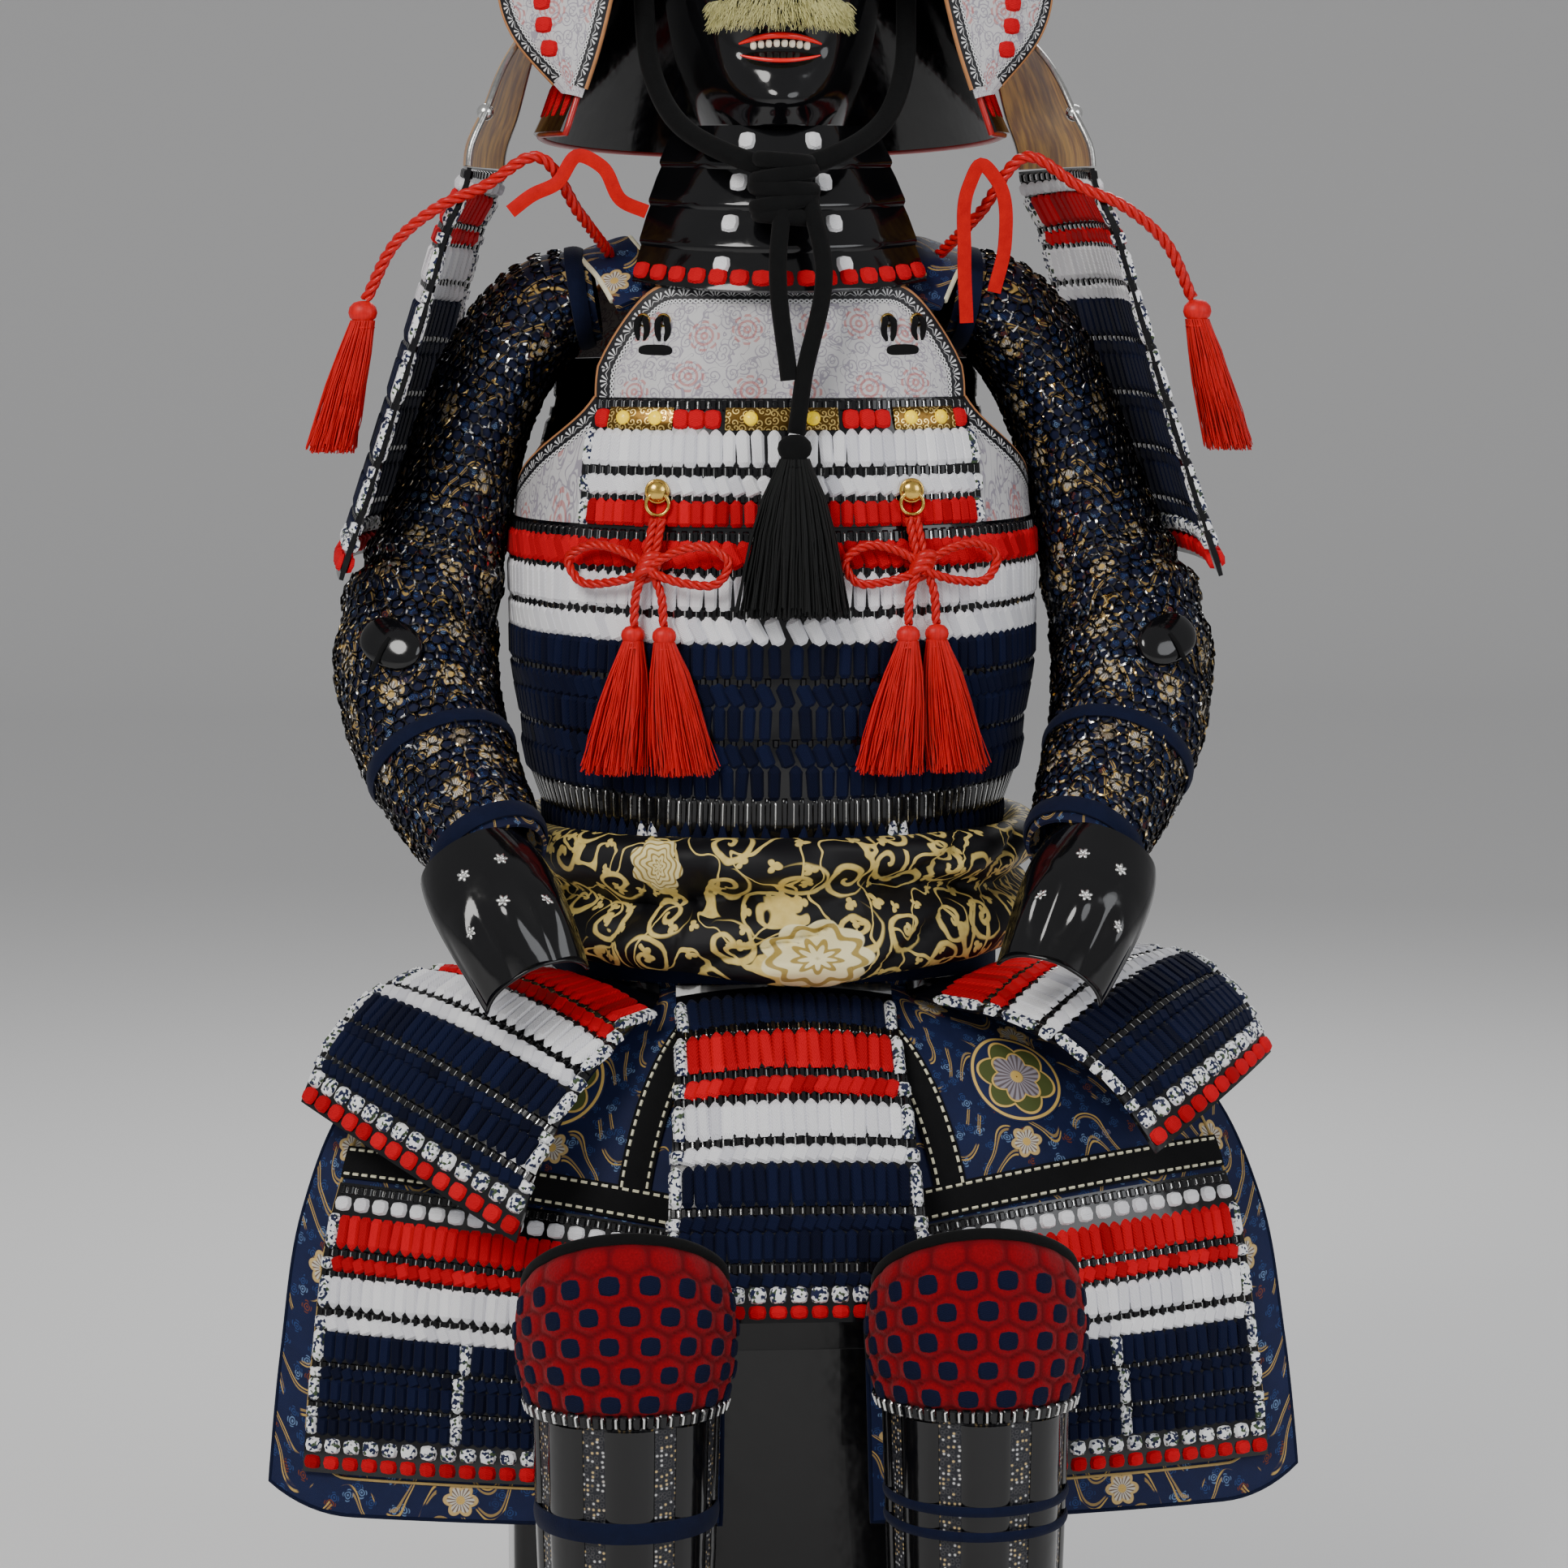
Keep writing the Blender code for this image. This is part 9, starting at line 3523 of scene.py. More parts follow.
@dataclass
class ChestBow:
    """A gilt ring on its stud, a red twisted cord tied below it in a bow, and two tassels."""

    side: int
    name: str
    diameter: float = CHEST_CORD

    def build(self, shop: Workshop, finishes: Finishes) -> None:
        """Makes the stud with its ring, the bow and the tassels.

        Args:
            shop: the unit shapes and trees.
            finishes: the suit's materials.
        """
        out = PLATE_WALL + LAME_STEP + self.diameter / 2 + 0.004
        knot_x, knot_z = BOW_KNOT.x * self.side, BOW_KNOT.z

        def on_body(dx: float, dz: float, more: float = 0.0) -> tuple[float, float, float]:
            """A place on the chest, measured from the knot."""
            x, z = knot_x + dx, knot_z + dz
            return x, torso_surface(x, z, out + more), z

        low, high = solid_box(f"chest_cord_{self.name}")
        bare = on_body(0, 0)
        shift = np.array((0.0, low[1] - (bare[1] - 0.0125), 0.0))
        at_x = CHEST_RING.x * self.side
        parts = []
        for way in (1, -1):
            loop = [on_body(way * dx, dz, 0.002 * (way + 1)) for dx, dz in BOW_LOOP]
            parts.append(("loop_outer" if way == self.side else "loop_inner", loop))
        for way in (1, -1):
            aside = 0.0028 * way
            tail = [on_body(at_x - knot_x + aside, 0.0345), on_body((at_x - knot_x) * 0.4 + aside, 0.014),
                    on_body(aside, 0.0), on_body(way * 0.009, -0.020), on_body(way * BOW_TAIL, -0.042)]
            parts.append(("tail_outer" if way == self.side else "tail_inner", tail))
        for label, route in parts:
            cord = TwistedCord(f"chest_cord_{self.name}_{label}", route, self.diameter)
            made, line = cord.build(shop, finishes, shift)
            finish_piece(made, [f"chest_cord_{self.name}"] if label == "tail_outer" else ())
        centre = np.array(on_body(0, 0)) + shift
        wraps = []
        for k, tilt in enumerate((-0.5, 0.0, 0.5)):
            turn = np.linspace(0, 2 * math.pi, 20, endpoint=False)
            ring = np.stack([np.cos(turn) * 0.0062 + 0.004 * tilt, np.sin(turn) * 0.0052,
                             np.cos(turn + 1.2) * 0.004 + tilt * 0.010], axis=1) + centre
            wraps.append(tube_object("wrap", ring, 0.0034, finishes.silk_ply, 10, ring=True))
        finish_piece(joined(f"chest_knot_{self.name}", wraps))
        self.ring(finishes)
        for way in (1, -1):
            where = "outer" if way == self.side else "inner"
            node = f"tassel_chest_{self.name}_{where}"
            made = CHEST_TASSEL.hang(f"chest_tassel_{self.name}_{where}", node, (way * 0.0139, 0.0),
                                     SEED + way)
            made.build(shop, finishes.silk, finishes.silk, "red_silk", node)

    def ring(self, finishes: Finishes) -> None:
        """The domed stud with its rim, and the ring that hangs from it.

        Args:
            finishes: the suit's materials.
        """
        low, high = solid_box(f"chest_ring_{self.name}")
        at = np.array((CHEST_RING.x * self.side, (low[1] + high[1]) / 2, CHEST_RING.z))
        stud = dome_object("stud", at, np.diag((0.0078, 0.0046, 0.0078)), finishes.gilt, 1.0, 12, 24)
        turn = np.linspace(0, 2 * math.pi, 24, endpoint=False)
        rim = np.stack([np.cos(turn) * 0.0080, np.zeros(24) + 0.001, np.sin(turn) * 0.0080], axis=1) + at
        rim = tube_object("rim", rim, 0.0011, finishes.gilt, 8, ring=True)
        hoop = np.stack([np.sin(turn) * 0.0082, np.zeros(24) - 0.002, -0.009 - np.cos(turn) * 0.0082],
                        axis=1) + at
        hoop = tube_object("hoop", hoop, 0.0014, finishes.gilt, 8, ring=True)
        finish_piece(joined(f"chest_stud_{self.name}", [stud, rim, hoop]),
                     [f"chest_ring_{self.name}"])


@dataclass
class ShoulderDress:
    """The red cord over the shoulder guard with its tassel, and the flat ribbon beside the throat."""

    side: int
    name: str
    diameter: float = SHOULDER_CORD
    ribbon_width: float = 0.010

    def build(self, shop: Workshop, finishes: Finishes) -> None:
        """Makes the cord, the tassel and the ribbon.

        Args:
            shop: the unit shapes and trees.
            finishes: the suit's materials.
        """
        route = [(x * self.side, y, z) for x, y, z in SHOULDER_ROUTE]
        line = even_path(route, 0.004)
        _, high = solid_box(f"shoulder_cord_{self.name}")
        shift = np.array((0.0, 0.0, high[2] - line[:, 2].max() - self.diameter / 2 + 0.0003))
        made, line = TwistedCord(f"shoulder_rope_{self.name}", route, self.diameter).build(shop, finishes,
                                                                                           shift)
        finish_piece(made, [f"shoulder_cord_{self.name}"])
        node = f"tassel_shoulder_{self.name}"
        made = SHOULDER_TASSEL.hang(f"shoulder_tassel_{self.name}", node, (0.024 * self.side, 0.0), hung=0.5)
        made.build(shop, finishes.silk, finishes.silk, "red_silk", node)
        self.ribbon(finishes)

    def ribbon(self, finishes: Finishes) -> None:
        """The flat ribbon on its seat, rounded a little across its width.

        Args:
            finishes: the suit's materials.
        """
        points = even_path([(x * self.side, y, z) for x, y, z in RIBBONS[self.side]], 0.003)
        low, high = solid_box(f"ribbon_{self.name}")
        points = points + (0.0, (low[1] + high[1]) / 2 - (points[:, 1].min() + points[:, 1].max()) / 2, 0.0)
        ahead = unit(np.gradient(points, axis=0))
        across = unit(np.cross(ahead, (0.15 * self.side, -1, 0)))
        face = unit(np.cross(across, ahead))
        outer, inner = [], []
        for t in np.linspace(-1, 1, 7):
            edge = points + across * (t * self.ribbon_width / 2)
            outer.append(edge + face * (0.0007 + 0.0006 * (1 - t * t)))
            inner.append(edge - face * 0.0007)
        made = wall_object(f"ribbon_{self.name}_band", np.array(outer), np.array(inner), finishes.ribbon)
        finish_piece(made, [f"ribbon_{self.name}"])


@dataclass
class Sleeve:
    """A sleeve of brocade under iron mail, with a lacquered elbow plate and ties."""

    side: int
    name: str
    pitch: float = 0.0098
    plate: tuple = (0.0255, 0.0185, 0.0080)
    plate_at: float = 0.655
    link: float = 1.16
    row_step: float = 0.86
    covered: tuple = (0.035, 0.93)

    def grid(self, count: int, steps: int, out: float) -> Array:
        """Rings of points round the bent sleeve.

        Args:
            count: how many.
            steps: how many rows along it.
            out: how far off the form, in metres.

        Returns:
            The rows of points.
        """
        line = Spline(SLEEVE)
        samples = np.array([line.at(t) for t in np.linspace(0, 1, steps)])
        across, depth = frames_along(samples[:, :3], (0, 1, 0))
        rows = []
        for k in range(steps):
            row = []
            for a in np.linspace(0, 2 * math.pi, count, endpoint=False):
                fold = sleeve_folds(a, k / (steps - 1)) + self.crease(a, k / (steps - 1))
                p = samples[k, :3] + across[k] * math.cos(a) * (samples[k, 3] + out + fold) \
                    + depth[k] * math.sin(a) * (samples[k, 4] + out + fold)
                row.append((p[0] * self.side, p[1], p[2]))
            rows.append(row)
        return np.array(rows)

    @staticmethod
    def crease(angle: float, share: float) -> float:
        """Soft uneven creases across the bend and down the upper arm."""
        bend = math.exp(-((share - 0.55) / 0.13) ** 2) * math.sin(share * 70 + 2.1 * math.sin(angle + 0.6))
        slack = math.exp(-((share - 0.28) / 0.16) ** 2) * math.sin(3 * angle + share * 9)
        return 0.0014 * bend + 0.0012 * slack

    def build(self, shop: Workshop, finishes: Finishes) -> None:
        """Makes the cloth, its mail, the elbow plate and the ties.

        Args:
            shop: the unit shapes and trees.
            finishes: the suit's materials.
        """
        outer, inner = self.grid(48, 91, CLOTH_WALL), self.grid(48, 91, 0.0)
        shift = seated(outer, f"sleeve_{self.name}", "x")
        outer, inner = outer + shift, inner + shift
        made = wall_object(f"sleeve_{self.name}_cloth", outer, inner, finishes.sleeve_cloth, True)
        finish_piece(made, [f"sleeve_{self.name}"])
        middle_ring = outer[len(outer) // 2]
        girth = float(run_along(np.vstack([middle_ring, middle_ring[:1]]))[-1])
        length = float(run_along(outer.mean(axis=1))[-1])
        area = ThighGuard.area(np.concatenate([outer, outer[:, :1]], axis=1))
        closed = np.concatenate([outer, outer[:, :1]], axis=1)
        sheet = Surface(lambda u, v: Vector((0, 0, 0)), 2, 2, True)
        sheet.points = closed
        across = np.gradient(closed, axis=1)
        across[:, 0] = across[:, -1] = (closed[:, 1] - closed[:, -2]) / 2
        normals = unit(np.cross(np.gradient(closed, axis=0), across))
        middle = closed.mean(axis=1, keepdims=True)
        if ((closed - middle) * normals).sum() < 0:
            normals = -normals
        sheet.normals = normals
        self.links(sheet, shop, finishes, girth, length)
        self.fittings(sheet, finishes)

    def links(self, sheet: Surface, shop: Workshop, finishes: Finishes, girth: float, length: float) -> None:
        """The mail: rows of links, every other row set half a link over.

        Args:
            sheet: the surface that it lies on.
            shop: the unit shapes and trees.
            finishes: the suit's materials.
            girth: the length round the sleeve.
            length: the length in metres.
        """
        laid = Laid.empty()
        first, reach = self.covered
        rows = round((length * reach) / (self.pitch * self.row_step))
        for j in range(rows):
            v = first + reach * (j + 0.5) / rows
            count = round(sheet.width(v) / self.pitch)
            u = (np.arange(count) + (0.5 if j % 2 else 0.0)) / count
            vs = np.full(count, v)
            step = unit(sheet.at((u + 0.01) % 1.0, vs) - sheet.at(u, vs))
            laid.add(sheet.at(u, vs, 0.0013), sheet.normal(u, vs), step, (self.pitch * self.link,) * 3)
        finish_piece(shop.chain(f"sleeve_{self.name}_mail", laid, finishes.mail, 0.30))

    def fittings(self, sheet: Surface, finishes: Finishes) -> None:
        """The oval elbow plate with its cord, the forearm tie and the collar at the shoulder.

        Args:
            sheet: the surface that it lies on.
            finishes: the suit's materials.
        """
        u = np.linspace(0, 1, 73)[:-1]
        front = sheet.at(u, np.full(72, self.plate_at))
        face = sheet.normal(u, np.full(72, self.plate_at))
        k = int(np.argmax(face[:, 0] * self.side * 0.30 - face[:, 1]))
        centre, n = front[k] + face[k] * 0.0030, face[k]
        up = unit(np.array((0.0, 0.0, 1.0)) - n * n[2])
        across = np.cross(up, n)
        tilt = 0.45 * self.side
        first = across * math.cos(tilt) + up * math.sin(tilt)
        second = -across * math.sin(tilt) + up * math.cos(tilt)
        axes = np.array([first * self.plate[0], second * self.plate[1], n * self.plate[2]])
        made = dome_object(f"elbow_plate_{self.name}", centre, axes, finishes.lacquer, 0.9, 12, 32)
        finish_piece(made)
        bands = []
        for v, tall in ((0.80, 0.012), (0.975, 0.014), (0.022, 0.013)):
            ring = np.linspace(0, 1, 49)[:-1]
            span = tall / 0.55
            outer = np.array([sheet.at(ring, np.clip(v + span * (s - 0.5), 0, 1),
                                       0.0030 + 0.0014 * math.sin(math.pi * s))
                              for s in np.linspace(0, 1, 6)])
            inner = np.array([sheet.at(ring, np.clip(v + span * (s - 0.5), 0, 1), 0.0012)
                              for s in np.linspace(0, 1, 6)])
            bands.append(wall_object("tie", outer, inner, finishes.tie, True))
        cord = [centre + n * 0.0075 + second * 0.002, centre + n * 0.0086 - second * 0.008,
                centre + n * 0.0055 - second * 0.0165, centre + n * 0.0030 - second * 0.0260]
        bands.append(tube_object("cord", even_path(cord, 0.002), 0.0019, finishes.black_band, 8))
        finish_piece(joined(f"sleeve_ties_{self.name}", bands))


@dataclass
class HandPlate:
    """The lacquered plate over the back of the hand, with finger ridges and small silver flowers."""

    side: int
    name: str
    ridge: float = 0.0030
    petal: tuple = (0.0024, 0.0014, 0.0010)
    heart: tuple = (0.0014, 0.0016)

    def build(self, finishes: Finishes) -> None:
        """Makes the plate, its rim and its studs.

        Args:
            finishes: the suit's materials.
        """
        us, vs = np.linspace(-1, 1, 49), np.linspace(0, 1, 33)

        def ridge(u: float, v: float) -> float:
            """The height of the finger ridges."""
            fade = min(1.0, max(0.0, (v - 0.42) / 0.25)) * min(1.0, (1 - abs(u)) / 0.2)
            return self.ridge * fade * abs(math.cos(u * math.pi * 1.75)) ** 0.7

        outer = np.array([[hand_point(self.side, u, v, MASK_WALL + ridge(u, v)) for u in us] for v in vs])
        inner = np.array([[hand_point(self.side, u, v) for u in us] for v in vs])
        bare = np.array([[hand_point(self.side, u, v, MASK_WALL) for u in us] for v in vs])
        shift = seated(np.concatenate([bare, inner]), f"hand_plate_{self.name}", "xyz")
        made = wall_object(f"hand_plate_{self.name}_shell", outer + shift, inner + shift, finishes.lacquer)
        finish_piece(made, [f"hand_plate_{self.name}"])
        studs = []
        for u, v in ((-0.46, 0.66), (0.0, 0.60), (0.46, 0.66), (-0.2, 0.28), (0.24, 0.28)):
            p = np.array(hand_point(self.side, u, v, MASK_WALL + ridge(u, v) + 0.0002)) + shift
            q = np.array(hand_point(self.side, u, v, 0.03)) + shift
            n = unit(q - p)
            across = unit(np.cross(n, (0, 0, 1)))
            up = np.cross(across, n)
            for t in np.linspace(0, 2 * math.pi, 6, endpoint=False):
                way = across * math.cos(t) + up * math.sin(t)
                axes = np.array([way, np.cross(n, way), n]) * np.array(self.petal)[:, None]
                studs.append(dome_object("petal", p + way * 0.0030, axes, finishes.silver, 1.0, 6, 10))
            wide, high = self.heart
            axes = np.array([across * wide, up * wide, n * high])
            studs.append(dome_object("heart", p, axes, finishes.silver, 1.0, 6, 10))
        finish_piece(joined(f"hand_studs_{self.name}", studs))
        rim = [(-1.0, v) for v in np.linspace(0.02, 1, 17)] + [(u, 1.0) for u in np.linspace(-0.96, 1, 33)]
        rim += [(1.0, v) for v in np.linspace(0.97, 0.02, 17)]
        line = np.array([hand_point(self.side, u, v, MASK_WALL / 2) for u, v in rim]) + shift
        finish_piece(tube_object(f"hand_rim_{self.name}", line, 0.0014, finishes.lacquer, 8))


@dataclass
class ShoulderGuard:
    """The laced guard that hangs outside the upper arm, and its gold-faced top plate."""

    side: int
    name: str

    def build(self, shop: Workshop, finishes: Finishes) -> None:
        """Makes the guard, laced on both faces, and the top plate with its rim and ball.

        Args:
            shop: the unit shapes and trees.
            finishes: the suit's materials.
        """
        guard = panel_surface(SHOULDER_GUARD, self.side, 33, 61)
        plate = panel_surface(TOP_PLATE, self.side, 33, 41)
        pair = np.concatenate([guard.at(np.linspace(0, 1, 30)[:, None], np.linspace(0, 1, 30)[None],
                                        PLATE_WALL
                                        + LAME_STEP).reshape(-1, 3), guard.points.reshape(-1, 3)])
        shift = seated(pair, f"shoulder_guard_{self.name}", "y")
        guard.moved(shift)
        plate.moved(shift)
        LacedPanel(f"shoulder_guard_{self.name}", guard, SHOULDER_ROWS, lean=-CORD_SLANT * self.side,
                   seed=SEED + 7 * self.side).build(shop, finishes, f"shoulder_guard_{self.name}")
        u, v = np.meshgrid(np.linspace(0, 1, 33), np.linspace(0, 1, 25))
        outer, inner = plate.at(u, v, LEATHER_WALL), plate.at(u, v, 0.0)
        made = wall_object(f"shoulder_plate_{self.name}", outer, inner, finishes.facing)
        finish_piece(made, [f"shoulder_guard_top_{self.name}"])
        route = [(0.0, t) for t in np.linspace(1, 0.03, 20)] + [(t, 0.0) for t in np.linspace(0, 1, 30)]
        route += [(1.0, t) for t in np.linspace(0.03, 1, 20)]
        us, vs = np.array(route).T
        rim = tube_object("rim", plate.at(us, vs, LEATHER_WALL / 2), 0.0023, finishes.rim_silver, 10)
        centre = plate.at(0.02, 0.62, LEATHER_WALL / 2)
        ball = dome_object("ball", centre, np.diag((0.0062, 0.0062, 0.0062)), finishes.silver, 1.0, 12, 20)
        finish_piece(joined(f"shoulder_rim_{self.name}", [rim, ball]))
        inside = copy.copy(guard)
        inside.normals = -guard.normals
        back = LacedPanel(f"shoulder_guard_{self.name}_inside", inside, SHOULDER_ROWS,
                          inner=0.0010 - PLATE_WALL,
                          pitch=0.0130, head_pitch=0.0110,
                          cord_height=0.0020, lean=CORD_SLANT * self.side, seed=SEED + 20 + 11 * self.side)
        finish_piece(back.lacing(shop, finishes))


@dataclass
class Helmet:
    """The ribbed bowl, its peak, the neck guard with its red rim and the turned-back wings."""

    ribs: int = 28
    rim: float = 0.0024
    lace_pitch: float = 0.0175
    lace: tuple = (0.0044, 0.0300, 0.0020)
    square: tuple = (0.0135, 0.0125, 0.0040)

    def build(self, shop: Workshop, finishes: Finishes) -> None:
        """Makes every part of the helmet.

        Args:
            shop: the unit shapes and trees.
            finishes: the suit's materials.
        """
        self.bowl(finishes)
        self.visor(finishes)
        self.neck_guard(shop, finishes)
        for side, name in SIDES:
            self.wing(side, name, shop, finishes)

    def bowl(self, finishes: Finishes) -> None:
        """The bowl with rounded ribs that run up to its stepped crown fitting.

        Args:
            finishes: the suit's materials.
        """
        columns = self.ribs * 6
        angles = np.linspace(0, 360, columns, endpoint=False)
        lifts = list(np.linspace(-6, 76, 21))
        outer = []
        for lift in lifts:
            rib = RIB_HEIGHT * math.cos(math.radians(lift)) ** 0.7
            outer.append([tuple(bowl_point(a, lift,
                                           rib * abs(math.cos(math.radians(a * self.ribs / 2))) ** 6))
                          for a in angles])
        inner = [[tuple(bowl_point(a, lift, -BOWL_WALL)) for a in angles] for lift in lifts]
        made = wall_object("helmet_bowl_shell", np.array(outer)[::-1], np.array(inner)[::-1],
                           finishes.lacquer, True)
        crown = np.array(BOWL_CENTRE) + (0, 0, BOWL_RADII[2])
        rings = ((0.0290, -0.0090), (0.0282, 0.0005), (0.0262, 0.0028), (0.0225, 0.0030), (0.0215, 0.0062),
                 (0.0180, 0.0066), (0.0130, 0.0072), (0.0115, 0.0104), (0.0090, 0.0122), (0.0040, 0.0118))
        turns = np.linspace(0, 2 * math.pi, 32, endpoint=False)
        grid = np.array([[crown + (math.cos(t) * r * (1 + 0.06 * math.cos(8 * t) * (r > 0.02)),
                                   math.sin(t) * r * (1 + 0.06 * math.cos(8 * t) * (r > 0.02)),
                                   z) for t in turns]
                         for r, z in rings])
        fitting = mesh_object("helmet_crown", grid.reshape(-1, 3), capped(*grid.shape[:2]), finishes.gilt,
                              None, 30.0)
        face_out(fitting)
        finish_piece(made, ["helmet_bowl"])
        finish_piece(fitting)

    def visor(self, finishes: Finishes) -> None:
        """The peak over the brow with a silvered lip.

        Args:
            finishes: the suit's materials.
        """
        def at(share: float, a: float, rise: float) -> Array:
            """A point of the peak.

            Args:
                share: how far out from the bowl, from 0 to 1.
                a: the turn from the front.
                rise: how far above the peak's underside.

            Returns:
                The point.
            """
            reach = 0.0
            if abs(a) < VISOR_SPREAD:
                reach = VISOR_REACH * math.cos(math.radians(a * 90 / VISOR_SPREAD)) ** 0.6
            ahead = np.array((math.sin(math.radians(a)), -math.cos(math.radians(a)), 0.0))
            lift = np.array((0, 0, -0.55 * reach * share ** 1.4 - 0.001 + rise))
            return np.array(bowl_point(a, -4, 0.0022)) + ahead * reach * share + lift

        angles = np.linspace(-VISOR_SPREAD * 0.998, VISOR_SPREAD * 0.998, 61)
        shares = np.linspace(0, 1, 13)
        outer = np.array([[at(s, a, 0.0025) for a in angles] for s in shares])
        inner = np.array([[at(s, a, 0.0) for a in angles] for s in shares])
        finish_piece(wall_object("helmet_peak", outer, inner, finishes.lacquer),
                     ["helmet_visor"])
        line = np.array([at(1.0, a, 0.00125) for a in angles[2:-2]])
        finish_piece(tube_object("helmet_peak_lip", line, 0.0018, finishes.rim_silver, 8))

    def neck_guard(self, shop: Workshop, finishes: Finishes) -> None:
        """The flared lames of the neck guard, laced outside and rimmed in dark red.

        Args:
            shop: the unit shapes and trees.
            finishes: the suit's materials.
        """
        start, stop = NECK_GUARD_FROM, 360 - NECK_GUARD_FROM
        sheet = Surface(lambda u, v: neck_guard_point(start + (stop - start) * u, v), 121, 41)
        shares = []
        for k in range(4):
            shares += [(k / 4 + (0.018 if k else 0.0), 0.0), (k / 4 + 0.125, 0.0014),
                       ((k + 1) / 4, LAME_STEP)]
        u = np.linspace(0, 1, 121)
        outer = np.array([sheet.at(u, s, NECK_WALL + step) for s, step in shares])
        inner = np.array([sheet.at(u, s, 0.0) for s, _ in shares])
        made = wall_object("neck_guard_lames", outer, inner, finishes.lacquer)
        finish_piece(made, ["neck_guard"])
        route = [(0.0, v) for v in np.linspace(0.02, 1, 14)] + [(t, 1.0) for t in np.linspace(0.01, 1, 90)]
        route += [(1.0, v) for v in np.linspace(0.97, 0.02, 14)]
        us, vs = np.array(route).T
        line = sheet.at(us, vs, NECK_WALL * 0.6)
        finish_piece(tube_object("neck_guard_rim", line, self.rim, finishes.rim, 8))
        laid = Laid.empty()
        for k, dye in enumerate((Dye.NAVY, Dye.NAVY, Dye.WHITE, Dye.RED)):
            v = (k + 0.48) / 4
            count = round(sheet.width(v) / self.lace_pitch)
            us = (np.arange(count) + 0.5) / count
            vs = np.full(count, v)
            step = unit(sheet.at(us + 0.005, vs) - sheet.at(us - 0.005, vs))
            for shift in (-0.0021, 0.0021):
                places = sheet.at(us, vs, NECK_WALL + 0.0012) + step * shift
                laid.add(places, sheet.normal(us, vs), step, self.lace, Stitch.CORD, dye, 0.55)
        finish_piece(shop.lay("neck_guard_lacing", laid, finishes.dyes()))

    def wing(self, side: int, name: str, shop: Workshop, finishes: Finishes) -> None:
        """A turned-back end of the top lame: printed leather, a row of red squares and an edging.

        Args:
            side: 1 for the side at +X, -1 for the other.
            name: the piece's name.
            shop: the unit shapes and trees.
            finishes: the suit's materials.
        """
        sheet = panel_surface(WING, side, 33, 41)
        u, v = np.meshgrid(np.linspace(0, 1, 25), np.linspace(0, 1, 33))
        bare = np.concatenate([sheet.at(u, v, LEATHER_WALL).reshape(-1, 3),
                               sheet.at(u, v, 0.0).reshape(-1, 3)])
        sheet.moved(seated(bare, f"helmet_wing_{name}", "y"))
        node = f"helmet_wing_{name}"
        edge = [(0.0, t) for t in np.linspace(0.96, 0.0, 30)] + [(t, 0.0) for t in np.linspace(0.04, 1, 16)]
        edge += [(1.0, t) for t in np.linspace(0.03, 0.96, 30)]
        if side < 0:
            edge = edge[::-1]
        Plate(f"helmet_wing_{name}", sheet, edge, border=0.0100).build(finishes, node, "printed_leather", 25,
                                                                       33)
        laid = Laid.empty()
        vs = np.linspace(0.10, 0.80, 8)
        us = np.full(8, 0.60)
        step = unit(sheet.at(us + 0.02, vs) - sheet.at(us - 0.02, vs))
        laid.add(sheet.at(us, vs, LEATHER_WALL), sheet.normal(us, vs), step, self.square,
                 Stitch.CUSHION, Dye.RED, 0.6)
        finish_piece(shop.lay(f"helmet_wing_{name}_squares", laid, finishes.dyes()))


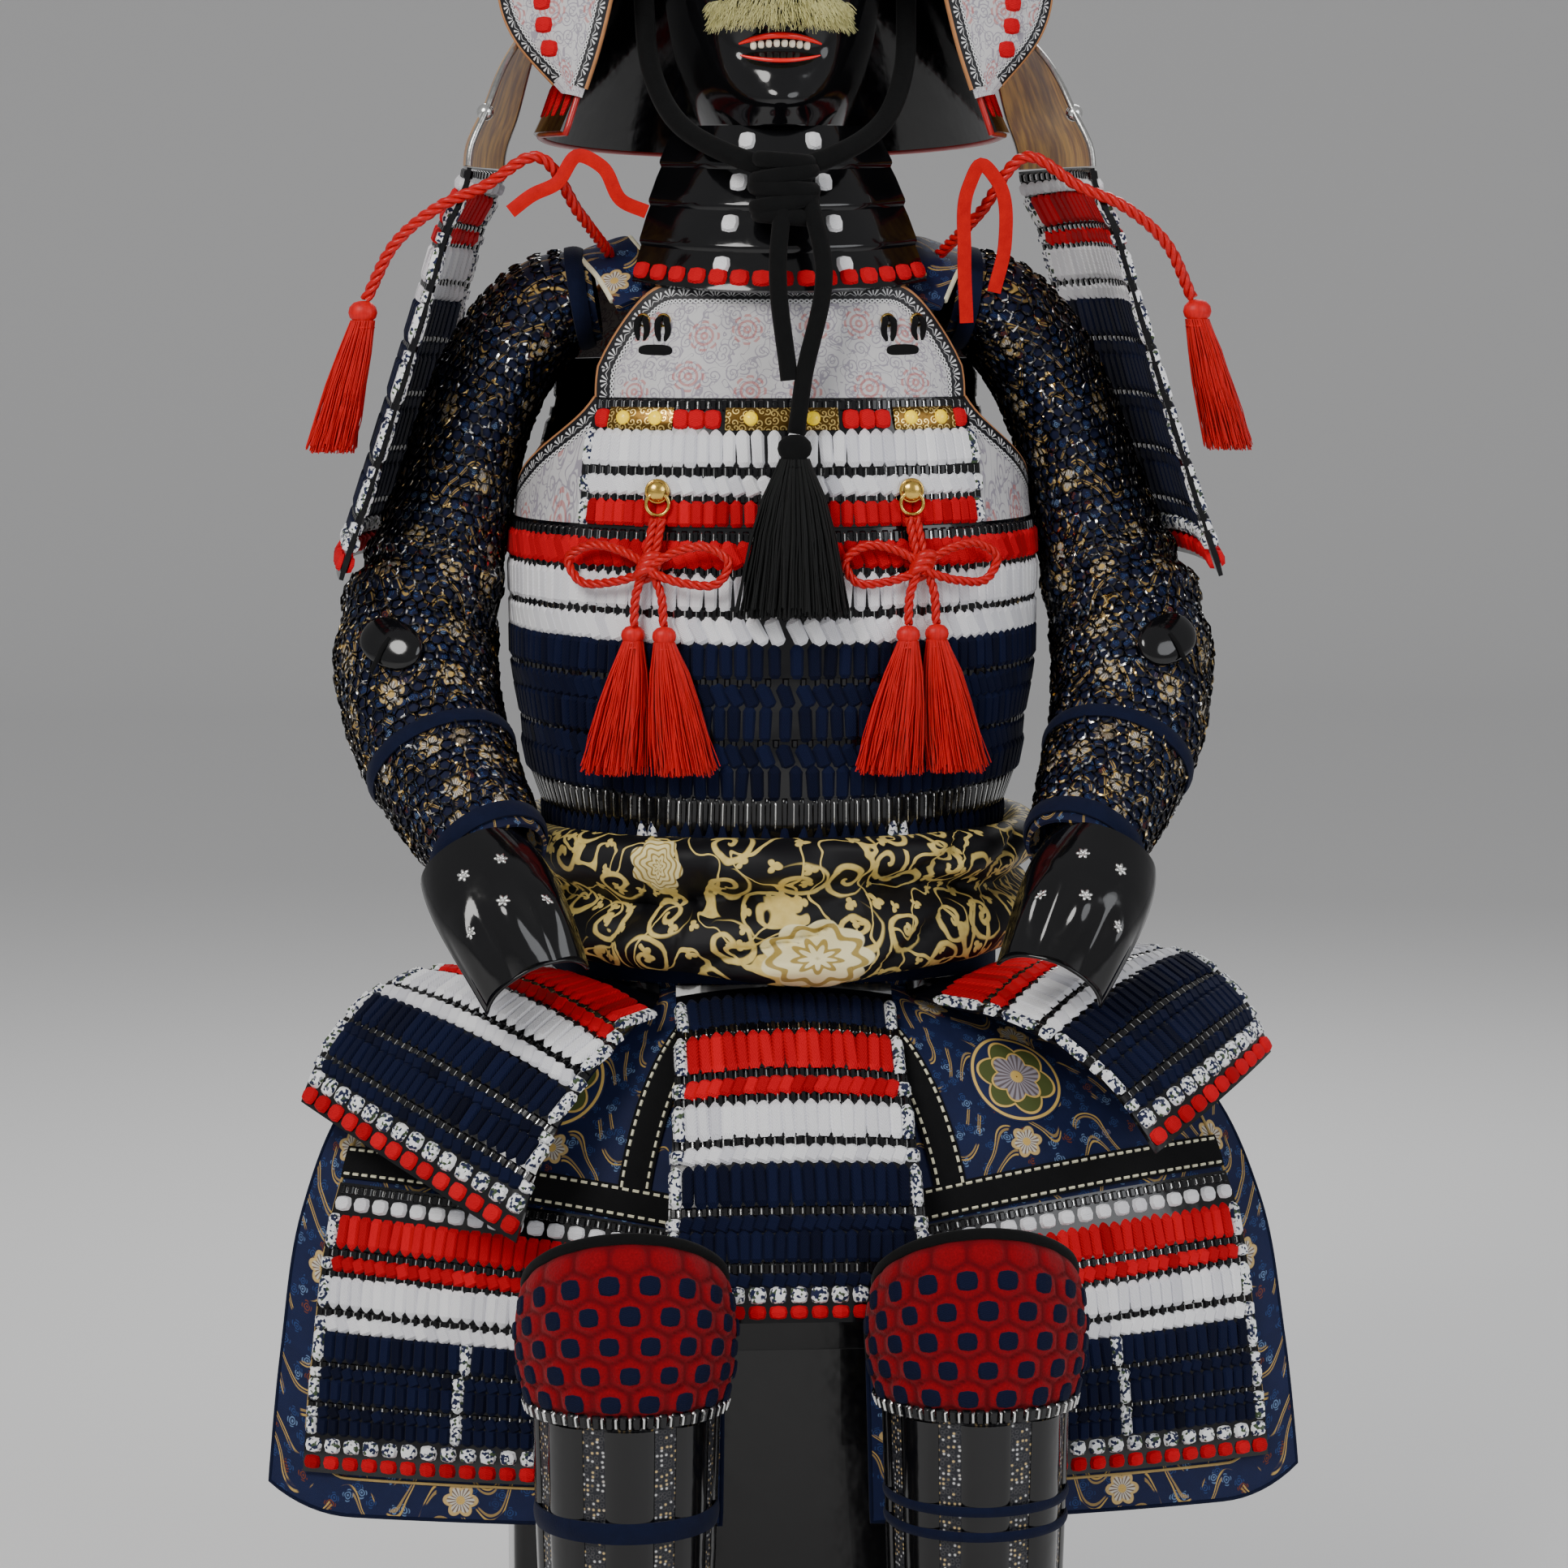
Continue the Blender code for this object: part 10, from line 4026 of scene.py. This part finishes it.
@dataclass
class FaceGuard:
    """The half mask, with its moustache, lips and teeth, and the lames that guard the throat."""

    hairs: int = 1700
    hair_length: float = 0.0115
    moustache_half: float = 38.0
    white_square: tuple = (0.0128, 0.0140, 0.0046)
    red_square: tuple = (0.0142, 0.0132, 0.0042)
    red_squares: int = 15

    def build(self, shop: Workshop, finishes: Finishes) -> None:
        """Makes the mask and the throat guard.

        Args:
            shop: the unit shapes and trees.
            finishes: the suit's materials.
        """
        shift = self.shift()
        self.mask(shift, finishes)
        self.mouth(shift, finishes)
        self.moustache(shift, shop, finishes)
        self.throat(shift, shop, finishes)

    @staticmethod
    def shift() -> Array:
        """How far the seated throat guard lies from its bare shape."""
        points = np.array([throat_point(u, s, o) for u in np.linspace(-1, 1, 13) for s in (0.0, 1.0)
                           for o in (0.0, MASK_WALL + 0.7 * LAME_STEP)])
        return seated(points, "throat_guard", "y")

    @staticmethod
    def mask(shift: Array, finishes: Finishes) -> None:
        """The lacquered shell on a fine grid.

        Args:
            shift: the move that lays the piece on its solid.
            finishes: the suit's materials.
        """
        angles, heights = np.linspace(-82, 82, 97), np.linspace(MASK_TOP, MASK_CHIN, 75)
        outer = np.array([[mask_point(a, z, MASK_WALL) for a in angles] for z in heights]) + shift
        inner = np.array([[mask_point(a, z, 0.0) for a in angles] for z in heights]) + shift
        made = wall_object("face_mask_shell", outer, inner, finishes.lacquer, smooth=70)
        finish_piece(made, ["face_mask"])

    @staticmethod
    def mouth(shift: Array, finishes: Finishes) -> None:
        """A row of teeth and a red line along each lip.

        Args:
            shift: the move that lays the piece on its solid.
            finishes: the suit's materials.
        """
        angles = np.linspace(-24, 24, 41)
        parts = []
        upper = np.array([mask_point(a, 1.2765 - 0.006 * (abs(a) / 24) ** 2,
                                     MASK_WALL + 0.0006) for a in angles])
        thick = 0.0024 * np.sqrt(np.maximum(0.05, 1 - (angles / 25) ** 2))
        parts.append(tube_object("lip_upper", upper + shift, thick, finishes.lip, 10))
        lower = np.array([mask_point(a, 1.2585 + 0.004 * (abs(a) / 24) ** 2,
                                     MASK_WALL + 0.0004) for a in angles])
        parts.append(tube_object("lip_lower", lower + shift, thick * 0.7, finishes.lip, 10))
        finish_piece(joined("mask_lips", parts))
        teeth = []
        for a in np.linspace(-16, 16, 8):
            centre = np.array(mask_point(a, 1.2715 - 0.003 * (a / 20) ** 2, MASK_WALL + 0.0002)) + shift
            out = np.array((math.sin(math.radians(a)), -math.cos(math.radians(a)), 0.0))
            across = np.cross(out, (0, 0, 1.0))
            axes = np.array([across * 0.0024, np.array((0, 0, 0.0034)), out * 0.0022])
            teeth.append(dome_object("tooth", centre, axes, finishes.ivory, 0.7, 8, 12))
        finish_piece(joined("mask_teeth", teeth))

    def moustache(self, shift: Array, shop: Workshop, finishes: Finishes) -> None:
        """Short pale plush that grows down and aside over the upper lip.

        Args:
            shift: the move that lays the piece on its solid.
            shop: the unit shapes and trees.
            finishes: the suit's materials.
        """
        chance = np.random.default_rng(SEED)
        lines = []
        for _ in range(self.hairs):
            a = chance.uniform(-self.moustache_half, self.moustache_half)
            aside = (a / self.moustache_half) ** 2
            z = 1.2945 + chance.uniform(-0.0095, 0.0115) * (1 - 0.20 * aside) - 0.003 * aside
            start = np.array(mask_point(a, z, MASK_WALL - 0.0006)) + shift
            out = unit(np.array((math.sin(math.radians(a)) * 0.8, -1.0, 0.12)))
            way = unit(np.array((0.45 * math.sin(math.radians(a) * 2.2) + chance.normal(0, 0.22), -0.25,
                                 -1.0 + chance.normal(0, 0.15))))
            long = self.hair_length * chance.uniform(0.65, 1.1)
            line = [start]
            for t in (0.33, 0.66, 1.0):
                line.append(start + out * long * 0.55 * math.sin(t * 1.5) + way * long * 0.75 * t * t)
            lines.append(np.array(line))
        made = shop.thread("mask_moustache", lines, 0.00042, finishes.plush, 3, lambda t: 1.0 - 0.7 * t)
        finish_piece(made)

    def throat(self, shift: Array, shop: Workshop, finishes: Finishes) -> None:
        """Four glossy lames, two columns of white lacing and a row of red squares along the foot.

        Args:
            shift: the move that lays the piece on its solid.
            shop: the unit shapes and trees.
            finishes: the suit's materials.
        """
        sheet = Surface(lambda u, v: throat_point(-1 + 2 * u, v), 81, 61).moved(shift)
        rows = []
        for k in range(4):
            rows += [(k / 4 + (0.018 if k else 0.0), 0.0), (k / 4 + 0.09, 0.0012), (k / 4 + 0.18, 0.0020),
                     (k / 4 + 0.232, 0.0027), ((k + 1) / 4, 0.0024)]
        u = np.linspace(0, 1, 61)
        outer = np.array([sheet.at(u, s, MASK_WALL + step) for s, step in rows])
        inner = np.array([sheet.at(u, s, 0.0) for s, _ in rows])
        made = wall_object("throat_guard_lames", outer, inner, finishes.lacquer)
        finish_piece(made, ["throat_guard"])
        laid = Laid.empty()
        for k in range(4):
            for way in (-1, 1):
                at = 0.5 + way * (0.125 + 0.022 * k)
                places = (np.array([at]), np.array([(k + 0.40) / 4]))
                step = unit(sheet.at(places[0] + 0.01, places[1]) - sheet.at(places[0] - 0.01, places[1]))
                laid.add(sheet.at(*places, MASK_WALL + 0.0012), sheet.normal(*places), step,
                         self.white_square, Stitch.CUSHION, Dye.WHITE, 0.8)
        us = (np.arange(self.red_squares) + 0.5) / self.red_squares
        vs = np.full(self.red_squares, 0.925)
        step = unit(sheet.at(us + 0.01, vs) - sheet.at(us - 0.01, vs))
        laid.add(sheet.at(us, vs, MASK_WALL + 0.0022), sheet.normal(us, vs), step, self.red_square,
                 Stitch.CUSHION, Dye.RED, 0.6)
        finish_piece(shop.lay("throat_guard_lacing", laid, finishes.dyes()))


@dataclass(frozen=True)
class SoftLight:
    """A round area light that faces the set."""

    name: str
    place: tuple
    size: float
    power: float
    colour: tuple

    def hang(self, target: Vector) -> None:
        """Creates the light.

        Args:
            target: the place that it faces.
        """
        data = bpy.data.lights.new(self.name, "AREA")
        data.shape = "DISK"
        data.size = self.size
        data.energy = self.power
        data.color = self.colour
        made = bpy.data.objects.new(self.name, data)
        bpy.context.scene.collection.objects.link(made)
        made.location = self.place
        made.rotation_euler = (target - made.location).to_track_quat("-Z", "Y").to_euler()


SOFT_LIGHTS = (
    SoftLight("key", (-1.6, -2.6, 2.9), 1.5, 84.0, (1.0, 0.98, 0.95)),
    SoftLight("fill", (2.4, -2.4, 1.9), 2.0, 34.0, (0.95, 0.97, 1.0)),
    SoftLight("back", (0.6, 2.4, 2.8), 2.0, 50.0, (1.0, 1.0, 1.0)),
)


@dataclass
class Studio:
    """The camera, the pale floor and the soft lights."""

    target: tuple = (0.004, 0.0, 0.73)
    distance: float = 3.6
    azimuth: float = -4.0
    elevation: float = 6.5
    lens: float = 111.8
    sensor: float = 36.0
    far: float = 50.0
    lit: tuple = (0.0, 0.0, 0.75)
    floor_front: float = -10.0
    floor_back: float = 8.0
    floor_half: float = 12.0
    floor_level: float = -0.001
    curve: float = 1.6
    wall_top: float = 7.0
    pale: tuple = (0.83, 0.83, 0.83)
    surround: tuple = (0.86, 0.86, 0.87, 1.0)
    surround_strength: float = 0.40

    def camera(self) -> None:
        """Creates the camera of the reference view."""
        data = bpy.data.cameras.new("camera")
        data.lens = self.lens
        data.sensor_width = self.sensor
        data.clip_end = self.far
        made = bpy.data.objects.new("camera", data)
        bpy.context.scene.collection.objects.link(made)
        a, e = math.radians(self.azimuth), math.radians(self.elevation)
        target = Vector(self.target)
        way = Vector((math.sin(a) * math.cos(e), -math.cos(a) * math.cos(e), math.sin(e)))
        made.location = target + way * self.distance
        made.rotation_euler = (target - made.location).to_track_quat("-Z", "Y").to_euler()
        bpy.context.scene.camera = made

    def lights(self) -> None:
        """Hangs three soft lights and a pale surround."""
        for light in SOFT_LIGHTS:
            light.hang(Vector(self.lit))
        world = bpy.data.worlds.new("surround")
        world.use_nodes = True
        back = world.node_tree.nodes["Background"]
        back.inputs["Color"].default_value = self.surround
        back.inputs["Strength"].default_value = self.surround_strength
        bpy.context.scene.world = world

    def floor(self) -> None:
        """Lays the plain pale floor, which curves up behind."""
        rows = [(self.floor_front, self.floor_level), (self.floor_back, self.floor_level)]
        rows += [(self.floor_back + self.curve * math.sin(t),
                  self.floor_level + self.curve * (1 - math.cos(t)))
                 for t in np.linspace(0.1, math.pi / 2, 12)]
        rows += [(self.floor_back + self.curve, self.wall_top)]
        points = [(x, y, z) for y, z in rows for x in (-self.floor_half, self.floor_half)]
        finish = Shader("pale_floor", 0.9)
        finish.colour(self.pale)
        made = mesh_object("floor", np.array(points), grid_quads(len(rows), 2), finish.material)

    def build(self) -> None:
        """Makes the whole studio."""
        self.camera()
        self.floor()
        self.lights()


def main() -> None:
    """Builds the studio and every sub-assembly, the cords first."""
    logging.basicConfig(level=logging.INFO, format="%(message)s")
    Studio().build()
    shop, finishes = Workshop(), Finishes()
    ChinCord().build(shop, finishes)
    for side, name in SIDES:
        ChestBow(side, name).build(shop, finishes)
        ShoulderDress(side, name).build(shop, finishes)
    Cuirass().build(shop, finishes)
    Waist().build(shop, finishes)
    Tassets().build(shop, finishes)
    for side, name in SIDES:
        ShoulderStrap(side, name).build(finishes)
        ThighGuard(side, name).build(shop, finishes)
        LegGuards(side, name).build(shop, finishes)
        Sleeve(side, name).build(shop, finishes)
        HandPlate(side, name).build(finishes)
        ShoulderGuard(side, name).build(shop, finishes)
    Helmet().build(shop, finishes)
    FaceGuard().build(shop, finishes)
    BoxAndStand().build(finishes)
    shop.clear()


if __name__ == "__main__":
    main()
